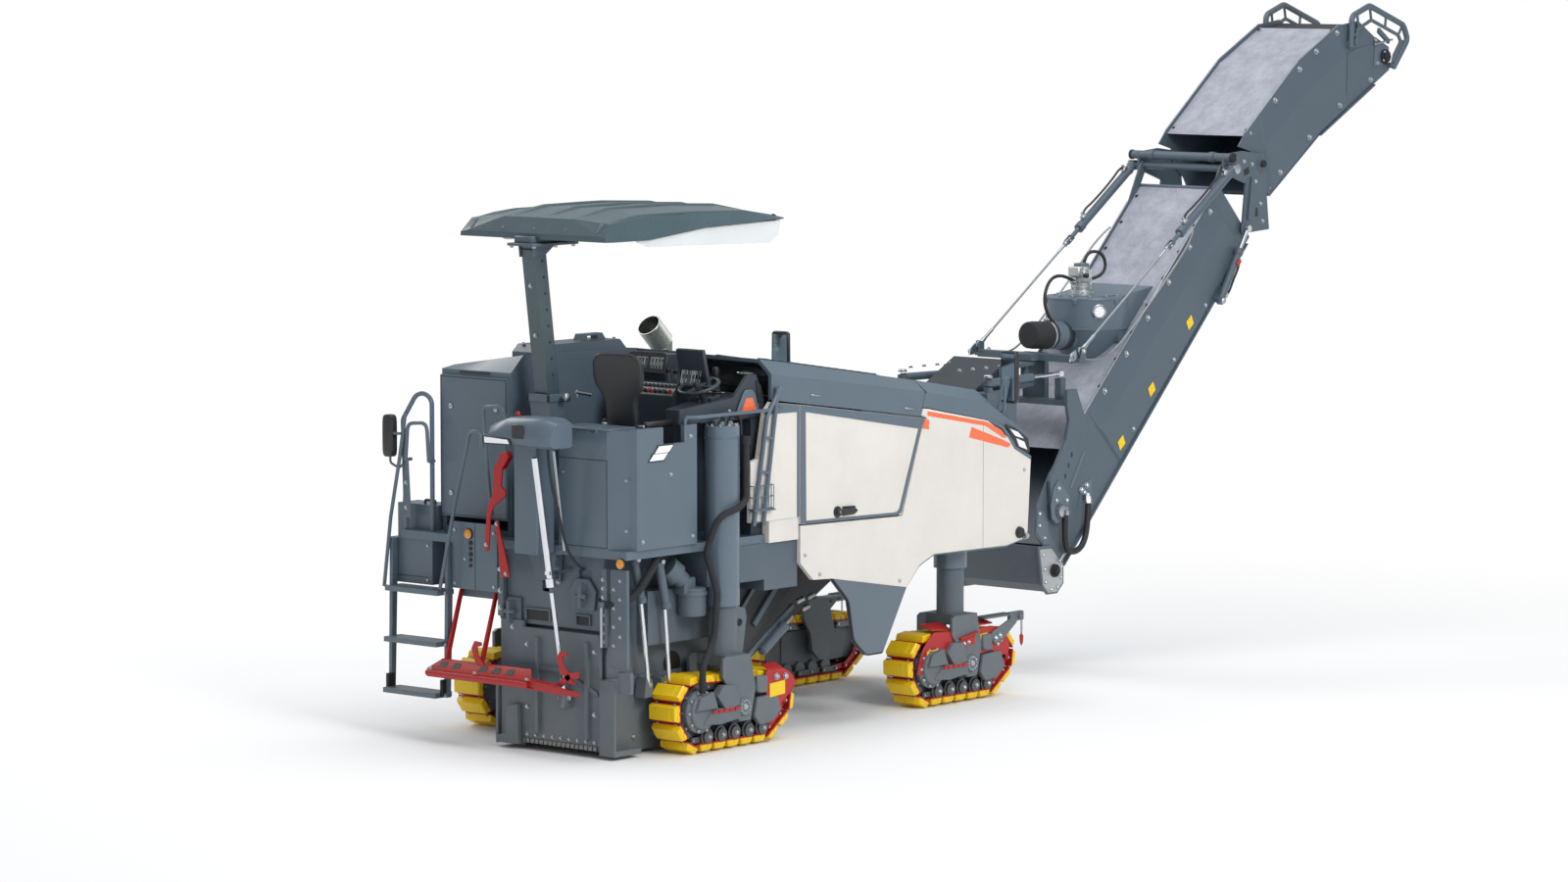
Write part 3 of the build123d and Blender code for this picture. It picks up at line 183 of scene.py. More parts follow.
def sprayed_enamel(name, tone, gloss=0.30, dust=0.18, edge_highlight=1.35):
    """Two-pack polyurethane enamel sprayed on primed steel plate: a faint orange peel, a painted highlight
    that lightens the edges where they would catch the light, and dry dust that gathers low down on the
    machine."""
    material, tree, shader = blank(name)
    place = add(tree, "TexCoord").outputs["Object"]
    mottle = add(tree, "TexNoise", {"Vector": place}, Scale=2.2, Detail=6.0, Roughness=0.6)
    # Orange peel is 2 to 5 mm across; it is drawn about 25 mm across so that it shows at this size.
    grain = add(tree, "TexNoise", {"Vector": place}, Scale=38.0, Detail=3.0)
    soft = add(tree, "Bevel", samples=4, Radius=0.006)
    face = add(tree, "NewGeometry")
    # The rounded normal against the true one finds the edges that get the painted highlight.
    facing = add(tree, "VectorMath", {0: soft.outputs[0], 1: face.outputs["True Normal"]},
                 operation="DOT_PRODUCT")
    edge = add(tree, "MapRange", {"Value": facing.outputs["Value"]}, From_Min=0.995, From_Max=0.80,
               To_Max=0.8)
    height = add(tree, "SeparateXYZ", {0: place})
    low = add(tree, "MapRange", {"Value": height.outputs["Z"]}, From_Min=1.4, From_Max=0.0, To_Max=dust)
    patch = add(tree, "Math", {0: low.outputs[0], 1: mottle.outputs["Fac"]}, operation="MULTIPLY")
    coat = blended(tree, mottle.outputs["Fac"], shade(tone, 0.88), shade(tone, 1.12))
    # Painted highlight: the edges are lightened towards a brighter tone, for the light they would catch.
    worn = blended(tree, edge.outputs[0], coat, shade(tone, edge_highlight, 0.01))
    dusty = blended(tree, patch.outputs[0], worn, linear("#a9a294"))
    rough = add(tree, "MapRange", {"Value": mottle.outputs["Fac"]}, To_Min=gloss - 0.06, To_Max=gloss + 0.12)
    peel = add(tree, "Bump", {"Height": grain.outputs["Fac"], "Normal": soft.outputs[0]}, Strength=0.06,
               Distance=0.002)
    tree.links.new(dusty, shader.inputs["Base Color"])
    tree.links.new(rough.outputs[0], shader.inputs["Roughness"])
    tree.links.new(peel.outputs[0], shader.inputs["Normal"])
    shader.inputs["IOR"].default_value = 1.5
    return material


def cast_polyurethane(name, tone):
    """Polyurethane cast in a mould and bolted to a steel shoe: waxy and slightly soft to the eye, scuffed
    grey on the faces that meet the ground."""
    material, tree, shader = blank(name)
    place = add(tree, "TexCoord").outputs["Object"]
    scuff = add(tree, "TexNoise", {"Vector": place}, Scale=26.0, Detail=8.0, Roughness=0.7)
    cut = add(tree, "MapRange", {"Value": scuff.outputs["Fac"]}, From_Min=0.56, From_Max=0.72, To_Max=0.45)
    tree.links.new(blended(tree, cut.outputs[0], tone, linear("#8d7a35")), shader.inputs["Base Color"])
    pit = add(tree, "Bump", {"Height": scuff.outputs["Fac"]}, Strength=0.12, Distance=0.003)
    tree.links.new(pit.outputs[0], shader.inputs["Normal"])
    shader.inputs["Roughness"].default_value = 0.42
    shader.inputs["IOR"].default_value = 1.5
    return material


def bare_metal(name, code, roughness, streak=(1, 1, 1), depth=0.03):
    """Metal left bare: turned, drawn or plated, with marks that run along one direction and a dull film
    of oil."""
    material, tree, shader = blank(name)
    place = add(tree, "TexCoord").outputs["Object"]
    along = add(tree, "Mapping", {"Vector": place}, Scale=streak)
    mark = add(tree, "TexNoise", {"Vector": along.outputs[0]}, Scale=90.0, Detail=4.0)
    film = add(tree, "TexNoise", {"Vector": place}, Scale=6.0, Detail=4.0)
    tree.links.new(blended(tree, film.outputs["Fac"], shade(linear(code), 0.82), shade(linear(code), 1.1)),
                   shader.inputs["Base Color"])
    rough = add(tree, "MapRange", {"Value": film.outputs["Fac"]}, To_Min=roughness * 0.7,
                To_Max=roughness * 1.35)
    tree.links.new(rough.outputs[0], shader.inputs["Roughness"])
    scratch = add(tree, "Bump", {"Height": mark.outputs["Fac"]}, Strength=depth, Distance=0.001)
    tree.links.new(scratch.outputs[0], shader.inputs["Normal"])
    shader.inputs["Metallic"].default_value = 1.0
    return material


def moulded(name, tone, roughness=0.5, grain_mm=1.6, depth=0.15):
    """Plastic or rubber from a spark-eroded mould: an even fine grain that breaks up the shine."""
    material, tree, shader = blank(name)
    place = add(tree, "TexCoord").outputs["Object"]
    grain = add(tree, "TexVoronoi", {"Vector": place}, Scale=1000.0 / grain_mm / 3)
    fade = add(tree, "TexNoise", {"Vector": place}, Scale=5.0, Detail=5.0)
    tree.links.new(blended(tree, fade.outputs["Fac"], shade(tone, 0.8), shade(tone, 1.3, 0.004)),
                   shader.inputs["Base Color"])
    bump = add(tree, "Bump", {"Height": grain.outputs["Distance"]}, Strength=depth, Distance=0.001)
    tree.links.new(bump.outputs[0], shader.inputs["Normal"])
    shader.inputs["Roughness"].default_value = roughness
    shader.inputs["IOR"].default_value = 1.5
    return material


def coated_cloth(name, tone):
    """Polyester cloth coated with PVC, stretched on hoops over the belt: a woven ground, a chalky bloom
    and fine creases. The threads are 1 mm apart and are drawn 6 mm apart, so that they show."""
    material, tree, shader = blank(name)
    place = add(tree, "TexCoord").outputs["Object"]
    bloom = add(tree, "TexNoise", {"Vector": place}, Scale=7.0, Detail=9.0, Roughness=0.72)
    speck = add(tree, "TexNoise", {"Vector": place}, Scale=120.0, Detail=2.0)
    warp = add(tree, "TexWave", {"Vector": place}, bands_direction="Y", Scale=53.0, Distortion=0.4)
    weft = add(tree, "TexWave", {"Vector": place}, bands_direction="X", Scale=53.0, Distortion=0.4)
    weave = add(tree, "Math", {0: warp.outputs["Fac"], 1: weft.outputs["Fac"]}, operation="MAXIMUM")
    chalk = add(tree, "MapRange", {"Value": bloom.outputs["Fac"]}, From_Min=0.35, From_Max=0.68)
    ground = blended(tree, chalk.outputs[0], shade(tone, 0.80), shade(tone, 1.22))
    flecks = add(tree, "MapRange", {"Value": speck.outputs["Fac"]}, From_Min=0.52, From_Max=0.75, To_Max=0.4)
    tree.links.new(blended(tree, flecks.outputs[0], ground, shade(tone, 1.5)), shader.inputs["Base Color"])
    crease = add(tree, "Bump", {"Height": bloom.outputs["Fac"]}, Strength=0.35, Distance=0.01)
    thread = add(tree, "Bump", {"Height": weave.outputs[0], "Normal": crease.outputs[0]}, Strength=0.12,
                 Distance=0.002)
    tree.links.new(thread.outputs[0], shader.inputs["Normal"])
    shader.inputs["Roughness"].default_value = 0.7
    shader.inputs["IOR"].default_value = 1.5
    return material


def leatherette(name, tone):
    """Expanded vinyl on a knitted back, embossed with a pebble grain of about 3 mm, matt with a faint
    sheen."""
    material, tree, shader = blank(name)
    place = add(tree, "TexCoord").outputs["Object"]
    pebble = add(tree, "TexVoronoi", {"Vector": place}, Scale=260.0, feature="SMOOTH_F1")
    rub = add(tree, "TexNoise", {"Vector": place}, Scale=9.0, Detail=4.0)
    tree.links.new(blended(tree, rub.outputs["Fac"], shade(tone, 0.8), shade(tone, 1.5, 0.004)),
                   shader.inputs["Base Color"])
    emboss = add(tree, "Bump", {"Height": pebble.outputs["Distance"]}, Strength=0.3, Distance=0.0015)
    tree.links.new(emboss.outputs[0], shader.inputs["Normal"])
    shader.inputs["Roughness"].default_value = 0.36
    shader.inputs["Sheen Weight"].default_value = 0.1
    shader.inputs["IOR"].default_value = 1.5
    return material


def clear_lens(name, code, painted_glow=0.0):
    """Polycarbonate moulded over a metallised reflector: glossy, with the flutes of the optic just under
    the face."""
    material, tree, shader = blank(name)
    place = add(tree, "TexCoord").outputs["Object"]
    flute = add(tree, "TexWave", {"Vector": place}, bands_direction="DIAGONAL", Scale=28.0)
    tree.links.new(blended(tree, flute.outputs["Fac"], shade(linear(code), 0.7), linear(code)),
                   shader.inputs["Base Color"])
    ridge = add(tree, "Bump", {"Height": flute.outputs["Fac"]}, Strength=0.2, Distance=0.002)
    tree.links.new(ridge.outputs[0], shader.inputs["Normal"])
    shader.inputs["Roughness"].default_value = 0.12
    shader.inputs["IOR"].default_value = 1.586
    shader.inputs["Coat Weight"].default_value = 0.6
    # A faint emission, where asked, is painted light: the lens glows as if lit, for the glint of the
    # reflector behind it.
    shader.inputs["Emission Color"].default_value = linear(code)
    shader.inputs["Emission Strength"].default_value = painted_glow
    return material


def silvered_glass(name):
    """Float glass silvered on the back: a clean mirror with a slightly blue cast."""
    material, tree, shader = blank(name)
    haze = add(tree, "TexNoise", {"Vector": add(tree, "TexCoord").outputs["Object"]}, Scale=14.0, Detail=3.0)
    rough = add(tree, "MapRange", {"Value": haze.outputs["Fac"]}, To_Min=0.02, To_Max=0.10)
    tree.links.new(rough.outputs[0], shader.inputs["Roughness"])
    shader.inputs["Base Color"].default_value = linear("#c9d6dd")
    shader.inputs["Metallic"].default_value = 1.0
    return material


def reflective_film(name, tone):
    """Retroreflective film: glass beads under a gloss face, which read as a faint honeycomb."""
    material, tree, shader = blank(name)
    comb = add(tree, "TexVoronoi", {"Vector": add(tree, "TexCoord").outputs["Object"]}, Scale=95.0)
    tree.links.new(blended(tree, comb.outputs["Distance"], tone, shade(tone, 1.35, 0.02)),
                   shader.inputs["Base Color"])
    shader.inputs["Roughness"].default_value = 0.28
    shader.inputs["Coat Weight"].default_value = 0.5
    shader.inputs["IOR"].default_value = 1.5
    return material


def clear_sheet(name):
    """Acrylic sheet, 4 mm, thermoformed: nearly clear, milky where it is seen edge on."""
    material, tree, shader = blank(name)
    haze = add(tree, "TexNoise", {"Vector": add(tree, "TexCoord").outputs["Object"]}, Scale=3.0, Detail=5.0)
    tree.links.new(blended(tree, haze.outputs["Fac"], linear("#dfe4e6"), linear("#f4f6f6")),
                   shader.inputs["Base Color"])
    shader.inputs["Roughness"].default_value = 0.18
    shader.inputs["Alpha"].default_value = 0.72
    shader.inputs["IOR"].default_value = 1.49
    return material


def screen_glass(name):
    """A display behind bonded glass: dark, glossy, with a few plain lit fields that mean nothing."""
    material, tree, shader = blank(name)
    place = add(tree, "TexCoord").outputs["Object"]
    cells = add(tree, "TexBrick", {"Vector": place}, Scale=16.0, Color1=linear("#31404a"),
                Color2=linear("#c8d6da"),
                Mortar=linear("#0a0c0e"), Mortar_Size=0.06)
    tree.links.new(cells.outputs["Color"], shader.inputs["Base Color"])
    shader.inputs["Roughness"].default_value = 0.08
    shader.inputs["Coat Weight"].default_value = 0.8
    return material


# Finish of each CAD node that stays in view; those not named here are slate enamel.
NODE_FINISH = {
    "deep": ("canopy",),
    # Consoles and controls: dark slate with painted shade for their faces turned away from the lights.
    "dusk": ("consoles", "operator_controls"),
    # Painted shade: these nodes sit in dark open spaces and are painted near black for the shade there.
    "shadow": ("primary_conveyor", "engine_block"),
    "gloss": ("column_sleeves",),
    "graphite": ("main_frame", "drum_housing", "swivel_carrier", "scraper",
                 "side_plate_right", "side_plate_left", "track_frame_rear_right", "track_frame_rear_left",
                 "track_frame_front_right", "track_frame_front_left", "swivel", "tail_hopper", "fold_link",
                 "lower_conveyor", "upper_conveyor", "head_guards", "fold_barrels", "stay_barrels",
                 "slew_barrel_right", "slew_barrel_left"),
    "cream": ("service_door", "side_panel_left", "side_panel_right"),
    "drum": ("milling_drum",),
    "chrome": ("fold_rods", "slew_rod_right", "slew_rod_left", "scraper_cylinder"),
    "rope": ("stay_ropes",),
    "sleeve": ("track_hose",),
}
FINISH = {}


class PLANER_OT_finishes(bpy.types.Operator):
    """Make the finishes and give one to every CAD node that stays in view"""

    bl_idname = "planer.finishes"
    bl_label = "Finishes"

    def execute(self, context):
        tone = context.scene.planer_finishes
        FINISH.update(
            slate=sprayed_enamel("polyurethane_enamel_slate", tone.slate),
            graphite=sprayed_enamel("polyurethane_enamel_graphite", tone.graphite, 0.42, 0.4),
            cream=sprayed_enamel("polyurethane_enamel_cream", tone.cream, 0.3, 0.12),
            # Moulded canopy and consoles: the same slate in glass fibre, the canopy pigmented a shade darker.
            # The consoles are a dark slate, darkened further as painted shade for faces turned away from the
            # lights.
            deep=sprayed_enamel("gelcoat_deep_slate", linear("#46585f"), 0.24, 0.0),
            dusk=sprayed_enamel("gelcoat_console_slate_painted_shade", shade(tone.slate, 0.36), 0.4, 0.0),
            # The columns' outer tubes are turned smooth before they are sprayed, so the coat lies glossier;
            # their tone is also lifted by 12 % as painted light, for the bright highlights along the tubes.
            gloss=sprayed_enamel("polyurethane_enamel_gloss_slate_painted_light", shade(tone.slate, 1.12), 0.16, 0.1),
            # Near-black slate: painted shade for the dark spaces under the deck, not a paint of its own.
            shadow=sprayed_enamel("painted_shadow_black", shade(tone.slate, 0.22), 0.5, 0.3),
            # Red and yellow take a milder painted edge highlight.
            red=sprayed_enamel("alkyd_enamel_red", tone.guard, 0.34, 0.1, 1.1),
            yellow=sprayed_enamel("powder_coat_yellow_plate", tone.pad, 0.4, 0.05, 1.1),
            pad=cast_polyurethane("cast_polyurethane_yellow", tone.pad),
            cover=coated_cloth("pvc_coated_polyester", tone.cover),
            # Grey cast iron, sand cast and oil stained.
            iron=bare_metal("grey_cast_iron", "#4b4c4e", 0.75, depth=0.4),
            # Forged tool steel, black from the furnace and polished by the cut.
            drum=bare_metal("forged_tool_steel", "#54504b", 0.55, depth=0.3),
            # Sintered tungsten carbide, a dull bright grey.
            carbide=bare_metal("sintered_tungsten_carbide", "#8c8c8a", 0.4),
            # Hard chrome, ground and polished along the rod.
            chrome=bare_metal("ground_hard_chrome", "#dfe2e6", 0.14, (1, 1, 14)),
            # Zinc plate on bolts and clamps, slightly blue and dull.
            zinc=bare_metal("zinc_plated_steel", "#b9bec2", 0.34),
            # Galvanised wire, drawn and laid up.
            rope=bare_metal("galvanised_wire_rope", "#9ea3a7", 0.45, (1, 1, 6), 0.2),
            # Aluminium, die cast and shot blasted.
            alloy=bare_metal("die_cast_aluminium", "#c6cac9", 0.48, depth=0.25),
            # Stainless sheet, pressed in ribs and tinted by heat.
            exhaust=bare_metal("ribbed_stainless_sheet", "#a5a8a2", 0.34),
            # Chain links, forged and greased.
            link=bare_metal("greased_forged_steel", "#6f7173", 0.42, depth=0.3),
            rubber=moulded("nitrile_rubber", tone.rubber, 0.55),
            # Woven nylon protective sleeve: coarser than rubber, no shine.
            sleeve=moulded("woven_nylon_sleeve", shade(tone.rubber, 1.5), 0.85, 7.0, 0.7),
            plastic=moulded("glass_filled_nylon", tone.plastic, 0.42),
            vinyl=leatherette("embossed_vinyl_black", shade(tone.plastic, 0.5)),
            stripe=reflective_film("retroreflective_film_orange", tone.stripe),
            amber=clear_lens("amber_polycarbonate", "#f09a18"),
            # Clear lenses, also used for the suction unit's window, glow faintly as painted light though no
            # lamp is lit.
            lens=clear_lens("clear_polycarbonate", "#e9edf0", 0.25),
            mirror=silvered_glass("silvered_float_glass"),
            visor=clear_sheet("thermoformed_acrylic"),
            screen=screen_glass("bonded_display_glass"),
        )
        finish_of = {node: finish for finish, nodes in NODE_FINISH.items() for node in nodes}
        for name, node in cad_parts.items():
            node.data.materials.clear()
            node.data.materials.append(FINISH[finish_of.get(name, "slate")])
        return {"FINISHED"}


# ---------------------------------------------------------------- shaping


class Piece:
    """One visible piece while it is shaped: a mesh that takes parts one after another, each in a finish."""

    def __init__(self, name, *finishes):
        self.name = name
        self.mesh = bmesh.new()
        self.finishes = finishes
        self.coat = 0

    def use(self, finish):
        """The parts that follow take this finish."""
        self.coat = self.finishes.index(finish)
        return self

    def _paint(self, faces):
        for face in faces:
            face.material_index = self.coat

    def plate(self, outline, depth, chamfer=0.0):
        """A flat plate: an outline of points, given thickness along a vector, with its edges broken."""
        depth = Vector(depth)
        low = [self.mesh.verts.new(p) for p in outline]
        high = [self.mesh.verts.new(Vector(p) + depth) for p in outline]
        faces = [self.mesh.faces.new(low), self.mesh.faces.new(list(reversed(high)))]
        for k in range(len(low)):
            n = (k + 1) % len(low)
            faces.append(self.mesh.faces.new((low[n], low[k], high[k], high[n])))
        bmesh.ops.recalc_face_normals(self.mesh, faces=faces)
        self._paint(faces)
        if chamfer:
            edges = {e for f in faces for e in f.edges}
            made = bmesh.ops.bevel(self.mesh, geom=list(edges), offset=chamfer, segments=1, affect="EDGES",
                                   clamp_overlap=True)
            self._paint(made["faces"])
        return self

    def flat(self, across, place, outline, depth, chamfer=0.0):
        """A plate that lies square to the x, y or z axis: its outline gives the other two distances in
        order."""
        k = "xyz".index(across)
        spots = [at(*(*pair[:k], place, *pair[k:])) for pair in outline]
        return self.plate(spots, [depth if n == k else 0 for n in range(3)], chamfer)

    def block(self, low, high, chamfer=0.0):
        """A box between two corners."""
        a, b = Vector(low), Vector(high)
        return self.plate([(a.x, a.y, a.z), (b.x, a.y, a.z), (b.x, b.y, a.z), (a.x, b.y, a.z)],
                          (0, 0, b.z - a.z), chamfer)

    def turned(self, start, end, profile, sides=24):
        """A turned part about the line from start to end: profile rows are (share of the way, radius)."""
        start, end = Vector(start), Vector(end)
        way = end - start
        turn = way.to_track_quat("Z", "Y").to_matrix()
        rings = []
        for share, radius in profile:
            centre = start + way * share
            if radius <= 0:
                rings.append([self.mesh.verts.new(centre)])
                continue
            rings.append([self.mesh.verts.new(centre + turn @ Vector((
                radius * math.cos(math.tau * k / sides), radius * math.sin(math.tau * k / sides), 0)))
                for k in range(sides)])
        faces = []
        if len(rings[0]) > 1:
            faces.append(self.mesh.faces.new(list(reversed(rings[0]))))
        if len(rings[-1]) > 1:
            faces.append(self.mesh.faces.new(rings[-1]))
        for one, two in zip(rings, rings[1:]):
            for k in range(sides):
                n = (k + 1) % sides
                corners = [one[k % len(one)], one[n % len(one)], two[n % len(two)], two[k % len(two)]]
                corners = list(dict.fromkeys(corners))
                if len(corners) > 2:
                    faces.append(self.mesh.faces.new(corners))
        bmesh.ops.recalc_face_normals(self.mesh, faces=faces)
        self._paint(faces)
        return self

    def bar(self, start, end, radius, sides=20):
        """A round bar with its ends broken."""
        edge = min(radius * 0.2, (Vector(end) - Vector(start)).length * 0.3)
        share = edge / max((Vector(end) - Vector(start)).length, 1e-6)
        return self.turned(start, end, [(0, radius - edge), (share, radius), (1 - share, radius),
                                        (1, radius - edge)], sides)

    def bolt(self, place, way, size=0.03):
        """A hexagon bolt head on its washer, standing on a face that looks along way."""
        place, way = Vector(place), Vector(way).normalized()
        self.turned(place, place + way * size * 0.12, [(0, size * 0.72), (1, size * 0.70)], 16)
        return self.turned(place + way * size * 0.12, place + way * size * 0.62,
                           [(0, size * 0.56), (0.8, size * 0.56), (1, size * 0.44)], 6)

    def pipe(self, points, radius, bend=0.08, sides=14, closed_ends=True):
        """A bent tube or hose: straight runs joined by arcs, swept with a round section."""
        route = rounded([Vector(p) for p in points], bend)
        rings = []
        along = (route[1] - route[0]).normalized()
        side = along.orthogonal().normalized()
        for k, point in enumerate(route):
            ahead = route[min(k + 1, len(route) - 1)] - route[max(k - 1, 0)]
            new = ahead.normalized()
            side = (along.rotation_difference(new) @ side).normalized()
            along = new
            other = along.cross(side)
            rings.append([self.mesh.verts.new(point + (side * math.cos(math.tau * j / sides)
                                                      + other * math.sin(math.tau * j / sides)) * radius)
                          for j in range(sides)])
        faces = []
        if closed_ends:
            faces += [self.mesh.faces.new(list(reversed(rings[0]))), self.mesh.faces.new(rings[-1])]
        for one, two in zip(rings, rings[1:]):
            for j in range(sides):
                n = (j + 1) % sides
                faces.append(self.mesh.faces.new((one[j], one[n], two[n], two[j])))
        bmesh.ops.recalc_face_normals(self.mesh, faces=faces)
        self._paint(faces)
        return self

    def skin(self, rows, closed=True):
        """A surface through rows of points, all of one length; each row is closed on itself if asked."""
        grid = [[self.mesh.verts.new(p) for p in row] for row in rows]
        faces = []
        for one, two in zip(grid, grid[1:]):
            for j in range(len(one) if closed else len(one) - 1):
                n = (j + 1) % len(one)
                faces.append(self.mesh.faces.new((one[j], one[n], two[n], two[j])))
        if closed:
            faces += [self.mesh.faces.new(list(reversed(grid[0]))), self.mesh.faces.new(grid[-1])]
        bmesh.ops.recalc_face_normals(self.mesh, faces=faces)
        self._paint(faces)
        return self

    def block_on(self, foot, along, out, across, half, height, wide, centred=False, chamfer=0.0):
        """A block that stands on a foot point: half its length along, its height outward, its width
        across (to one side only, or to both where it is centred)."""
        start = foot - across * (wide if centred else 0)
        width = across * (2 * wide if centred else wide)
        return self.plate([start - along * half, start + along * half, start + along * half + out * height,
                           start - along * half + out * height], width, chamfer)

    def link(self, one, two, radius, thick):
        """A flat link plate with round ends about two pins."""
        way = (two - one).normalized()
        up = Vector((-way.z, 0, way.x))
        outline = []
        for centre, first in ((one, math.pi / 2), (two, -math.pi / 2)):
            for k in range(7):
                angle = first + math.pi * k / 6
                outline.append(centre + (way * math.cos(angle) + up * math.sin(angle)) * radius)
        return self.plate([p - Vector((0, thick / 2, 0)) for p in outline], (0, thick, 0))

    def ring(self, centre, radius, wire, axis, sides=14):
        """A closed ring of round wire about an axis."""
        axis = Vector(axis).normalized()
        side = axis.orthogonal().normalized()
        up = axis.cross(side)
        rings = []
        for k in range(sides):
            ray = side * math.cos(math.tau * k / sides) + up * math.sin(math.tau * k / sides)
            rings.append([self.mesh.verts.new(centre + ray * (radius + wire * math.cos(math.tau * j / 8))
                                              + axis * wire * math.sin(math.tau * j / 8)) for j in range(8)])
        faces = []
        for k in range(sides):
            one, two = rings[k], rings[(k + 1) % sides]
            for j in range(8):
                n = (j + 1) % 8
                faces.append(self.mesh.faces.new((one[j], one[n], two[n], two[j])))
        bmesh.ops.recalc_face_normals(self.mesh, faces=faces)
        self._paint(faces)
        return self

    def hang(self, body, *nodes, smooth=38, slot=None):
        """Closes the piece, rides it on its CAD body and lets it stand for the CAD nodes named."""
        mesh = bpy.data.meshes.new(self.name)
        self.mesh.to_mesh(mesh)
        self.mesh.free()
        for finish in self.finishes:
            mesh.materials.append(FINISH[finish])
        for polygon in mesh.polygons:
            polygon.use_smooth = True
        mesh.set_sharp_from_angle(angle=math.radians(smooth))
        made = bpy.data.objects.new(self.name, mesh)
        bpy.context.scene.collection.objects.link(made)
        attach(made, body)
        if nodes:
            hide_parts(*nodes)
        return made


def rounded(points, bend, step=0.35):
    """The points of a route with each corner turned into an arc of the given radius, or the most that
    fits."""
    route = [points[0]]
    for before, corner, after in zip(points, points[1:], points[2:]):
        back, ahead = (before - corner), (after - corner)
        angle = back.angle(ahead, math.pi)
        if math.pi - angle < 0.02:
            route.append(corner)
            continue
        reach = min(bend / math.tan(angle / 2), back.length * 0.48, ahead.length * 0.48)
        first, last = corner + back.normalized() * reach, corner + ahead.normalized() * reach
        count = max(2, int((math.pi - angle) / step) + 1)
        for k in range(count + 1):
            t = k / count
            route.append(first.lerp(corner, t).lerp(corner.lerp(last, t), t))
    route.append(points[-1])
    return route


# ---------------------------------------------------------------- track units

# Track unit: its body, its track node, the X of its centre, the Y of its middle, and its outer side.
UNITS = (
    ("unit_rear_right", "track_rear_right", 0.0, -0.926, -1),
    ("unit_rear_left", "track_rear_left", 0.07, 1.032, 1),
    ("unit_front_right", "track_front_right", 2.797, -0.722, -1),
    ("unit_front_left", "track_front_left", 2.797, 0.722, 1),
)
# What the chain runs round: distance from the unit's centre, height and radius over the pads.
RIMS = ((-0.388, 0.298, 0.262), (0.430, 0.300, 0.220), (0.360, 0.090, 0.090), (-0.440, 0.090, 0.090))
PAD_HEIGHT = 0.046
SHOE_HEIGHT = 0.012
LINK_HEIGHT = 0.052
PITCHES = 20


def chain_line(depth):
    """The closed line that lies a given depth inside the pads' faces, as points with their outward
    directions."""
    line = []
    for k, (x, z, radius) in enumerate(RIMS):
        ahead = RIMS[(k + 1) % len(RIMS)]
        behind = RIMS[k - 1]
        marks = []
        for one, two in ((behind, (x, z, radius)), ((x, z, radius), ahead)):
            dx, dz = two[0] - one[0], two[1] - one[1]
            span = math.hypot(dx, dz)
            lean = math.acos(max(-1, min(1, (one[2] - two[2]) / span)))
            marks.append(math.atan2(dz, dx) + lean)
        first, last = marks
        while last > first:
            last -= math.tau
        steps = max(2, int((first - last) / 0.12))
        for j in range(steps + 1):
            angle = first + (last - first) * j / steps
            out = Vector((math.cos(angle), 0, math.sin(angle)))
            line.append((Vector((x, 0, z)) + out * (radius - depth), out))
    return line


def stations(line, count):
    """Evenly spaced places along a closed line: point, direction along it and direction outward."""
    runs = [(line[k][0], line[(k + 1) % len(line)][0]) for k in range(len(line))]
    whole = sum((b - a).length for a, b in runs)
    found, target, gone = [], 0.0, 0.0
    for a, b in runs:
        span = (b - a).length
        while span > 1e-9 and gone + span >= target - 1e-9 and len(found) < count:
            along = (b - a).normalized()
            out = Vector((-along.z, 0, along.x))
            found.append((a.lerp(b, max(0, (target - gone) / span)), along, out))
            target += whole / count
        gone += span
    return found, whole / count


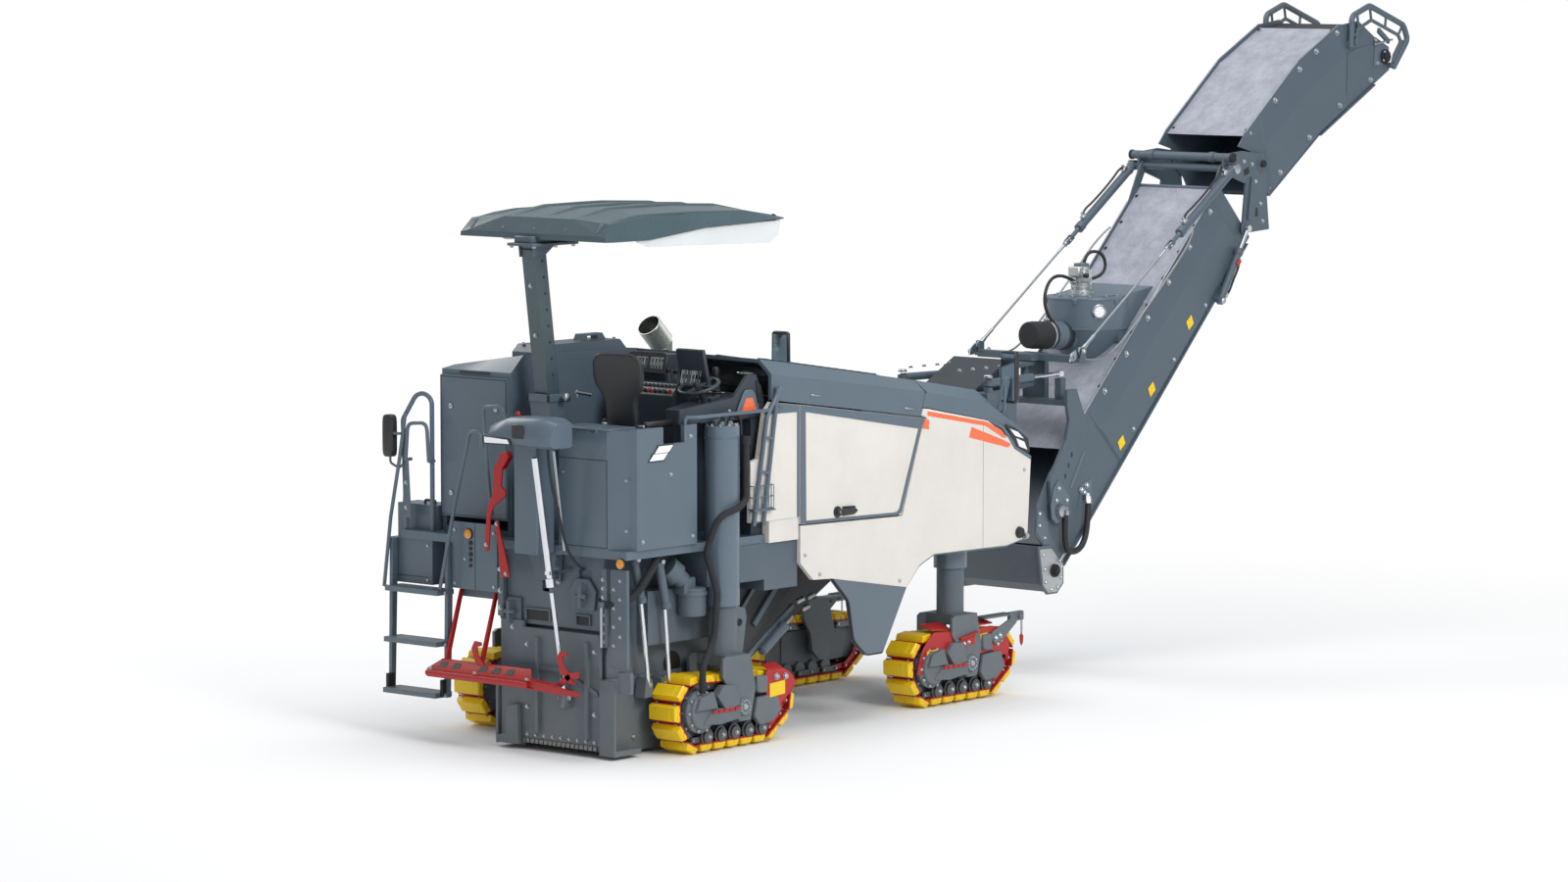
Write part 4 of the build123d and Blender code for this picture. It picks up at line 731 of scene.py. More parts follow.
class PLANER_OT_tracks(bpy.types.Operator):
    """Make each track of pads on bolted shoes, and the chain's links and pins"""

    bl_idname = "planer.tracks"
    bl_label = "Tracks"

    def execute(self, context):
        line = chain_line(PAD_HEIGHT + SHOE_HEIGHT)
        places, pitch = stations(line, PITCHES)
        for body, node, middle, across, _ in UNITS:
            home = at(middle, across, 0)
            self.pads(home, places, pitch).hang(body, node, slot="track_pads")
            self.chain(home, places, pitch).hang(body, node, slot="red_paint")
        return {"FINISHED"}

    def pads(self, home, places, pitch):
        """Cast pads: a flat tread with sloping flanks and a shallow blank panel in the middle of each."""
        piece = Piece(f"pads_{len(bpy.data.meshes)}", "pad")
        half, wide = pitch * 0.415, 0.126
        # A pad's section: share of the half pitch, height over the shoe.
        section = ((-1.0, 0.0), (-0.96, 0.016), (-0.80, PAD_HEIGHT), (0.80, PAD_HEIGHT), (0.96, 0.016),
                   (1.0, 0.0))
        for point, along, out in places:
            rows = []
            for side, inset in ((-1, 0.0), (-0.93, 0.006), (-0.55, 0.006), (-0.54, 0.0), (-0.5, 0.0),
                                (0.5, 0.0),
                                (0.54, 0.0), (0.55, 0.006), (0.93, 0.006), (1, 0.0)):
                end = abs(side) == 1
                rows.append([home + point + Vector((0, side * wide, 0)) + along * (s * half)
                             + out * max(0.0, min(h, PAD_HEIGHT - (0.012 if end
                                                                   else 0.0)) - (0.0 if end else 0.0)
                                         - (0.0015 if inset else 0.0))
                             for s, h in section])
            piece.skin(rows)
            for side in (-1, 1):
                for shift in (-0.5, 0.5):
                    foot = home + point + Vector((0, side * (wide - 0.002), 0)) + along * (shift * half)
                    piece.block_on(foot, along, out, Vector((0, side, 0)), 0.017, 0.019, 0.006)
        return piece

    def chain(self, home, places, pitch):
        """Shoes, two rows of forged links inside them, pins between the links and nuts on the shoes."""
        piece = Piece(f"chain_{len(bpy.data.meshes)}", "red", "link", "zinc")
        for k, (point, along, out) in enumerate(places):
            spot = home + point
            piece.use("red").block_on(spot - out * SHOE_HEIGHT, along, out, Vector((0, 1, 0)), pitch * 0.47,
                                      SHOE_HEIGHT, 0.129, centred=True, chamfer=0.002)
            ahead, _, out_ahead = places[(k + 1) % len(places)]
            inner = spot - out * (SHOE_HEIGHT + LINK_HEIGHT / 2)
            next_inner = home + ahead - out_ahead * (SHOE_HEIGHT + LINK_HEIGHT / 2)
            for row in (-0.098, -0.045, 0.045, 0.098):
                step = 0.007 if k % 2 else -0.007
                side = Vector((0, row + step, 0))
                piece.use("red" if abs(row) > 0.09 and out.x > 0.25 else "link")
                piece.link(inner + side, next_inner + side, 0.021, 0.011)
            piece.use("zinc")
            piece.turned(inner - Vector((0, 0.122, 0)), inner + Vector((0, 0.122, 0)),
                         [(0, 0.009), (1, 0.009)], 8)
            for side in (-0.085, 0.085):
                piece.bolt(spot + Vector((0, side, 0)) + along * pitch * 0.45, out, 0.016)
        return piece


class PLANER_OT_track_gear(bpy.types.Operator):
    """Add sprockets, rollers, motor bolts, guards, blank plates and the tow bracket to the track units"""

    bl_idname = "planer.track_gear"
    bl_label = "Track gear"

    def execute(self, context):
        size = context.scene.planer_sizes.bolt
        for body, _, middle, across, outer in UNITS:
            self.gear(middle, across, outer, size, body).hang(body, slot="cast_grey")
        self.rear_guard().hang("unit_rear_right", slot="red_paint")
        self.rear_left_guard().hang("unit_rear_left", slot="red_paint")
        for body, side in (("unit_front_right", -1), ("unit_front_left", 1)):
            self.front_guards(side).hang(body, slot="red_paint")
            self.tow_bracket(side).hang(body, slot="steel")
        return {"FINISHED"}

    def gear(self, middle, across, outer, size, body):
        """Motor cover, sprocket teeth, roller flanges, the slatted step and the bolt ring of the pivot."""
        piece = Piece(f"gear_{body}", "graphite", "zinc", "red", "link")
        face = across + outer * 0.134

        def spot(x, z, out=0.0):
            return at(middle + x, face + outer * out, z)

        way = Vector((0, outer, 0))
        piece.use("link")
        for x, z, radius in RIMS[:2]:
            hub = at(middle + x, across, z)
            for k in range(18):
                angle = math.tau * k / 18
                ray = Vector((math.cos(angle), 0, math.sin(angle)))
                piece.block_on(hub + ray * (radius - 0.135), Vector((-ray.z, 0, ray.x)), ray,
                               Vector((0, 1, 0)),
                               0.016, 0.03, 0.02, centred=True, chamfer=0.004)
        piece.use("graphite")
        x, z, _ = RIMS[0]
        piece.turned(spot(x, z, -0.012), spot(x, z, 0.052), [(0, 0.152), (0.35, 0.152), (0.5, 0.128),
                                                             (0.85, 0.122),
                                                            (1, 0.108)], 36)
        piece.plate([spot(x - 0.11, z + 0.02, 0.05), spot(x - 0.07, z + 0.105, 0.05),
                     spot(x + 0.06, z + 0.14, 0.05),
                     spot(x + 0.11, z + 0.02, 0.05)], way * 0.03, HEAVY_EDGE)
        # Hood over the hose joint, and the cover of the chain tensioner with its turned-out lower edge.
        piece.plate([spot(x + 0.12, z + 0.10, -0.01), spot(x + 0.20, z + 0.17, -0.01),
                     spot(x + 0.30, z + 0.16, -0.01),
                     spot(x + 0.36, z + 0.02, -0.01), spot(x + 0.22, z - 0.02, -0.01)], way * 0.075, 0.005)
        piece.plate([spot(x - 0.02, z - 0.09), spot(x + 0.07, z + 0.01), spot(x + 0.36, z + 0.01),
                     spot(x + 0.37, z - 0.08), spot(x + 0.16, z - 0.10)], way * 0.062, HEAVY_EDGE)
        piece.use("red")
        for k in range(5):
            start = x + 0.065 + 0.058 * k
            piece.plate([spot(start, z - 0.018, 0.062), spot(start + 0.05, z - 0.014, 0.062),
                         spot(start + 0.05, z + 0.006, 0.062), spot(start + 0.004, z + 0.006, 0.062)],
                         way * 0.01, SHEET_EDGE)
        piece.use("zinc")
        for k in range(10):
            angle = math.tau * k / 10
            piece.bolt(spot(x + 0.137 * math.cos(angle), z + 0.137 * math.sin(angle), 0.022), way,
                       size * 0.62)
        piece.use("link")
        for x in (-0.30, -0.155, -0.01, 0.135, 0.28):
            piece.turned(spot(x, 0.112, -0.03), spot(x, 0.112, 0.012),
                         [(0, 0.062), (0.45, 0.062), (0.5, 0.05), (0.9, 0.046), (1, 0.03)])
        piece.use("zinc")
        for x in (-0.30, -0.155, -0.01, 0.135, 0.28):
            piece.bolt(spot(x, 0.112, 0.012), way, size * 0.8)
        piece.use("graphite")
        piece.turned(spot(0.04, 0.29, 0.018), spot(0.04, 0.29, 0.052), [(0, 0.066), (0.7, 0.066), (1, 0.058)],
                     32)
        piece.plate([spot(0.16, 0.21, -0.01), spot(0.19, 0.34, -0.01), spot(0.40, 0.35, -0.01),
                     spot(0.45, 0.23, -0.01),
                     spot(0.36, 0.15, -0.01), spot(0.22, 0.14, -0.01)], way * 0.045, BLOCK_EDGE)
        piece.plate([spot(0.17, 0.39, 0.0), spot(0.17, 0.49, 0.0), spot(0.28, 0.49, 0.0),
                     spot(0.28, 0.37, 0.0),
                     spot(0.20, 0.37, 0.0)], way * 0.05, BLOCK_EDGE)
        piece.use("zinc")
        for k in range(12):
            angle = math.tau * k / 12
            piece.bolt(spot(0.04 + 0.047 * math.cos(angle), 0.29 + 0.047 * math.sin(angle), 0.052), way,
                       size * 0.36)
        piece.turned(spot(0.04, 0.29, 0.05), spot(0.04, 0.29, 0.06), [(0, 0.024), (1, 0.018)], 20)
        return piece

    def blank_plate(self, piece, corner, across, up, out):
        """A plain yellow plate, riveted on, with nothing on it."""
        return piece.use("yellow").plate([corner, corner + across, corner + across + up, corner + up],
                                         Vector(out) * 0.004, SHEET_EDGE)

    def rear_guard(self):
        """The red leaf guard over the front of the rear right track."""
        piece = Piece("guard_rear_right", "red", "zinc", "yellow")
        outline = ((0.279, 0.402), (0.277, 0.505), (0.305, 0.530), (0.440, 0.528), (0.520, 0.498),
                   (0.580, 0.452),
                   (0.604, 0.395), (0.560, 0.350), (0.470, 0.288), (0.385, 0.226), (0.345, 0.208),
                   (0.305, 0.222))
        piece.flat("y", -1.094, outline, 0.012, PLATE_EDGE)
        piece.plate([at(0.30, -1.094, 0.525), at(0.45, -1.094, 0.522), at(0.45, -1.03, 0.55),
                     at(0.30, -1.03, 0.552)],
                    (0, 0, 0.008))
        for x, z in ((0.385, 0.468), (0.480, 0.462)):
            piece.use("zinc").bolt(at(x, -1.096, z), (0, -1, 0), 0.036)
        self.blank_plate(piece, at(0.315, -1.0945, 0.325), Vector((0.165, 0, 0.012)), Vector((0, 0, 0.098)),
                         (0, -1, 0))
        return piece

    def rear_left_guard(self):
        """The red guard on the outer side of the rear left track."""
        piece = Piece("guard_rear_left", "red", "zinc", "yellow")
        outline = ((0.349, 0.402), (0.347, 0.505), (0.375, 0.530), (0.510, 0.528), (0.590, 0.498),
                   (0.650, 0.452),
                   (0.674, 0.395), (0.630, 0.350), (0.540, 0.288), (0.455, 0.226), (0.415, 0.208),
                   (0.375, 0.222))
        piece.flat("y", 1.188, outline, 0.012, PLATE_EDGE)
        for x, z in ((0.455, 0.468), (0.550, 0.462)):
            piece.use("zinc").bolt(at(x, 1.2, z), (0, 1, 0), 0.036)
        self.blank_plate(piece, at(0.385, 1.2005, 0.325), Vector((0.165, 0, 0.012)), Vector((0, 0, 0.098)),
                         (0, 1, 0))
        return piece

    def front_guards(self, side):
        """The two red guards of a front track, the red bar between them and their blank plates."""
        piece = Piece("guards_front_" + ("left" if side > 0 else "right"), "red", "zinc", "yellow")
        near = side * 0.868
        rear = ((2.225, 0.26), (2.250, 0.36), (2.290, 0.44), (2.350, 0.51), (2.42, 0.56), (2.63, 0.545),
                (2.68, 0.30),
                (2.48, 0.30), (2.30, 0.262))
        front = ((2.86, 0.335), (2.85, 0.46), (2.90, 0.535), (3.08, 0.545), (3.19, 0.53), (3.27, 0.47),
                 (3.315, 0.38),
                 (3.30, 0.32), (3.20, 0.305), (3.10, 0.36))
        for outline in (rear, front):
            piece.use("red").flat("y", near, outline, side * 0.012, PLATE_EDGE)
        # The rear guard's top folds in over the pads.
        piece.plate([at(2.40, near, 0.568), at(2.63, near, 0.553), at(2.63, near - side * 0.12, 0.60),
                     at(2.40, near - side * 0.12, 0.60)], (0, 0, 0.010), LIGHT_EDGE)
        piece.plate([at(2.92, near, 0.556), at(3.12, near, 0.556), at(3.12, near - side * 0.12, 0.585),
                     at(2.92, near - side * 0.12, 0.585)], (0, 0, 0.010), LIGHT_EDGE)
        piece.plate([at(2.695, near + side * 0.01, 0.47), at(2.70, near + side * 0.01, 0.415),
                     at(2.88, near + side * 0.01, 0.43), at(2.885, near + side * 0.01, 0.50)],
                     (0, side * 0.018, 0), LIGHT_EDGE)
        piece.plate([at(2.69, near + side * 0.012, 0.478), at(2.90, near + side * 0.012, 0.512),
                     at(2.90, near + side * 0.05, 0.512), at(2.69, near + side * 0.05, 0.478)], (0, 0, 0.014),
                     LIGHT_EDGE)
        piece.use("zinc")
        for x, z in ((2.60, 0.40), (2.635, 0.40), (2.75, 0.445), (2.80, 0.452), (3.13, 0.435), (3.165, 0.40),
                     (3.205, 0.425)):
            piece.bolt(at(x, near + side * (0.028 if 2.7 < x < 2.85 else 0.012), z), (0, side, 0), 0.024)
        self.blank_plate(piece, at(2.33, near + side * 0.0125, 0.325), Vector((0.13, 0, 0.01)),
                         Vector((0, 0, 0.10)),
                         (0, side, 0))
        self.blank_plate(piece, at(2.91, near + side * 0.0125, 0.395), Vector((0.13, 0, 0.01)),
                         Vector((0, 0, 0.095)),
                         (0, side, 0))
        return piece

    def tow_bracket(self, side):
        """The bracket that carries the sensor arm ahead of a front track, with its red tag on a chain."""
        piece = Piece("tow_bracket_" + ("left" if side > 0 else "right"), "graphite", "zinc", "red", "link")
        near = side * 0.882
        piece.plate([at(3.09, near, 0.50), at(3.07, near, 0.46), at(3.12, near, 0.40), at(3.20, near, 0.42),
                     at(3.38, near, 0.545), at(3.36, near, 0.60)], (0, side * 0.016, 0), PLATE_EDGE)
        piece.plate([at(3.02, near - side * 0.10, 0.60), at(3.36, near - side * 0.10, 0.60),
                     at(3.36, near + side * 0.014, 0.60), at(3.02, near + side * 0.014, 0.60)], (0, 0, 0.014),
                     PLATE_EDGE)
        piece.block(at(3.30, near - 0.02, 0.555), at(3.46, near + 0.02, 0.625), BLOCK_EDGE)
        piece.bar(at(3.40, near - 0.045, 0.59), at(3.40, near + 0.045, 0.59), 0.022)
        piece.use("zinc")
        for x, z in ((3.12, 0.45), (3.17, 0.465)):
            piece.bolt(at(x, near + side * 0.016, z), (0, side, 0), 0.03)
        for k in range(6):
            low = at(3.452, near, 0.545 - 0.017 * k)
            piece.use("link").ring(low, 0.008, 0.0025, Vector((1, 0, 0)) if k % 2 else Vector((0, 1, 0)))
        piece.use("red").turned(at(3.452, near, 0.45), at(3.452, near, 0.36),
                                [(0, 0.006), (0.2, 0.016), (0.7, 0.013), (1, 0.004)], 12)
        return piece


# ---------------------------------------------------------------- body

SIDE_FACE = 0.975


def side_plate_at(piece, finish, side, outline, thick=0.003, proud=0.0, chamfer=0.0008):
    """A thin plate on the body's side face; outline rows are distance along the machine and height."""
    face = side * (SIDE_FACE + proud)
    return piece.use(finish).flat("y", face, outline, side * thick, chamfer)


class PLANER_OT_side_trim(bpy.types.Operator):
    """Add the bands, stripes, lamps and seams of both side panels"""

    bl_idname = "planer.side_trim"
    bl_label = "Side trim"

    def execute(self, context):
        self.door_trim().hang("door", slot="body_paint")
        for side, name in ((-1, "right"), (1, "left")):
            self.panel_trim(side, name).hang("chassis", slot="body_paint")
            self.nose_lamps(side, name).hang("chassis", slot="black_plastic")
        return {"FINISHED"}

    def door_trim(self):
        """Grey band and edge strips round the cream field of the service door, and its lever handle."""
        piece = Piece("service_door_trim", "slate", "plastic", "zinc")
        for outline in (((0.786, 2.360), (2.182, 2.166), (2.142, 2.092), (0.845, 2.306), (0.786, 2.312)),
                        ((0.786, 2.312), (0.845, 2.306), (0.852, 1.509), (0.786, 1.509)),
                        ((0.845, 1.503), (0.845, 1.527), (1.845, 1.505), (1.873, 1.512), (1.893, 1.530),
                         (1.920, 1.500), (1.880, 1.484)),
                        ((1.920, 1.500), (1.893, 1.530), (2.110, 2.098), (2.142, 2.092))):
            side_plate_at(piece, "slate", -1, outline)
        # Lever handle: an oval dished plate, the lever on its pivot and the lock barrel.
        hub = at(1.195, -0.975, 1.562)
        piece.use("plastic").turned(hub, hub + Vector((0, -0.008, 0)), [(0, 0.042), (0.6, 0.042), (1, 0.036)],
                                    28)
        piece.turned(hub + Vector((0, -0.008, 0)), hub + Vector((0, -0.034, 0)),
                     [(0, 0.026), (0.8, 0.024), (1, 0.019)])
        piece.plate([at(1.19, -1.001, 1.583), at(1.37, -1.001, 1.577), at(1.385, -1.001, 1.562),
                     at(1.37, -1.001, 1.545),
                     at(1.19, -1.001, 1.541)], (0, -0.014, 0), 0.005)
        piece.plate([at(1.25, -0.975, 1.598), at(1.39, -0.975, 1.592), at(1.405, -0.975, 1.562),
                     at(1.39, -0.975, 1.532), at(1.25, -0.975, 1.528)], (0, -0.006, 0), LIGHT_EDGE)
        piece.use("zinc").turned(at(1.195, -1.008, 1.562), at(1.195, -1.014, 1.562), [(0, 0.011), (1, 0.009)],
                                 16)
        return piece

    def panel_trim(self, side, name):
        """Grey bands, orange stripes, the panel seam and the fasteners of one side."""
        piece = Piece(f"panel_trim_{name}", "slate", "stripe", "rubber", "zinc", "cream")
        if side < 0:
            side_plate_at(piece, "slate", side, ((0.395, 2.325), (0.470, 2.400), (0.777, 2.358),
                                                 (0.777, 2.312),
                                                 (0.392, 2.318)))
            side_plate_at(piece, "slate", side, ((0.750, 2.312), (0.777, 2.312), (0.777, 1.562),
                                                 (0.750, 1.562)))
        else:
            side_plate_at(piece, "slate", side, ((0.472, 2.426), (2.204, 2.242), (2.150, 2.105),
                                                 (0.472, 2.320)))
            for outline in (((0.780, 1.500), (0.780, 1.494), (1.925, 1.470), (1.925, 1.476)),
                            ((1.925, 1.470), (1.919, 1.470), (2.145, 2.100), (2.151, 2.100)),
                            ((0.777, 2.29), (0.783, 2.29), (0.783, 1.495), (0.777, 1.495))):
                side_plate_at(piece, "rubber", side, outline, 0.002)
        # Stripes: the upper runs along the nose edge and turns down into the lower;
        # a short bar starts the lower.
        side_plate_at(piece, "stripe", side, ((2.215, 2.218), (2.905, 2.092), (3.085, 2.018), (3.150, 1.955),
                                              (3.105, 1.958), (2.890, 2.062), (2.215, 2.184)), 0.0012)
        side_plate_at(piece, "stripe", side, ((2.190, 2.162), (2.235, 2.154), (2.235, 2.082), (2.160, 2.094)),
                      0.0012)
        side_plate_at(piece, "stripe", side, ((2.730, 2.066), (3.100, 1.945), (3.200, 1.905), (3.165, 1.880),
                                              (2.700, 1.990)), 0.0012)
        # Joint between the panel's two pressings.
        side_plate_at(piece, "rubber", side, ((2.868, 2.10), (2.871, 2.10), (2.871, 1.153), (2.868, 1.153)),
                      0.0008)
        # Rolled lip along the wheel arch and the lower edge.
        lip = [at(x, side * (SIDE_FACE - 0.010), z) for x, z in
               ((1.150, 1.082), (1.330, 0.905), (1.385, 0.612), (1.522, 0.494), (1.705, 0.494))]
        piece.use("rubber").pipe(lip, 0.011, 0.10, 10)
        low = [at(x, side * (SIDE_FACE - 0.010), z) for x, z in
               ((1.982, 0.948), (2.130, 1.092), (2.300, 1.157), (3.150, 1.147), (3.395, 1.187))]
        piece.use("slate").pipe(low, 0.009, 0.08, 10)
        piece.use("zinc")
        for x, z in ((0.84, 1.28), (1.0, 1.13), (1.9, 1.0), (3.34, 1.25), (3.36, 1.70)):
            piece.bolt(at(x, side * SIDE_FACE, z), (0, side, 0), 0.02)
        if side < 0:
            # Transport lamp at the lower front corner of the panel.
            piece.use("rubber").turned(at(3.30, -0.972, 1.235), at(3.30, -1.000, 1.235),
                                       [(0, 0.045), (1, 0.038)], 20)
            piece.use("zinc").turned(at(3.36, -0.968, 1.205), at(3.36, -1.012, 1.205),
                                     [(0, 0.030), (1, 0.020)], 16)
        return piece

    def nose_lamps(self, side, name):
        """Two raked lamp bars in a black frame on the corner of the nose, with the edge strip above them."""
        piece = Piece(f"nose_lamps_{name}", "plastic", "lens", "slate")
        face = side * SIDE_FACE
        frame_outline = ((3.130, 2.060), (3.255, 2.020), (3.400, 1.935), (3.425, 1.840), (3.400, 1.812),
                         (3.250, 1.885), (3.205, 1.955))
        piece.flat("y", face - side * 0.004, frame_outline, side * 0.008, LIGHT_EDGE)
        for outline in (((3.175, 2.022), (3.275, 1.990), (3.345, 1.935), (3.245, 1.962)),
                        ((3.255, 1.945), (3.350, 1.912), (3.385, 1.850), (3.290, 1.880))):
            piece.use("lens").flat("y", face + side * 0.003, outline, side * 0.007, LIGHT_EDGE)
        piece.use("slate").flat("y", face - side * 0.002, ((2.905, 2.105), (3.09, 2.028), (3.165, 1.955),
                                                           (3.238, 1.868), (3.435, 1.772), (3.440, 1.798),
                                                           (3.255, 1.890), (3.185, 1.972), (3.105, 2.048),
                                                           (2.915, 2.125)), side * 0.006, SHEET_EDGE)
        return piece


class PLANER_OT_hood_trim(bpy.types.Operator):
    """Add hinges, louvres and seams to the hoods"""

    bl_idname = "planer.hood_trim"
    bl_label = "Hood trim"

    def execute(self, context):
        self.lid().hang("lid", slot="body_paint")
        self.fixed().hang("chassis", slot="body_paint")
        self.nose().hang("chassis", slot="black_plastic")
        self.exhaust().hang("chassis", "exhaust", slot="steel")
        return {"FINISHED"}

    @staticmethod
    def lid_top(x, y):
        """Height of the lid's skin at a place."""
        share = (x - 0.475) / 1.725
        crown = 2.700 + (2.440 - 2.700) * share
        return crown + 0.02 * (y + 0.86) / 1.2 if y > -0.86 else crown - (-0.86 - y) * 0.87

    def lid(self):
        """Long louvre and its slats near the right edge, hinges, a rib down the middle and the rear
        mirror."""
        piece = Piece("hood_lid_trim", "plastic", "zinc", "slate", "mirror")
        # Louvre: black plastic plates under the slats paint the shade in the openings between them.
        for k in range(15):
            x = 0.62 + 0.085 * k
            piece.use("plastic").plate([at(x, -0.80, self.lid_top(x, -0.80)),
                                        at(x + 0.068, -0.80, self.lid_top(x + 0.068, -0.80)),
                                        at(x + 0.068, -0.70, self.lid_top(x + 0.068, -0.70)),
                                        at(x, -0.70, self.lid_top(x, -0.70))],
                                       (0, 0, 0.004), SHEET_EDGE)
            piece.use("slate").plate([at(x + 0.02, -0.80, self.lid_top(x + 0.02, -0.80) + 0.003),
                                      at(x + 0.034, -0.80, self.lid_top(x + 0.034, -0.80) + 0.003),
                                      at(x + 0.034, -0.70, self.lid_top(x + 0.034, -0.70) + 0.003),
                                      at(x + 0.02, -0.70, self.lid_top(x + 0.02, -0.70) + 0.003)],
                                      (0, 0, 0.010), SHEET_EDGE)
        for x, z in ((0.90, 2.418), (1.95, 2.252)):
            piece.use("zinc").plate([at(x, -0.972, z + 0.012), at(x + 0.10, -0.972, z - 0.002),
                                     at(x + 0.10, -0.972, z - 0.014), at(x, -0.972, z)], (0, -0.012, 0),
                                     PLATE_EDGE)
        for y in (-0.45, 0.05):
            rows = []
            for k in range(9):
                x = 0.50 + 1.66 * k / 8
                z = self.lid_top(x, y)
                rows.append([at(x, y - 0.03, z), at(x, y - 0.018, z + 0.007), at(x, y + 0.018, z + 0.007),
                             at(x, y + 0.03, z)])
            piece.use("slate").skin(rows)
        piece.use("plastic").plate([at(1.694, -0.085, 2.535), at(1.694, 0.085, 2.535), at(1.694, 0.082, 2.77),
                                    at(1.694, 0.06, 2.785), at(1.694, -0.06, 2.785), at(1.694, -0.082, 2.77)],
                                   (0.028, 0, 0), BLOCK_EDGE)
        piece.use("mirror").plate([at(1.6935, -0.072, 2.55), at(1.6935, 0.072, 2.55),
                                   at(1.6935, 0.068, 2.762),
                                   at(1.6935, -0.068, 2.762)], (-0.0015, 0, 0))
        return piece

    def fixed(self):
        """Pressed recess, seams and screws of the fixed left hood and its rear hood over the cabinet."""
        piece = Piece("left_hood_trim", "plastic", "zinc", "slate")
        # Recessed handle on the rear face, over the cabinet cover.
        piece.use("plastic").block(at(-0.8535, 0.50, 2.597), at(-0.850, 0.80, 2.616), SHEET_EDGE)
        # Pressed louvre panels: black plastic plates under slate slats paint the shade in the recesses.
        for x in (0.66, 0.86, 1.06, 1.26, 1.46, 1.66, 1.86):
            share = (x - 0.465) / 1.74
            low, high = 2.43 - 0.185 * share, 2.60 - 0.24 * share
            piece.use("plastic").plate([at(x, 0.974, low + 0.03), at(x + 0.15, 0.974, low + 0.015),
                                        at(x + 0.15, 0.974, high - 0.045), at(x, 0.974, high - 0.03)],
                                        (0, 0.004, 0), SHEET_EDGE)
            for j in range(4):
                z = low + 0.05 + 0.025 * j
                piece.use("slate").plate([at(x + 0.008, 0.976, z), at(x + 0.142, 0.976, z - 0.015),
                                          at(x + 0.142, 0.976, z - 0.006), at(x + 0.008, 0.976, z + 0.009)],
                                         (0, 0.010, 0), SHEET_EDGE)
        piece.use("zinc")
        for x, y, z in ((-0.45, 0.44, 2.789), (-0.45, 0.56, 2.789), (0.33, 0.40, 2.789), (0.33, 0.58, 2.789)):
            piece.bolt(at(x, y, z), (0, 0, 1), 0.022)
        # Black guard behind the exhaust and the filler cap ahead of it.
        piece.use("plastic").turned(at(1.42, 0.66, 2.50), at(1.42, 0.66, 2.62),
                                    [(0, 0.06), (0.7, 0.06), (1, 0.045)])
        piece.turned(at(1.75, 0.62, 2.45), at(1.75, 0.62, 2.57), [(0, 0.05), (0.7, 0.05), (1, 0.038)])
        return piece

    def nose(self):
        """Mirror of the nose with its shell and glass, and the front face's lamps."""
        piece = Piece("nose_trim", "plastic", "mirror", "lens")
        piece.plate([at(3.172, -1.028, 2.210), at(3.172, -0.905, 2.210), at(3.172, -0.890, 2.235),
                     at(3.172, -0.890, 2.575), at(3.172, -0.905, 2.600), at(3.172, -1.028, 2.600),
                     at(3.172, -1.042, 2.575), at(3.172, -1.042, 2.235)], (0.045, 0, 0), 0.008)
        piece.use("mirror").plate([at(3.1715, -1.028, 2.232), at(3.1715, -0.905, 2.232),
                                   at(3.1715, -0.905, 2.580),
                                   at(3.1715, -1.028, 2.580)], (-0.0015, 0, 0))
        for side in (-1, 1):
            for y in (0.62, 0.84):
                place = at(3.448, side * y, 1.885)
                piece.use("plastic").turned(place, place + Vector((0.022, 0, 0)), [(0, 0.066), (1, 0.060)],
                                            28)
                piece.use("lens").turned(place + Vector((0.021, 0, 0)), place + Vector((0.030, 0, 0)),
                                         [(0, 0.052), (1, 0.044)], 28)
        return piece

    def exhaust(self):
        """Exhaust stack: a straight neck and a raked outlet pressed with narrow ribs, open at its mouth."""
        piece = Piece("exhaust_stack", "exhaust")
        foot = at(1.09, 0.62, 2.56)
        piece.turned(foot, at(1.09, 0.62, 2.72), [(0, 0.078), (1, 0.078)], 32)
        start = at(1.09, 0.62, 2.705)
        way = Vector((-0.722, 0, 0.692))
        profile = [(0.0, 0.060)]
        for k in range(11):
            share = k / 11
            profile += [(share + 0.01, 0.085), (share + 0.045, 0.092), (share + 0.08, 0.085)]
        profile += [(0.985, 0.095), (1.0, 0.093), (1.0, 0.085), (0.35, 0.080)]
        piece.turned(start, start + way * 0.2, profile, 32)
        piece.turned(start + way * 0.03, start + way * 0.031, [(0, 0.080), (1, 0.080)])
        return piece


# ---------------------------------------------------------------- rear end


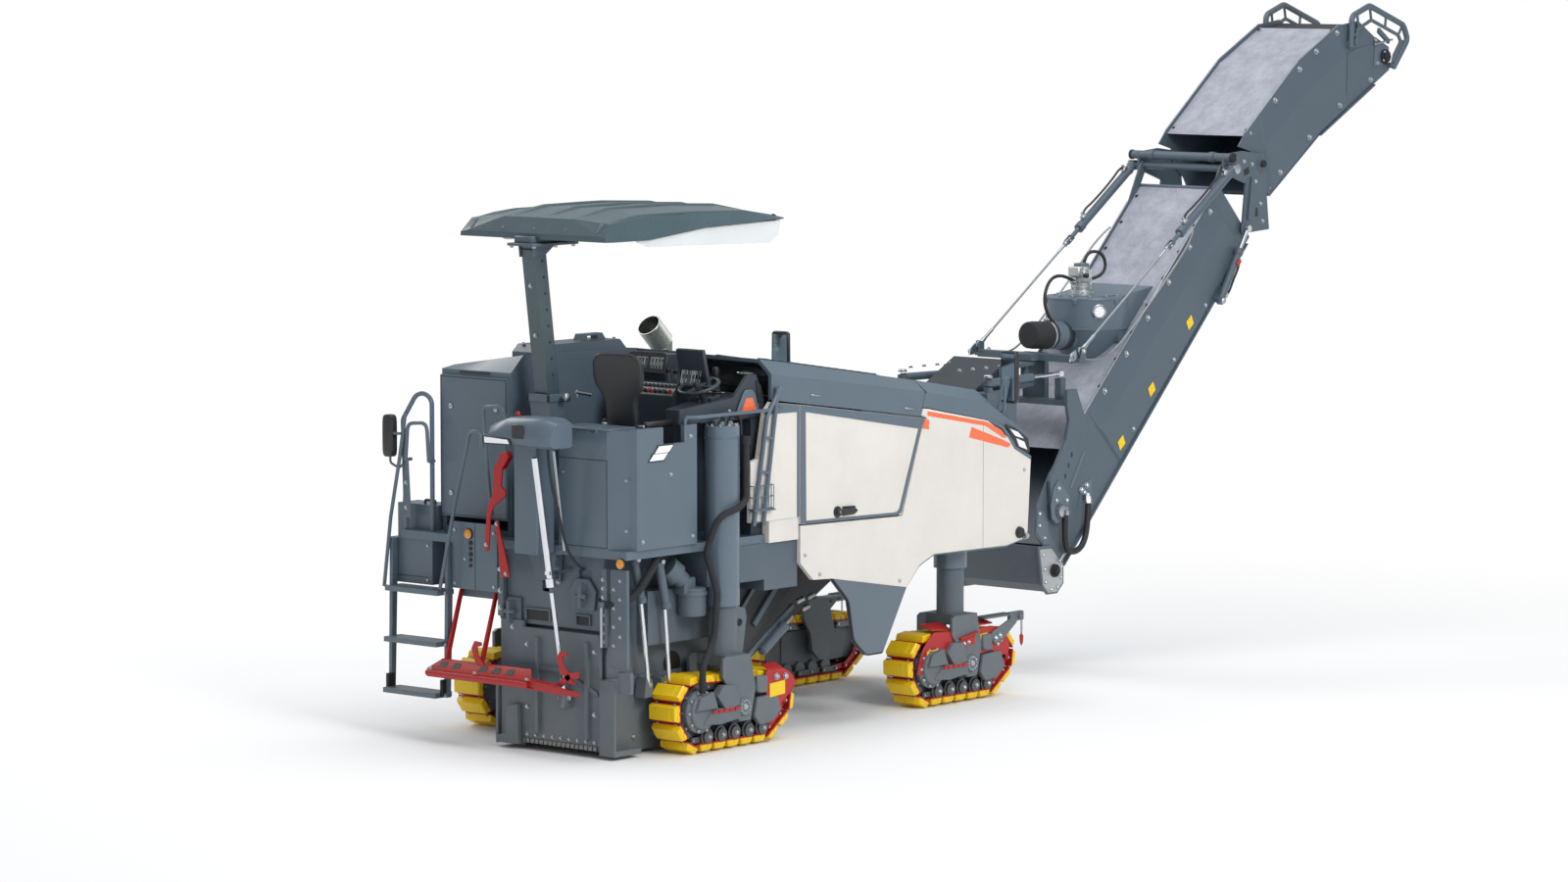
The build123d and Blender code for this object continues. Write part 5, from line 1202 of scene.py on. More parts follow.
class PLANER_OT_rear_panels(bpy.types.Operator):
    """Add the seams, locks, lamps and reflectors of the rear panels, boxes and cabinet"""

    bl_idname = "planer.rear_panels"
    bl_label = "Rear panels"

    def execute(self, context):
        self.trim().hang("chassis", slot="body_paint")
        self.light_housing().hang("chassis", "light_bar", slot="body_paint")
        self.lamps().hang("chassis", slot="black_plastic")
        return {"FINISHED"}

    def trim(self):
        """Seams as thin sealed grooves, hinges, quarter-turn locks and screws."""
        piece = Piece("rear_trim", "rubber", "zinc", "slate", "plastic")
        rear, box = -1.0, -0.882
        # Lid line and door line of the right rear box.
        piece.block(at(rear - 0.0012, -0.755, 2.078), at(rear, -0.298, 2.083))
        piece.block(at(rear - 0.0012, -0.752, 1.472), at(rear, -0.747, 2.078))
        piece.block(at(rear - 0.0012, -0.755, 1.470), at(rear, -0.298, 1.475))
        for y in (-0.42, -0.66):
            piece.use("zinc").block(at(rear - 0.006, y, 2.272), at(rear + 0.03, y + 0.06, 2.294), LIGHT_EDGE)
        piece.use("slate").block(at(rear - 0.012, -0.78, 2.288), at(-0.735, -0.30, 2.300), HEAVY_EDGE)
        # Cabinet cover: locks, and its gap as a dark line.
        piece.use("rubber")
        for low, high in (((box - 0.001, 0.318, 1.585), (box, 0.322, 2.57)),
                          ((box - 0.001, 0.955, 1.585), (box, 0.959, 2.57)),
                          ((box - 0.001, 0.318, 1.585), (box, 0.959, 1.589)),
                          ((box - 0.001, 0.318, 2.566), (box, 0.959, 2.57))):
            piece.block(at(*low), at(*high))
        for y, z in ((0.86, 2.36), (0.86, 1.74), (0.42, 2.36), (0.42, 1.74)):
            spot = at(box, y, z)
            piece.use("zinc").turned(spot, spot + Vector((-0.008, 0, 0)),
                                     [(0, 0.019), (0.6, 0.019), (1, 0.015)], 20)
            piece.use("rubber").block(spot + Vector((-0.0095, -0.012, -0.002)),
                                      spot + Vector((-0.008, 0.012, 0.002)))
        # Side of the cabinet: two doors with a handle each.
        for x in (-0.78, -0.45, -0.12, 0.25):
            piece.use("rubber").block(at(x - 0.002, 0.975, 1.50), at(x + 0.002, 0.9762, 2.55))
        for x in (-0.70, -0.37):
            piece.use("plastic").block(at(x, 0.975, 1.98), at(x + 0.10, 0.992, 2.02), 0.005)
        piece.use("zinc")
        for y, z in ((-0.90, 1.60), (-0.90, 1.95), (-0.34, 1.52), (-0.34, 1.98)):
            piece.bolt(at(rear if y > -0.75 else -0.965, y, z), (-1, 0, 0), 0.016)
        for x, z in ((-0.568, 1.968), (-0.36, 2.22), (-0.86, 1.52), (-0.34, 1.52)):
            piece.bolt(at(x, -0.950, z), (0, -1, 0), 0.024)
        # Left rear box and console: door seams, hinge screws and handle.
        piece.use("rubber").block(at(-1.0132, 0.50, 1.09), at(-1.012, 0.505, 1.555))
        piece.use("rubber").block(at(-0.9812, 0.99, 1.13), at(-0.980, 1.34, 1.135))
        piece.use("plastic")
        handle = [at(-0.94, 1.02, 1.642), at(-0.94, 1.02, 1.672), at(-0.94, 1.12, 1.672),
                  at(-0.94, 1.12, 1.642)]
        piece.pipe([p + Vector((0.06, 0, 0)) for p in handle], 0.010, 0.03, 10)
        piece.use("zinc")
        for y, z in ((0.32, 1.12), (0.32, 1.50), (0.70, 1.12), (0.70, 1.50), (0.60, 1.30)):
            piece.bolt(at(-1.012, y, z), (-1, 0, 0), 0.018)
        for y, z in ((1.0, 1.11), (1.33, 1.11), (1.0, 1.36), (1.33, 1.36)):
            piece.bolt(at(-0.980, y, z), (-1, 0, 0), 0.018)
        # Push buttons of the ground-level control box.
        for z, size in ((1.415, 0.016), (1.375, 0.013), (1.335, 0.016), (1.295, 0.013), (1.255, 0.012)):
            piece.use("plastic").turned(at(-1.012, 0.545, z), at(-1.026, 0.545, z),
                                        [(0, size), (0.7, size), (1, size * 0.7)], 16)
        return piece

    def light_housing(self):
        """Moulded tail lamp housing with a rounded back and a tapered foot, on its column behind the post."""
        piece = Piece("tail_light_housing", "slate", "plastic")
        # Sections from left to right: distance across, then how much each is drawn in.
        rows = []
        for y, low, high, back, nose in ((0.060, 2.205, 2.275, -1.385, 0.020),
                                         (0.020, 2.185, 2.315, -1.400, 0.012),
                                         (-0.150, 2.178, 2.372, -1.405, 0.0),
                                         (-0.420, 2.172, 2.378, -1.405, 0.0),
                                         (-0.510, 2.168, 2.372, -1.395, 0.008),
                                         (-0.565, 2.172, 2.350, -1.372, 0.018)):
            front = -1.15
            rows.append([at(back + 0.05, y, low), at(back + 0.008, y, low + 0.022), at(back, y, low + 0.06),
                         at(back + 0.010 + nose, y, high - 0.07), at(back + 0.035 + nose, y, high - 0.020),
                         at(back + 0.075 + nose, y, high), at(front - 0.02, y, high),
                         at(front, y, high - 0.02),
                         at(front, y, low + 0.01), at(front - 0.02, y, low)])
        piece.skin(rows)
        piece.block(at(-1.18, -0.26, 1.40), at(-1.00, -0.03, 2.19), 0.012)
        # Blank recess where a badge would sit.
        piece.use("plastic").block(at(-1.4085, -0.345, 2.235), at(-1.402, -0.235, 2.330), PLATE_EDGE)
        return piece

    def lamps(self):
        """Rear lamps, corner lamps and amber reflectors."""
        piece = Piece("rear_lamps", "plastic", "lens", "amber", "red")
        piece.plate([at(-1.400, 0.050, 2.245), at(-1.400, -0.215, 2.232), at(-1.400, -0.235, 2.185),
                     at(-1.400, 0.045, 2.180)], (-0.010, 0, 0), PLATE_EDGE)
        piece.use("lens").plate([at(-1.4085, 0.025, 2.232), at(-1.4085, -0.195, 2.222),
                                 at(-1.4085, -0.212, 2.194),
                                 at(-1.4085, 0.022, 2.190)], (-0.006, 0, 0), LIGHT_EDGE)
        piece.use("red").turned(at(-1.20, -0.10, 2.372), at(-1.20, -0.10, 2.40), [(0, 0.02), (1, 0.012)], 16)
        for outline in (((-0.690, 2.172), (-0.545, 2.172), (-0.590, 2.124), (-0.735, 2.124)),
                        ((-0.745, 2.120), (-0.600, 2.120), (-0.645, 2.074), (-0.790, 2.074))):
            piece.use("plastic").plate([at(x + (0.012 if k in (1, 2) else -0.012), -0.950,
                                           z + (0.008 if k < 2 else -0.008))
                                        for k, (x, z) in enumerate(outline)], (0, -0.005, 0), SHEET_EDGE)
            piece.use("lens").flat("y", -0.954, outline, -0.005, 0.0015)
        for x, y, z in ((-1.012, 0.563, 1.479), (-1.0, -0.880, 1.375)):
            spot = at(x, y, z)
            piece.use("plastic").turned(spot, spot + Vector((-0.010, 0, 0)), [(0, 0.040), (1, 0.038)], 28)
            piece.use("amber").turned(spot + Vector((-0.009, 0, 0)), spot + Vector((-0.022, 0, 0)),
                                      [(0, 0.034), (0.5, 0.033), (0.85, 0.024), (1, 0.010)], 28)
        return piece


class PLANER_OT_levers(bpy.types.Operator):
    """Add the red levers, the lock bar's hooks and the scraper's rods, hoses and guides"""

    bl_idname = "planer.levers"
    bl_label = "Levers and scraper gear"

    def execute(self, context):
        self.levers().hang("chassis", slot="red_paint")
        self.lock_bar().hang("chassis", "lock_bar", slot="red_paint")
        self.housing_gear().hang("chassis", slot="frame_paint")
        self.belly_gear().hang("chassis", slot="frame_paint")
        self.scraper_gear().hang("scraper_body", slot="frame_paint")
        self.plate_rods().hang("plate_right", slot="chrome_rod")
        self.hoses().hang("chassis", slot="black_plastic")
        return {"FINISHED"}

    def levers(self):
        """Two hooked levers of red plate that latch the scraper for transport."""
        piece = Piece("latch_levers", "red", "zinc")
        hooked = ((0.110, 2.105), (0.080, 2.060), (0.150, 1.970), (0.165, 1.850), (0.118, 1.822),
                  (0.122, 1.785),
                  (0.240, 1.700), (0.268, 1.640), (0.285, 1.400), (0.305, 1.380), (0.328, 1.400),
                  (0.326, 1.480),
                  (0.300, 1.680), (0.248, 1.800), (0.232, 1.980), (0.170, 2.075))
        piece.flat("x", -1.10, hooked, 0.014, PLATE_EDGE)
        piece.flat("x", -1.115, ((0.10, 2.10), (0.075, 2.06), (0.145, 1.97), (0.20, 2.0), (0.165, 2.08)),
                   0.05, PLATE_EDGE)
        straight = ((0.250, 1.600), (0.212, 1.604), (0.206, 1.550), (0.156, 1.400), (0.104, 1.213),
                    (0.195, 1.206),
                    (0.216, 1.398))
        piece.flat("x", -1.078, straight, 0.014, PLATE_EDGE)
        piece.use("zinc")
        for x, y, z in ((-1.10, 0.308, 1.43), (-1.10, 0.125, 2.05), (-1.078, 0.228, 1.58),
                        (-1.078, 0.14, 1.235)):
            piece.bolt(at(x, y, z), (-1, 0, 0), 0.022)
        return piece

    def lock_bar(self):
        """Red lock bar: a round-nosed box rail with slots, its two hooks, arms and the folded end plate."""
        piece = Piece("lock_bar_rail", "red", "zinc", "plastic")
        piece.bar(at(-1.203, -0.18, 0.493), at(-1.203, 0.80, 0.493), 0.022)
        piece.plate([at(-1.203, -0.22, 0.515), at(-1.203, 0.80, 0.515), at(-1.12, 0.72, 0.585),
                     at(-1.12, -0.14, 0.585)],
                    (0, 0, 0.008), LIGHT_EDGE)
        piece.plate([at(-1.203, -0.22, 0.465), at(-1.203, 0.80, 0.465), at(-1.10, 0.72, 0.465),
                     at(-1.10, -0.14, 0.465)],
                    (0, 0, 0.008), LIGHT_EDGE)
        # Slots in the rail, drawn as black plastic plates that paint the shade inside them.
        for y in (-0.02, 0.11, 0.24, 0.50, 0.63):
            piece.use("plastic").plate([at(-1.185, y, 0.5385), at(-1.185, y + 0.08, 0.5385),
                                        at(-1.145, y + 0.07, 0.5725),
                                        at(-1.145, y + 0.01, 0.5725)], (-0.001, 0, 0.0025))
        piece.use("red")
        # Rail's right end: a flat plate that drops towards the side plate.
        piece.plate([at(-1.19, -0.16, 0.52), at(-1.19, -0.16, 0.46), at(-1.19, -0.45, 0.447),
                     at(-1.19, -0.65, 0.447),
                     at(-1.19, -0.65, 0.478), at(-1.19, -0.45, 0.500)], (0.018, 0, 0), PLATE_EDGE)
        piece.plate([at(-1.20, -0.20, 0.512), at(-1.20, -0.43, 0.498), at(-1.15, -0.43, 0.505),
                     at(-1.15, -0.20, 0.522)],
                    (0, 0, 0.010), LIGHT_EDGE)
        # Hooks and the arms that carry them.
        for y in (0.345, -0.475):
            hook = ((y - 0.10, 0.520), (y - 0.05, 0.520), (y + 0.04, 0.600), (y + 0.075, 0.690),
                    (y + 0.045, 0.745),
                    (y - 0.02, 0.740), (y - 0.02, 0.715), (y + 0.02, 0.705), (y + 0.015, 0.650),
                    (y - 0.05, 0.585))
            piece.flat("x", -1.145, hook, 0.016, PLATE_EDGE)
        piece.plate([at(-1.145, -0.40, 0.52), at(-1.145, -0.52, 0.60), at(-1.145, -0.60, 0.615),
                     at(-1.145, -0.61, 0.57),
                     at(-1.145, -0.53, 0.555), at(-1.145, -0.44, 0.49)], (0.016, 0, 0), PLATE_EDGE)
        piece.plate([at(-1.16, 0.30, 0.50), at(-1.16, 0.83, 0.50), at(-1.16, 0.83, 0.46),
                     at(-1.16, 0.30, 0.46)],
                    (0.05, 0, 0), PLATE_EDGE)
        for y in (0.36, 0.70):
            piece.plate([at(-1.11, y - 0.010, 0.475), at(-1.14, y - 0.010, 0.520),
                         at(-0.96, y - 0.010, 1.075),
                         at(-0.932, y - 0.010, 1.060)], (0, 0.020, 0), PLATE_EDGE)
        piece.use("zinc")
        for y in (-0.17, 0.33, 0.76):
            piece.bolt(at(-1.2, y, 0.525), (0, 0, 1), 0.026)
        return piece

    def housing_gear(self):
        """Brackets, windows, guides and bolts on the drum housing's rear, and the can above the side
        plate."""
        piece = Piece("housing_gear", "graphite", "zinc", "rubber")
        rear = -0.955
        # Frame of the scraper's window with its two openings' edges, and the stop brackets beside them.
        for outline in (((0.10, 1.06), (0.22, 1.06), (0.30, 0.98), (0.30, 0.90), (0.22, 0.86), (0.10, 0.86)),
                        ((-0.30, 1.40), (-0.20, 1.48), (-0.05, 1.48), (0.02, 1.40), (-0.05, 1.20),
                         (-0.28, 1.20)),
                        ((-0.62, 1.16), (-0.55, 1.24), (-0.42, 1.24), (-0.36, 1.14), (-0.40, 1.02),
                         (-0.60, 1.02))):
            piece.flat("x", rear, outline, -0.020, HEAVY_EDGE)
        for y, z in ((-0.26, 1.30), (-0.50, 1.12), (0.18, 0.96)):
            piece.block(at(rear - 0.07, y - 0.012, z - 0.08), at(rear, y + 0.012, z + 0.08), HEAVY_EDGE)
            piece.bar(at(rear - 0.05, y - 0.045, z), at(rear - 0.05, y + 0.045, z), 0.016)
        # Two cleaning windows in the housing's rear wall, each a folded lip round a dark rubber block that
        # paints the shade inside the opening.
        for left, right, top in ((-0.163, 0.054, 0.985), (-0.545, -0.424, 0.975)):
            piece.use("rubber").block(at(-0.956, left, 0.912), at(-0.951, right, top))
            piece.use("graphite")
            for low, high in (((left - 0.012, top), (right + 0.012, top + 0.012)),
                              ((left - 0.012, 0.912), (left, top)), ((right, 0.912), (right + 0.012, top))):
                piece.block(at(-0.968, *low), at(-0.951, *high), LIGHT_EDGE)
        # Right guide of the side plate: a slotted upright with bolts, and the strut beside it.
        piece.block(at(-1.000, -0.735, 0.78), at(-0.955, -0.690, 1.33), 0.005)
        piece.block(at(-0.985, -0.955, 0.47), at(-0.955, -0.830, 0.62), 0.005)
        piece.block(at(-0.985, -0.92, 0.64), at(-0.955, -0.76, 1.33), 0.005)
        piece.block(at(-1.000, 0.245, 0.92), at(-0.955, 0.300, 1.34), 0.005)
        piece.use("zinc")
        for k in range(8):
            piece.bolt(at(-1.000, -0.712, 0.82 + 0.062 * k), (-1, 0, 0), 0.022)
            piece.bolt(at(-0.985, -0.80 - 0.06 * (k % 2), 0.80 + 0.065 * k), (-1, 0, 0), 0.020)
        for y, z in ((-0.05, 1.33), (-0.05, 1.27), (-0.25, 1.20), (0.27, 0.98), (0.27, 1.10), (0.27, 1.25)):
            piece.bolt(at(-1.000 if y > 0 else -0.955, y, z), (-1, 0, 0), 0.028)
        piece.bar(at(-1.018, -0.712, 0.78), at(-1.018, -0.712, 1.08), 0.011)
        piece.use("graphite")
        piece.bar(at(-1.018, -0.712, 1.06), at(-1.018, -0.712, 1.10), 0.022)
        # Side plate cylinders, upper halves, with their bosses on the main frame.
        for top, foot, radius in (((-0.777, -0.80, 1.381), (-0.700, -0.80, 1.073), 0.030),
                                  ((-0.580, -0.85, 1.354), (-0.500, -0.85, 1.020), 0.032)):
            piece.use("graphite").turned(at(*top), at(*foot), [(0, radius * 1.2), (0.10, radius * 1.2),
                                                               (0.11, radius),
                                                              (0.88, radius), (0.89, radius * 1.2),
                                                              (1, radius * 1.2)])
            piece.use("zinc").bar(at(top[0], top[1] - 0.05, top[2]), at(top[0], top[1] + 0.05, top[2]), 0.018)
        # Can with its shaft, left of the column.
        piece.use("graphite").turned(at(-0.245, -0.86, 0.945), at(-0.245, -0.86, 1.145),
                                     [(0, 0.095), (0.1, 0.1), (0.72, 0.1), (0.73, 0.108), (0.86, 0.108),
                                      (0.87, 0.1),
                                      (0.97, 0.1), (1, 0.092)], 36)
        piece.turned(at(-0.34, -0.86, 1.20), at(-0.46, -0.82, 1.30), [(0, 0.06), (0.4, 0.06), (0.41, 0.085),
                                                                      (1, 0.085)], 28)
        piece.block(at(-0.36, -0.90, 1.10), at(-0.24, -0.79, 1.22), 0.012)
        return piece

    def belly_gear(self):
        """Struts, ram and short stubs under the deck, on a near-black plate that paints the shade of the open
        space between the column and the skirt.
        """
        piece = Piece("belly_gear", "graphite", "slate", "alloy", "shadow")
        # Painted shade: a near-black plate where the space under the deck is dark.
        piece.use("shadow").flat("y", -0.47, ((0.47, 0.62), (0.80, 0.60), (1.62, 1.22), (1.62, 1.40),
                                              (0.62, 1.40), (0.47, 1.10)), 0.012, PLATE_EDGE)
        for foot, head, half in (((0.787, 0.530), (1.274, 0.839), 0.018),
                                 ((0.841, 0.738), (1.219, 1.130), 0.022),
                                 ((0.700, 0.860), (1.060, 1.240), 0.016)):
            run = (Vector((head[0], 0, head[1])) - Vector((foot[0], 0, foot[1]))).normalized()
            off = Vector((run.z, 0, -run.x)) * half
            start, end = at(foot[0], -0.50, foot[1]), at(head[0], -0.50, head[1])
            piece.use("slate").plate([start - off, end - off, end + off, start + off],
                                     (0, 0.028, 0), HEAVY_EDGE)
        piece.turned(at(0.873, -0.53, 0.535), at(1.132, -0.53, 0.709),
                     [(0, 0.020), (0.05, 0.036), (0.9, 0.036), (0.92, 0.042), (1, 0.042)])
        piece.use("alloy").bar(at(1.132, -0.53, 0.709), at(1.219, -0.53, 0.768), 0.014)
        for x, z in ((1.30, 0.86), (1.36, 0.80), (1.42, 0.88)):
            piece.bar(at(x, -0.50, z), at(x + 0.05, -0.53, z + 0.03), 0.020)
        return piece

    def scraper_gear(self):
        """Rib, tool edge, bright rod and rod foot of the scraper; they rise with it."""
        piece = Piece("scraper_gear", "graphite", "zinc", "carbide", "chrome")
        rear = -0.990
        piece.flat("x", rear, ((-0.66, 0.46), (-0.30, 0.60), (0.05, 0.60), (0.05, 0.57), (-0.29, 0.57),
                               (-0.66, 0.43)), -0.016, PLATE_EDGE)
        piece.use("carbide")
        for k in range(17):
            y = -0.645 + 0.0425 * k
            piece.block(at(-1.004, y, 0.046), at(-0.990, y + 0.034, 0.078), LIGHT_EDGE)
        piece.use("zinc")
        for k in range(9):
            piece.bolt(at(rear, -0.62 + 0.08 * k, 0.105), (-1, 0, 0), 0.020)
        for y, z in ((-0.62, 0.74), (-0.62, 0.30), (0.02, 0.74), (0.02, 0.30), (0.16, 0.85), (0.16, 0.12),
                     (0.22, 0.50)):
            piece.bolt(at(rear, y, z), (-1, 0, 0), 0.026)
        # Bright rod, seen from its clevis up to the cylinder's collar, and the keeper plate on the clevis.
        piece.use("chrome").bar(at(-1.0228, -0.36, 0.46), at(-1.1433, -0.36, 1.15), 0.0168)
        piece.use("graphite").turned(at(-1.045, -0.36, 0.330), at(-1.012, -0.36, 0.46),
                                     [(0, 0.030), (0.6, 0.030), (1, 0.022)], 20)
        piece.use("zinc").bolt(at(-1.012, -0.400, 0.398), (0, -1, 0), 0.034)
        piece.bolt(at(-1.012, -0.320, 0.398), (0, 1, 0), 0.034)
        piece.use("graphite")
        piece.flat("x", rear, ((0.07, 0.03), (0.27, 0.03), (0.27, 0.08), (0.20, 0.10), (0.18, 0.30),
                               (0.08, 0.32)), -0.05, BLOCK_EDGE)
        return piece

    def plate_rods(self):
        """Bright rods of the side plate's cylinders, in steps down to the plate's lugs; they rise with it."""
        piece = Piece("side_plate_rods", "chrome", "graphite", "zinc")
        piece.bar(at(-0.717, -0.80, 1.12), at(-0.634, -0.80, 0.50), 0.017)
        piece.bar(at(-0.525, -0.85, 1.08), at(-0.470, -0.85, 0.50), 0.016)
        piece.use("graphite")
        for x, y in ((-0.634, -0.80), (-0.470, -0.80)):
            piece.plate([at(x - 0.05, y - 0.012, 0.40), at(x + 0.05, y - 0.012, 0.40),
                         at(x + 0.03, y - 0.012, 0.53),
                         at(x - 0.03, y - 0.012, 0.53)], (0, 0.10, 0), HEAVY_EDGE)
            piece.use("zinc").bolt(at(x, y - 0.012, 0.49), (0, -1, 0), 0.03)
            piece.use("graphite")
        for k in range(6):
            piece.use("zinc").bolt(at(-0.90 + 0.22 * k, -0.70, 0.12), (0, -1, 0), 0.03)
        return piece

    def hoses(self):
        """Free hydraulic hoses of the frame: the sleeved one to the side plate's cylinders, and the lift
        hose."""
        bore = bpy.context.scene.planer_sizes.hose
        free_hose("sleeved_hose", [at(*p) for p in (
            (-0.955, -0.66, 1.10), (-0.99, -0.70, 1.085), (-0.98, -0.78, 1.075), (-0.90, -0.83, 1.10),
            (-0.80, -0.86, 1.16), (-0.72, -0.87, 1.26), (-0.66, -0.88, 1.33), (-0.62, -0.87, 1.385))],
            0.056, "sleeve", "chassis")
        free_hose("lift_hose", [at(*p) for p in (
            (-1.245, -0.42, 2.17), (-1.225, -0.42, 1.95), (-1.13, -0.42, 1.70), (-1.09, -0.43, 1.50),
            (-1.03, -0.46, 1.36), (-0.956, -0.49, 1.30))], bore * 0.8, "rubber", "chassis")
        piece = Piece("lift_pipe", "zinc")
        piece.bar(at(-1.182, -0.42, 2.143), at(-1.077, -0.42, 1.439), 0.011)
        return piece


# ---------------------------------------------------------------- operator's station

CANOPY_LEAN = math.tan(math.radians(7.6))
POST_MIDDLE = 0.05


def on_post(z):
    """Distance along the machine of the canopy post's middle at a height."""
    return -0.680 - (z - 2.0) * CANOPY_LEAN


class PLANER_OT_seat(bpy.types.Operator):
    """Make the operator's seat: two crowned cushions, the moulded back shell, the bellows and the base"""

    bl_idname = "planer.seat"
    bl_label = "Seat"

    def execute(self, context):
        low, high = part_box("seat")
        middle = (low.y + high.y) / 2
        shell = self.frame_parts(middle).hang("chassis", "seat", slot="black_plastic", smooth=50)
        back = self.cushion("seat_back_cushion", self.back_rows(middle))
        base = self.cushion("seat_base_cushion", self.base_rows(middle))
        for piece in (back, base):
            piece.parent = shell
            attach(piece, "chassis")
        return {"FINISHED"}

    # Back rest from the bottom up: height, half width, how far the section is from upright.
    BACK = ((2.14, 0.125), (2.30, 0.130), (2.44, 0.132), (2.50, 0.150), (2.56, 0.205), (2.62, 0.222),
            (2.72, 0.220),
            (2.765, 0.195), (2.785, 0.150))

    @staticmethod
    def lean(z):
        """Distance along the machine of the back rest's rear face."""
        return -0.600 - (z - 2.13) * 0.125

    def section(self, middle, z, half, rear, front, crown, count=20):
        """One closed row round the back rest: flat at the rear, crowned at the front, with soft corners."""
        row = []
        for k in range(count):
            angle = math.tau * k / count
            c, s = math.cos(angle), math.sin(angle)
            across = math.copysign(abs(s) ** 0.45, s) * half
            bulge = crown * (1 - (across / half) ** 2)
            depth = (rear + front) / 2 + math.copysign(abs(c) ** 0.6, c) * (front - rear) / 2
            row.append(Vector((self.lean(z) + ZERO.x + depth + (bulge if c > 0.2 else 0), middle + across,
                               z)))
        return row

    def frame_parts(self, middle):
        """Moulded shell behind the back rest, seat pan, rubber bellows on the suspension and the swivel
        base."""
        piece = Piece("seat_frame", "plastic", "rubber", "zinc")
        rows = [self.section(middle, z, half + 0.008, 0.0, 0.040, 0.0, 24) for z, half in self.BACK]
        last = self.BACK[-1]
        rows.append(self.section(middle, last[0] + 0.006, last[1] * 0.7, 0.006, 0.034, 0.0, 24))
        piece.skin(rows)
        piece.block(at(-0.57, middle - ZERO.y - 0.20, 2.00), at(-0.21, middle - ZERO.y + 0.20, 2.035), 0.012)
        piece.use("rubber")
        across = middle - ZERO.y
        for k in range(7):
            low = 1.74 + 0.037 * k
            piece.block(at(-0.545, across - 0.165, low), at(-0.235, across + 0.165, low + 0.012), HEAVY_EDGE)
            piece.block(at(-0.525, across - 0.145, low + 0.012), at(-0.255, across + 0.145, low + 0.037),
                        LIGHT_EDGE)
        piece.use("plastic").block(at(-0.50, across - 0.12, 1.46), at(-0.28, across + 0.12, 1.745), 0.015)
        # Folding arm rests on their pivots.
        for side in (-1, 1):
            y = across + side * 0.195
            piece.use("plastic").block(at(-0.585, y - 0.022, 2.275), at(-0.30, y + 0.022, 2.318), 0.012)
            piece.use("zinc").bar(at(-0.590, across + side * 0.12, 2.285),
                                  at(-0.590, across + side * 0.20, 2.285), 0.012)
        return piece

    def back_rows(self, middle):
        rows = [self.section(middle, z, half - 0.012, 0.040, 0.078, 0.020) for z, half in self.BACK]
        first, last = self.BACK[0], self.BACK[-1]
        rows.insert(0, self.section(middle, first[0] - 0.012, first[1] * 0.72, 0.046, 0.066, 0.008))
        rows.append(self.section(middle, last[0] + 0.002, last[1] * 0.68, 0.046, 0.064, 0.006))
        return rows

    def base_rows(self, middle):
        """Sections of the seat cushion from its rear edge forwards, with a dished middle and a rolled
        front."""
        rows = []
        for share, half, low, high in ((0.0, 0.150, 2.045, 2.075), (0.05, 0.192, 2.036, 2.108),
                                       (0.25, 0.204, 2.035, 2.116),
                                       (0.5, 0.204, 2.035, 2.118), (0.8, 0.206, 2.035, 2.128),
                                       (0.95, 0.198, 2.038, 2.116),
                                       (1.0, 0.155, 2.050, 2.080)):
            x = -0.562 + 0.360 * share
            row = []
            for k in range(24):
                angle = math.tau * k / 24
                c, s = math.cos(angle), math.sin(angle)
                across = math.copysign(abs(c) ** 0.45, c) * half
                dish = 0.010 * (1 - (across / half) ** 2) if s > 0.2 else 0
                row.append(Vector((ZERO.x + x, middle + across,
                                   (low + high) / 2 + math.copysign(abs(s) ** 0.6,
                                                                    s) * (high - low) / 2 - dish)))
            rows.append(row)
        return rows

    def cushion(self, name, rows):
        """A crowned cushion: a closed skin of foam, subdivided, with its sewn channels pressed in."""
        piece = Piece(name, "vinyl")
        piece.skin(rows)
        mesh = bpy.data.meshes.new(name)
        piece.mesh.to_mesh(mesh)
        piece.mesh.free()
        mesh.materials.append(FINISH["vinyl"])
        made = bpy.data.objects.new(name, mesh)
        bpy.context.scene.collection.objects.link(made)
        smooth = made.modifiers.new("rounding", "SUBSURF")
        smooth.levels = smooth.render_levels = 2
        finished = bpy.data.meshes.new_from_object(made.evaluated_get(bpy.context.evaluated_depsgraph_get()))
        made.modifiers.clear()
        made.data = finished
        low = Vector([min(v.co[k] for v in finished.vertices) for k in range(3)])
        high = Vector([max(v.co[k] for v in finished.vertices) for k in range(3)])
        upright = high.z - low.z > 0.3
        for vertex in finished.vertices:
            share = ((vertex.co.z - low.z) / (high.z - low.z) if upright
                     else (vertex.co.x - low.x) / (high.x - low.x))
            outer = vertex.normal.x if upright else vertex.normal.z
            if outer > 0.3:
                groove = sum(math.exp(-((share - mark) / 0.014) ** 2) for mark in (0.30, 0.52, 0.72))
                vertex.co -= vertex.normal * 0.006 * groove
        for polygon in finished.polygons:
            polygon.use_smooth = True
        return made


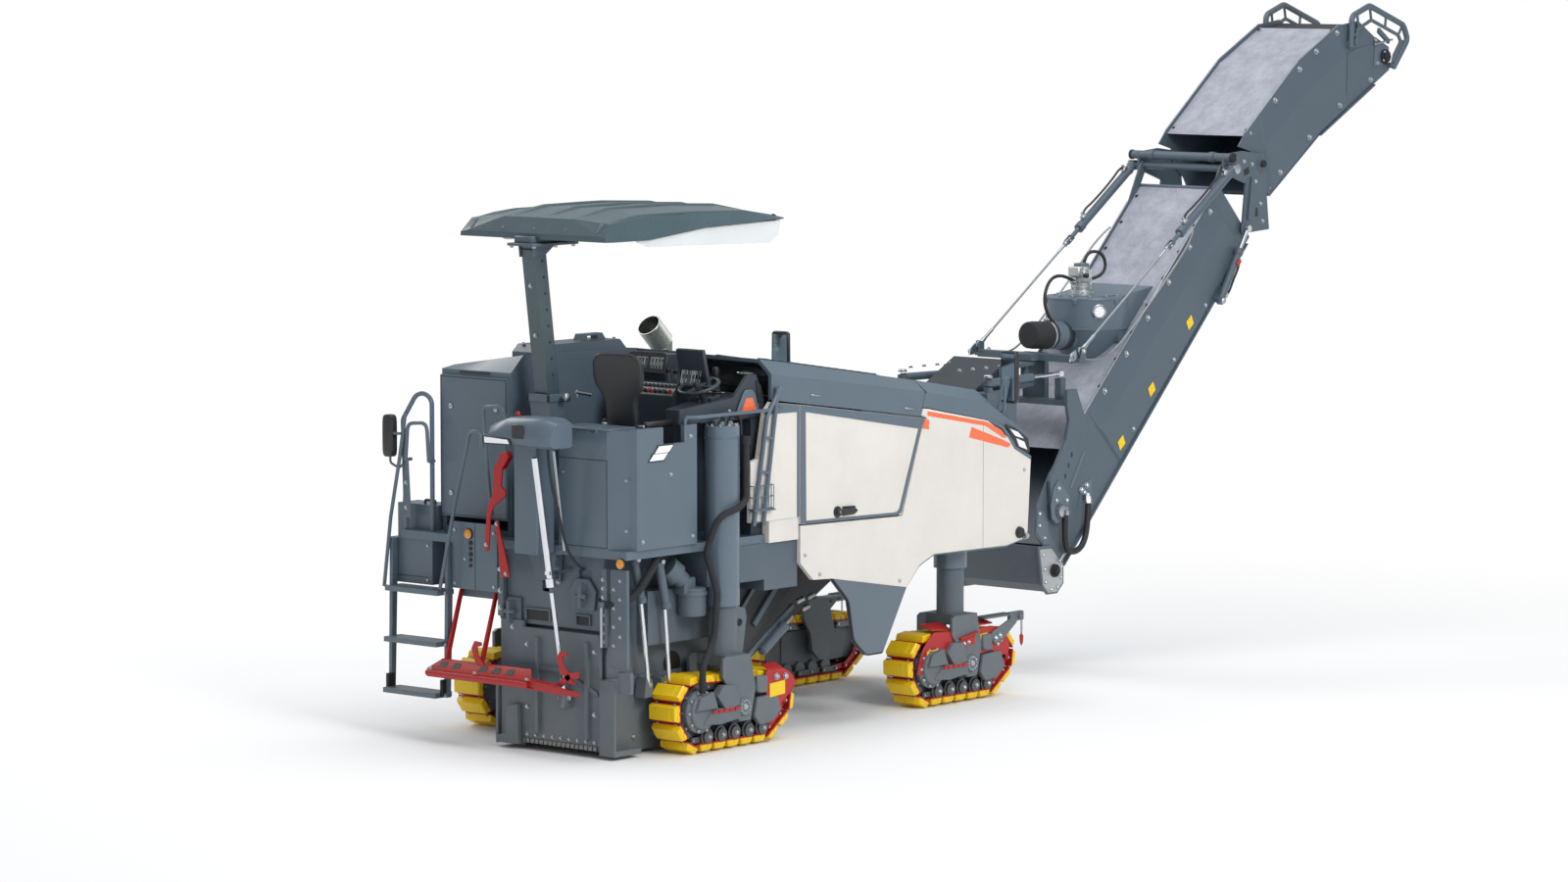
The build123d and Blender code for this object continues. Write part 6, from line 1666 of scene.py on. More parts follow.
class PLANER_OT_controls(bpy.types.Operator):
    """Add the displays, knobs, levers and bellows of the operator's consoles, and the reflector on the
    wing"""

    bl_idname = "planer.controls"
    bl_label = "Controls"

    def execute(self, context):
        self.consoles().hang("chassis", slot="black_plastic")
        self.wing().hang("chassis", slot="body_paint")
        return {"FINISHED"}

    def on_face(self, low, high, share):
        """A point on the sloping console face between two (x, z) corners."""
        return low[0] + (high[0] - low[0]) * share, low[1] + (high[1] - low[1]) * share

    def consoles(self):
        piece = Piece("console_fittings", "plastic", "screen", "zinc", "rubber", "yellow", "red")
        # Hooded binnacle with two round-cornered displays, on the screen box's rear face.
        low, high = (0.090, 2.600), (0.128, 2.716)
        way = Vector((-0.95, 0, 0.31)) * 0.012
        piece.plate([at(0.086, -0.31, 2.585), at(0.086, 0.07, 2.585), at(0.124, 0.075, 2.712),
                     at(0.132, 0.03, 2.735),
                     at(0.132, -0.27, 2.735), at(0.124, -0.315, 2.712)], way, BLOCK_EDGE)
        for y in (-0.285, -0.145):
            corners = [(self.on_face(low, high, s), yy) for s, yy in ((0.15, y), (0.15, y + 0.12),
                                                                      (0.85, y + 0.12), (0.85, y))]
            piece.use("screen").plate([at(x, yy, z) + way * 1.02 for (x, z), yy in corners], way * 0.15,
                                      SHEET_EDGE)
        piece.use("plastic")
        corners = [(self.on_face(low, high, s), yy) for s, yy in ((0.2, -0.01), (0.2, 0.05), (0.8, 0.05),
                                                                  (0.8, -0.01))]
        piece.plate([at(x, yy, z) + way for (x, z), yy in corners], way * 0.2, SHEET_EDGE)
        # Knob box: a bright field with rotary knobs and rocker switches.
        low, high = (0.000, 2.440), (0.060, 2.530)
        way = Vector((-0.83, 0, 0.55))
        corners = [(self.on_face(low, high, s), y) for s, y in ((0.06, -0.455), (0.06, -0.02), (0.94, -0.02),
                                                                (0.94, -0.455))]
        piece.use("zinc").plate([at(x, y, z) for (x, z), y in corners], way * 0.004, SHEET_EDGE)
        for k in range(9):
            x, z = self.on_face(low, high, 0.32)
            spot = at(x, -0.425 + 0.047 * k, z) + way * 0.004
            piece.use("plastic" if k % 4 else "red").turned(spot, spot + way * 0.024,
                                                           [(0, 0.016), (0.3, 0.016), (0.35, 0.012),
                                                            (1, 0.010)], 16)
        for k in range(11):
            x, z = self.on_face(low, high, 0.74)
            spot = at(x, -0.44 + 0.038 * k, z) + way * 0.004
            piece.use("rubber").block_on(spot, Vector((0, 1, 0)), way, Vector((0.55, 0, 0.83)), 0.011, 0.012,
                                         0.012, True, 0.002)
        # Slope ahead of it: a row of levers with ball knobs.
        for k in range(4):
            foot = at(0.12 + 0.03 * k, -0.40 + 0.10 * k, 2.535)
            piece.use("zinc").bar(foot, foot + Vector((-0.02, 0, 0.07)), 0.005)
            piece.use("plastic").turned(foot + Vector((-0.018, 0, 0.06)), foot + Vector((-0.028, 0, 0.098)),
                                        [(0, 0.006), (0.25, 0.016), (0.6, 0.019), (0.9, 0.012), (1, 0.004)],
                                        16)
        piece.use("yellow").block(at(0.02, 0.01, 2.452), at(0.055, 0.055, 2.470), HEAVY_EDGE)
        # Joystick with its bellows on the right shelf, and the wheel's column bellows and knob.
        for x, y, z in ((0.24, -0.66, 2.448), (0.075, -0.700, 2.405)):
            top = 0.10 if x > 0.2 else 0.075
            profile = [(0, 0.050)]
            for k in range(5):
                profile += [(0.1 + 0.16 * k, 0.047 - 0.006 * k), (0.18 + 0.16 * k, 0.036 - 0.005 * k)]
            piece.use("rubber").turned(at(x, y, z - 0.01), at(x - 0.03 * (x < 0.2), y, z + top),
                                       profile + [(1, 0.010)])
        piece.use("plastic").turned(at(0.24, -0.66, 2.53), at(0.235, -0.66, 2.65),
                                    [(0, 0.010), (0.3, 0.014), (0.5, 0.022), (0.8, 0.026), (0.95, 0.020),
                                     (1, 0.008)], 20)
        piece.turned(at(-0.10, -0.78, 2.515), at(-0.105, -0.78, 2.575),
                     [(0, 0.010), (0.3, 0.014), (0.5, 0.022), (0.85, 0.022),
                                                                       (1, 0.010)], 16)
        # Display beside the wheel: rows of keys over a lit screen, framed in its housing.
        face = Vector((-0.970, 0, 0.242))
        up = Vector((0.242, 0, 0.970))
        centre = at(0.070, -0.600, 2.640) + face * 0.0155
        for row in range(4):
            for column in range(6):
                spot = centre + Vector((0, -0.095 + 0.038 * column, 0)) + up * (0.115 - 0.030 * row)
                piece.use(("zinc", "yellow", "zinc", "rubber", "red")[(2 * row + column) % 5]).block_on(
                    spot, Vector((0, 1, 0)), face, up, 0.008, 0.003, 0.007, True, 0.001)
        corners = [centre + Vector((0, y, 0)) + up * u for y, u in ((-0.09, -0.125), (0.09, -0.125),
                                                                    (0.09, -0.012), (-0.09, -0.012))]
        piece.use("screen").plate(corners, face * 0.002, 0.0006)
        # Clamp lever and tee rods behind the seat.
        piece.use("zinc").bar(at(-0.66, -0.14, 2.50), at(-0.50, -0.14, 2.47), 0.011)
        piece.bar(at(-0.64, -0.14, 2.46), at(-0.64, -0.14, 2.515), 0.007)
        return piece

    def wing(self):
        """Handle bay on the right wing with its orange reflector, screws and a mirror arm."""
        piece = Piece("wing_fittings", "slate", "stripe", "plastic", "zinc", "screen")
        piece.plate([at(0.155, -0.906, 2.325), at(0.415, -0.906, 2.325), at(0.365, -0.906, 2.470),
                     at(0.330, -0.906, 2.498),
                     at(0.262, -0.906, 2.498), at(0.235, -0.906, 2.470)], (0, -0.018, 0), BLOCK_EDGE)
        piece.use("stripe").plate([at(0.212, -0.9235, 2.348), at(0.372, -0.9235, 2.348),
                                   at(0.332, -0.9235, 2.440),
                                   at(0.262, -0.9235, 2.440)], (0, -0.003, 0), SHEET_EDGE)
        piece.use("plastic").plate([at(0.40, -0.906, 2.40), at(0.465, -0.906, 2.40), at(0.43, -0.906, 2.52),
                                    at(0.385, -0.906, 2.56)], (0, -0.012, 0), HEAVY_EDGE)
        piece.use("screen").plate([at(0.30, -0.885, 2.602), at(0.385, -0.885, 2.602), at(0.385, -0.80, 2.606),
                                   at(0.30, -0.80, 2.606)], (0, 0, 0.012), PLATE_EDGE)
        piece.use("zinc")
        for x, z in ((-0.35, 2.34), (-0.1, 2.34), (0.1, 2.36)):
            piece.bolt(at(x, -0.906, z), (0, -1, 0), 0.02)
        return piece


class PLANER_OT_canopy(bpy.types.Operator):
    """Add ribs, visors and brackets to the canopy, and the post's holes and clamp"""

    bl_idname = "planer.canopy"
    bl_label = "Canopy"

    # Roof line from rear to front: distance along, height at the middle, height at the shoulder.
    ROOF = ((-0.865, 3.728, 3.705), (-0.70, 3.755, 3.722), (-0.50, 3.782, 3.738), (-0.10, 3.786, 3.740),
            (0.10, 3.786, 3.738),
            (0.60, 3.765, 3.722), (0.90, 3.722, 3.690))

    def execute(self, context):
        self.roof().hang("roof", slot="body_paint")
        self.visors().hang("roof", slot="panel_white")
        self.clamp().hang("chassis", slot="steel")
        return {"FINISHED"}

    def height(self, k, y):
        """Height of the roof's skin at a station of the roof line: flat in the middle, falling to the
        shoulder."""
        _, crown, shoulder = self.ROOF[k]
        return crown if abs(y) <= 0.33 else crown - (crown - shoulder) * (abs(y) - 0.33) / 0.31

    def roof(self):
        piece = Piece("canopy_ribs", "deep", "rubber", "zinc", "graphite")
        # Pressed ribs along the roof; each ends in a notch over the rear wall.
        for y in (-0.60, -0.30, 0.0, 0.30, 0.60):
            rows = []
            for k, (x, _, _) in enumerate(self.ROOF):
                fade = 0.25 if k in (0, len(self.ROOF) - 1) else 1.0
                rows.append([at(x, y - 0.022, self.height(k, y - 0.022) - 0.001),
                             at(x, y - 0.012, self.height(k, y - 0.012) + 0.013 * fade),
                             at(x, y + 0.012, self.height(k, y + 0.012) + 0.013 * fade),
                             at(x, y + 0.022, self.height(k, y + 0.022) - 0.001)])
            piece.skin(rows)
            piece.plate([at(-0.868, y - 0.016, 3.700), at(-0.868, y + 0.016, 3.700),
                         at(-0.925, y + 0.010, 3.632),
                         at(-0.925, y - 0.010, 3.632)], (-0.010, 0, 0.008), PLATE_EDGE)
        # Front edge trim.
        piece.use("rubber").pipe([at(0.900, -0.62, 3.694), at(0.955, -0.60, 3.684), at(0.960, 0.60, 3.684),
                                  at(0.900, 0.62, 3.694)], 0.010, 0.05, 10)
        # Bracket between the post's head and the roof, with gussets and bolts.
        piece.use("graphite").block(at(on_post(3.56) - 0.13, -0.075, 3.532),
                                    at(on_post(3.56) + 0.34, 0.175, 3.552), HEAVY_EDGE)
        piece.block(at(on_post(3.56) - 0.10, -0.035, 3.552),
                    at(on_post(3.56) + 0.30, 0.135, 3.600), BLOCK_EDGE)
        for y in (-0.022, 0.110):
            piece.plate([at(on_post(3.50) + 0.05, y, 3.465), at(on_post(3.50) + 0.15, y, 3.534),
                         at(on_post(3.50) - 0.08, y, 3.534),
                         at(on_post(3.50) - 0.07, y, 3.45)], (0, 0.012, 0), PLATE_EDGE)
        piece.use("zinc")
        for x, y in ((-0.10, -0.058), (-0.10, 0.158), (0.30, -0.058), (0.30, 0.158), (0.12, -0.058),
                     (0.12, 0.158)):
            piece.bolt(at(on_post(3.56) + x, y, 3.532), (0, 0, -1), 0.024)
        # Row of pin holes down both sides of the post, each a dark rubber disc that paints the shade inside
        # the hole.
        for k in range(8):
            z = 2.62 + 0.115 * k
            for side in (-1, 1):
                spot = at(on_post(z) + 0.015, POST_MIDDLE + side * 0.0598, z)
                piece.use("rubber").turned(spot, spot + Vector((0, side * 0.0012, 0)),
                                           [(0, 0.010), (1, 0.010)], 16)
        for z in (2.9, 3.25):
            piece.use("zinc").bolt(at(on_post(z) - 0.060, POST_MIDDLE, z), (-1, 0, -0.13), 0.024)
        return piece

    def visors(self):
        """Milky side visors under the roof's edges, each a bent sheet in a rail."""
        piece = Piece("canopy_visors", "visor", "rubber")
        for side in (-1, 1):
            edge = side * 0.672
            piece.use("visor").flat("y", edge, ((-0.62, 3.572), (-0.50, 3.532), (0.80, 3.505), (0.90, 3.560),
                                                (0.915, 3.672), (0.60, 3.662), (0.10, 3.648), (-0.35, 3.610),
                                                (-0.50, 3.590)), side * 0.005, SHEET_EDGE)
            piece.use("rubber").pipe([at(-0.40, side * 0.684, 3.602), at(0.10, side * 0.684, 3.644),
                                      at(0.60, side * 0.684, 3.658), at(0.86, side * 0.684, 3.664)], 0.006,
                                      0.02, 8)
        return piece

    def clamp(self):
        """Split collar at the top of the post's sleeve with its clamp screw, and the screws of the foot."""
        piece = Piece("post_clamp", "slate", "zinc")
        z = 2.462
        half = 0.100
        middle = on_post(z)
        for x0, x1, y0, y1 in ((middle - half, middle + half, -half, -half + 0.016),
                               (middle - half, middle + half, half - 0.016, half),
                               (middle - half, middle - half + 0.016, -half, half),
                               (middle + half - 0.016, middle + half, -half, half)):
            piece.use("slate").block(at(x0, POST_MIDDLE + y0, z - 0.03), at(x1, POST_MIDDLE + y1, z + 0.025),
                                     HEAVY_EDGE)
        spot = at(middle + 0.03, POST_MIDDLE - half, z)
        piece.use("zinc").bar(spot, spot + Vector((0, -0.05, 0)), 0.012)
        piece.turned(spot + Vector((0, -0.04, 0)), spot + Vector((0, -0.075, 0.0)),
                     [(0, 0.018), (0.3, 0.030), (0.8, 0.030),
                                                                                   (1, 0.018)], 8)
        for dz in (1.52, 1.60):
            for side in (-1, 1):
                piece.bolt(at(on_post(dz) + 0.04, POST_MIDDLE + side * 0.090, dz), (0, side, 0), 0.024)
        return piece


class PLANER_OT_access(bpy.types.Operator):
    """Add rails, mirror shells, ladder treads, the basket and the column heads"""

    bl_idname = "planer.access"
    bl_label = "Ladders, rails and mirrors"

    def execute(self, context):
        radius = context.scene.planer_sizes.rail / 2
        self.rails(radius).hang("chassis", slot="frame_paint")
        self.mirrors().hang("chassis", "mirrors", slot="black_plastic")
        self.treads().hang("chassis", slot="frame_paint")
        self.column_heads().hang("chassis", slot="steel")
        return {"FINISHED"}

    def rails(self, radius):
        """Rails beside the left ladder: inner loop, the second upright and the low loop over the box."""
        piece = Piece("access_rails", "slate", "zinc")
        thin = radius * 0.8
        piece.pipe([at(-1.00, 1.195, 1.96), at(-1.00, 1.173, 2.225), at(-1.00, 0.985, 2.24),
                    at(-1.00, 0.965, 1.96)],
                   thin, 0.06)
        piece.pipe([at(-1.06, 1.36, 1.05), at(-1.05, 1.30, 1.55), at(-1.02, 1.235, 1.98),
                    at(-1.00, 1.195, 2.30)], thin, 0.2)
        piece.pipe([at(-1.11, 0.755, 1.08), at(-1.06, 0.66, 1.66), at(-1.02, 0.565, 2.13),
                    at(-1.02, 0.545, 2.205),
                    at(-1.02, 0.44, 2.215), at(-1.02, 0.425, 2.10)], thin, 0.06)
        piece.pipe([at(-1.00, 0.345, 1.62), at(-1.00, 0.385, 1.90), at(-1.00, 0.43, 2.385),
                    at(-1.00, 0.25, 2.40),
                    at(-0.96, 0.235, 2.28), at(-0.885, 0.235, 2.28)], thin, 0.05)
        for y, z in ((1.195, 1.965), (0.965, 1.965)):
            piece.bar(at(-1.00, y, z), at(-0.94, y, z), thin * 0.9)
        piece.plate([at(-1.00, 1.15, 1.55), at(-1.00, 1.235, 1.55), at(-1.00, 1.215, 1.97),
                     at(-1.00, 1.175, 1.97)],
                    (0.012, 0, 0), PLATE_EDGE)
        piece.use("zinc")
        for y, z in ((1.19, 1.62), (1.19, 1.80)):
            piece.bolt(at(-1.00, y, z), (-1, 0, 0), 0.022)
        # Wire basket beside the right ladder.
        piece.use("slate")
        wire = 0.004
        for z in (1.655, 1.74, 1.82):
            piece.pipe([at(0.245, -0.955, z), at(0.245, -1.005, z), at(0.465, -1.005, z),
                        at(0.465, -0.955, z)], wire, 0.01, 8)
        for k in range(9):
            x = 0.25 + 0.027 * k
            piece.pipe([at(x, -1.005, 1.82), at(x, -1.005, 1.652), at(x, -0.96, 1.652)], wire * 0.8, 0.01, 6)
        return piece

    def mirrors(self):
        """Mirror of the left rail and of the hood, each a rounded shell with its glass let in."""
        piece = Piece("mirror_shells", "plastic", "mirror", "slate")
        rows = []
        for x, grow in ((-1.060, 0.72), (-1.050, 0.93), (-1.030, 1.0), (-1.004, 1.0), (-1.000, 0.97)):
            row = []
            for k in range(24):
                angle = math.tau * k / 24
                c, s = math.cos(angle), math.sin(angle)
                row.append(at(x, 1.330 + math.copysign(abs(c) ** 0.5, c) * 0.052 * grow,
                              2.130 + math.copysign(abs(s) ** 0.32, s) * 0.152 * min(1, grow + 0.06)))
            rows.append(row)
        piece.skin(rows)
        piece.use("mirror").plate([at(-0.9995, 1.290, 1.995), at(-0.9995, 1.370, 1.995),
                                   at(-0.9995, 1.372, 2.262),
                                   at(-0.9995, 1.288, 2.262)], (0.0015, 0, 0))
        piece.use("plastic").block(at(-1.062, 1.322, 2.03), at(-1.056, 1.338, 2.22), PLATE_EDGE)
        piece.use("slate").pipe([at(-1.015, 1.335, 1.985), at(-1.015, 1.335, 1.935), at(-1.015, 1.245, 1.900),
                                 at(-1.005, 1.215, 1.935)], 0.009, 0.03, 10)
        piece.pipe([at(3.13, -0.905, 2.120), at(3.13, -0.968, 2.170), at(3.13, -0.972, 2.400),
                    at(3.18, -0.968, 2.405)],
                   0.012, 0.04, 12)
        return piece

    def treads(self):
        """Open treads on the left ladder: rows of grip buttons; rubber hangers at the foot."""
        piece = Piece("ladder_treads", "slate", "rubber", "zinc")
        low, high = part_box("ladder_left")
        left, right = low.y + 0.03, high.y - 0.03
        for z in (0.305, 0.665, 1.035):
            top = z + 0.019
            for k in range(12):
                y = left + (right - left) * (k + 0.5) / 12
                for x in (-1.105, -1.055, -1.005):
                    spot = Vector((ZERO.x + x, y, top))
                    piece.turned(spot, spot + Vector((0, 0, 0.006)), [(0, 0.011), (1, 0.007)], 10)
        piece.use("rubber")
        for y in (low.y + 0.006, high.y - 0.036):
            piece.block(Vector((low.x + 0.05, y, 0.305)), Vector((low.x + 0.12, y + 0.030, 0.43)), BLOCK_EDGE)
        piece.use("zinc")
        for z in (0.32, 0.68, 1.05):
            for y, way in ((low.y, -1), (high.y, 1)):
                piece.bolt(Vector((low.x + 0.075, y, z)), (0, way, 0), 0.022)
        return piece

    def column_heads(self):
        """Bolted rings, sensor boxes and hose ends on the heads of the lifting columns, with the hoses on
        them."""
        piece = Piece("column_heads", "slate", "zinc")
        for x, y, top in ((0.0, -0.926, 2.242), (0.07, 1.032, 2.152)):
            ring = at(x, y, top)
            for k in range(10):
                angle = math.tau * k / 10
                piece.use("zinc").bolt(ring + Vector((0.104 * math.cos(angle), 0.104 * math.sin(angle),
                                                      0.028)), (0, 0, 1), 0.022)
            for dx, dy in ((-0.05, -0.045), (0.02, -0.06), (0.05, 0.03)):
                spot = ring + Vector((dx, dy, 0.030))
                piece.use("zinc").turned(spot, spot + Vector((0, 0, 0.030)),
                                         [(0, 0.015), (0.7, 0.015), (1, 0.011)], 6)
                free_hose("column_hose_%s_%d" % ("right" if y < 0 else "left", round(100 * (dx + 0.05))),
                          [spot + Vector((0, 0, 0.025)), spot + Vector((0, 0, 0.062)),
                           spot + Vector((0.05, 0, 0.078)),
                           Vector((ring.x + 0.125, spot.y, ring.z + 0.080)),
                           Vector((ring.x + 0.138, spot.y, ring.z + 0.010)),
                           Vector((ring.x + 0.132, spot.y, ring.z - 0.050))],
                          0.020, "rubber", "chassis")
            piece.use("slate").block(ring + Vector((-0.075, -0.010, 0.028)),
                                     ring + Vector((-0.020, 0.050, 0.070)), BLOCK_EDGE)
            piece.use("slate").turned(at(x, y, top - 0.062), at(x, y, top - 0.050),
                                      [(0, 0.1262), (1, 0.1262)], 40)
        return piece


# ---------------------------------------------------------------- discharge conveyor

TILT_PIN = (4.480, 1.260)
BOOM_WAY = (0.7133, 0.7009)
BOOM_FACE = 0.400
CLOTH_HALF = 0.386


def on_boom(u, y, v):
    """A point of the lower section: distance up the boom from its tilt pin, across, and height off the
    pin's line."""
    return at(TILT_PIN[0] + u * BOOM_WAY[0] - v * BOOM_WAY[1], y,
              TILT_PIN[1] + u * BOOM_WAY[1] + v * BOOM_WAY[0])


def folded_side(piece, side, stations):
    """A side panel folded lengthwise: each station gives the points at its lower edge, fold and top, and
    its depth."""
    rows = []
    for low, fold, top, depth in stations:
        rows.append([Vector((p.x, ZERO.y + side * (BOOM_FACE + y), p.z)) for p, y in
                     ((low, -0.001), (low.lerp(fold, 0.03), depth * 0.8), (fold, depth), (top, 0.0015),
                      (top, -0.001))])
    piece.skin(rows)


def stretched_cover(name, lines, half, node, body):
    """A cloth cover: sections along the conveyor, each a point and the way up, dished between its hems."""
    piece = Piece(name, "cover")
    rows = []
    fine = []
    for (one, way), (two, _) in zip(lines, lines[1:]):
        steps = max(2, int((two - one).length / 0.05))
        fine += [(one.lerp(two, k / steps), way) for k in range(steps)]
    fine.append(lines[-1])
    across = 20
    for thick in (0.0, 0.004):
        for k, (point, way) in enumerate(fine if thick == 0 else reversed(fine)):
            row = []
            for j in range(across + 1):
                y = half * (2 * j / across - 1)
                sag = 0.005 * (1 - (y / half) ** 2) * (0.6 + 0.4 * math.cos(point.x * 11.0))
                pull = 0.0012 * math.cos(point.x * 47.0) * (abs(y) / half) ** 6
                row.append(Vector((point.x, point.y + y, point.z)) - way * (0.0012 + sag + abs(pull) + thick))
            rows.append(row)
    rows.append(rows[0])
    grid = [[piece.mesh.verts.new(p) for p in row] for row in rows[:-1]]
    grid.append(grid[0])
    faces = [piece.mesh.faces.new((a[j], a[j + 1], b[j + 1], b[j])) for a, b in zip(grid, grid[1:])
             for j in range(across)]
    half_way = len(fine)
    for j in (0, across):
        for k in range(half_way - 1):
            faces.append(piece.mesh.faces.new((grid[k][j], grid[k + 1][j], grid[2 * half_way - 2 - k][j],
                                               grid[2 * half_way - 1 - k][j])))
    bmesh.ops.recalc_face_normals(piece.mesh, faces=faces)
    cloth = piece.hang(body, node, slot="belt_cover", smooth=60)
    return cloth


def free_hose(name, points, diameter, finish, body, blend=None):
    """A hose or rope: one smooth spline on its body, or, where blend is given, a mesh tube along it that
    crosses a joint and rides on no body.
    """
    line = bpy.data.curves.new(name, "CURVE")
    line.dimensions = "3D"
    line.bevel_depth = diameter / 2
    line.bevel_resolution = 3
    line.resolution_u = 10
    spline = line.splines.new("NURBS")
    spline.points.add(len(points) - 1)
    for spot, point in zip(spline.points, points):
        spot.co = (*point, 1)
    spline.order_u = 3
    spline.use_endpoint_u = True
    line.materials.append(FINISH[finish])
    hose = bpy.data.objects.new(name, line)
    bpy.context.scene.collection.objects.link(hose)
    line.bevel_depth = 0
    drawn = hose.evaluated_get(bpy.context.evaluated_depsgraph_get()).to_mesh()
    route = [v.co.copy() for v in drawn.vertices]
    hose.to_mesh_clear()
    line.bevel_depth = diameter / 2
    if blend:
        bpy.data.objects.remove(hose)
        tube = Piece(name, finish)
        tube.pipe(route, diameter / 2, 0.001, 12)
        hose = tube.hang(body)
        hose.parent = None
        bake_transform(hose)
        return hose
    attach(hose, body)
    return hose


class PLANER_OT_lower_section(bpy.types.Operator):
    """Finish the conveyor's lower section: folded sides, lips, clips, plates, cloth cover, foot and hose
    loop"""

    bl_idname = "planer.lower_section"
    bl_label = "Lower conveyor section"

    def execute(self, context):
        self.sides().hang("lower_section", slot="frame_paint", smooth=1.5)
        self.foot().hang("lower_section", slot="frame_paint")
        way = Vector((-BOOM_WAY[1], 0, BOOM_WAY[0]))
        lines = [(on_boom(u, 0, 0.238), way) for u in (0.42, 3.18)]
        stretched_cover("lower_cloth_cover", lines, CLOTH_HALF, "lower_cover", "lower_section")
        free_hose("foot_hose", [at(4.52, -0.468, 1.235), at(4.50, -0.470, 1.06), at(4.55, -0.470, 0.93),
                                at(4.70, -0.470, 0.94), at(4.775, -0.470, 1.04), at(4.80, -0.468, 1.20),
                                at(4.83, -0.450, 1.30)], 0.048, "rubber", "lower_section")
        return {"FINISHED"}

    def sides(self):
        piece = Piece("lower_section_sides", "graphite", "zinc", "yellow", "rubber", "slate")
        for side in (-1, 1):
            piece.use("graphite")
            stations = []
            for u, low, depth in ((0.800, -0.325, 0.002), (0.815, -0.325, 0.020), (2.300, -0.325, 0.020),
                                  (2.420, -0.295, 0.020), (3.030, -0.295, 0.020), (3.045, -0.295, 0.002)):
                stations.append((on_boom(u, 0, low), on_boom(u, 0, 0.030), on_boom(u, 0, 0.255), depth))
            folded_side(piece, side, stations)
            # Flange along the lower edge, and the zinc lip that holds the cloth; its bright zinc is also a
            # painted highlight along the top edge.
            face = side * BOOM_FACE
            piece.use("slate").plate([on_boom(-0.24, face, -0.376), on_boom(3.12, face, -0.342),
                                      on_boom(3.12, face, -0.334),
                                      on_boom(-0.24, face, -0.366)], (0, side * 0.024, 0), LIGHT_EDGE)
            piece.use("zinc").plate([on_boom(0.30, face, 0.256), on_boom(2.98, face, 0.256),
                                     on_boom(2.98, face, 0.266),
                                     on_boom(0.30, face, 0.266)], (0, -side * 0.010, 0), LIGHT_EDGE)
            outer = side * (BOOM_FACE + 0.0045)
            for u in (1.05, 1.44, 1.82, 2.20, 2.58, 2.96):
                centre = on_boom(u, outer, 0.205)
                piece.use("zinc").plate([centre + Vector((BOOM_WAY[0] * a - BOOM_WAY[1] * b, 0,
                                                          BOOM_WAY[1] * a + BOOM_WAY[0] * b))
                                         for a, b in ((-0.020, -0.022), (0.020, -0.022), (0.026, 0.010),
                                                      (0, 0.034), (-0.026, 0.010))],
                                        (0, side * 0.005, 0), SHEET_EDGE)
                piece.bolt(centre + Vector((0, side * 0.005, 0)), (0, side, 0), 0.026)
            for u in (1.08, 1.81, 2.39, 2.95):
                piece.bolt(on_boom(u, side * (BOOM_FACE + 0.017), -0.270), (0, side, 0), 0.026)
            for k in range(10):
                piece.use("rubber").turned(on_boom(0.50 + 0.285 * k, side * 0.362, 0.238),
                                           on_boom(0.50 + 0.285 * k, side * 0.362, 0.243),
                                           [(0, 0.014), (0.6, 0.014), (1, 0.009)], 12)
            for u, v in ((2.159, -0.221), (1.457, -0.227), (0.905, -0.235)):
                corners = [on_boom(u + a, side * (BOOM_FACE + 0.0185), v + b)
                           for a, b in ((-0.055, -0.032), (0.030, -0.040), (0.055, 0.032), (-0.030, 0.040))]
                piece.use("yellow").plate(corners, (0, side * 0.0015, 0), 0.0005)
        # Cross angle at the top end of the cloth.
        piece.use("slate").bar(on_boom(3.185, -0.385, 0.235), on_boom(3.185, 0.385, 0.235), 0.014)
        return piece

    def foot(self):
        """Cheek plates, bearing, tensioner, hose fittings and light trough ends at the foot."""
        piece = Piece("conveyor_foot", "slate", "zinc", "alloy", "iron")
        for side in (-1, 1):
            face = side * BOOM_FACE
            piece.use("slate").plate([at(4.255, face, 1.285), at(4.238, face, 1.12), at(4.45, face, 0.868),
                                      at(4.52, face, 0.815),
                                      at(4.585, face, 0.868), at(4.48, face, 0.99), at(4.40, face, 1.10),
                                      at(4.36, face, 1.25)],
                                     (0, side * 0.0045, 0), 0.0015)
            edge = side * 0.420
            piece.use("alloy").plate([at(4.262, edge, 0.975), at(4.302, edge, 0.700), at(4.365, edge, 0.634),
                                      at(4.476, edge, 0.634),
                                      at(4.545, edge, 0.700), at(4.545, edge, 0.840), at(4.402, edge, 0.975)],
                                     (0, side * 0.004, 0), 0.0015)
            piece.use("zinc")
            for x, z in ((4.30, 0.93), (4.315, 0.82), (4.33, 0.72), (4.40, 0.655), (4.48, 0.665),
                         (4.52, 0.74), (4.52, 0.82)):
                piece.bolt(at(x, side * 0.424, z), (0, side, 0), 0.022)
            for x, z in ((4.275, 1.16), (4.275, 1.25), (4.34, 1.06), (4.44, 0.94), (4.52, 0.86)):
                piece.bolt(at(x, side * 0.4045, z), (0, side, 0), 0.022)
            # Tail pulley's bearing and its tensioning screw.
            piece.use("iron").turned(at(4.44, edge, 0.80), at(4.44, side * 0.462, 0.80),
                                     [(0, 0.052), (0.5, 0.050), (0.55, 0.034), (0.95, 0.030), (1, 0.020)])
            piece.use("zinc").bar(at(4.475, side * 0.442, 0.86), at(4.60, side * 0.442, 0.985), 0.010)
            piece.bolt(at(4.58, side * 0.442, 0.965), (0.7, 0, 0.7), 0.030)
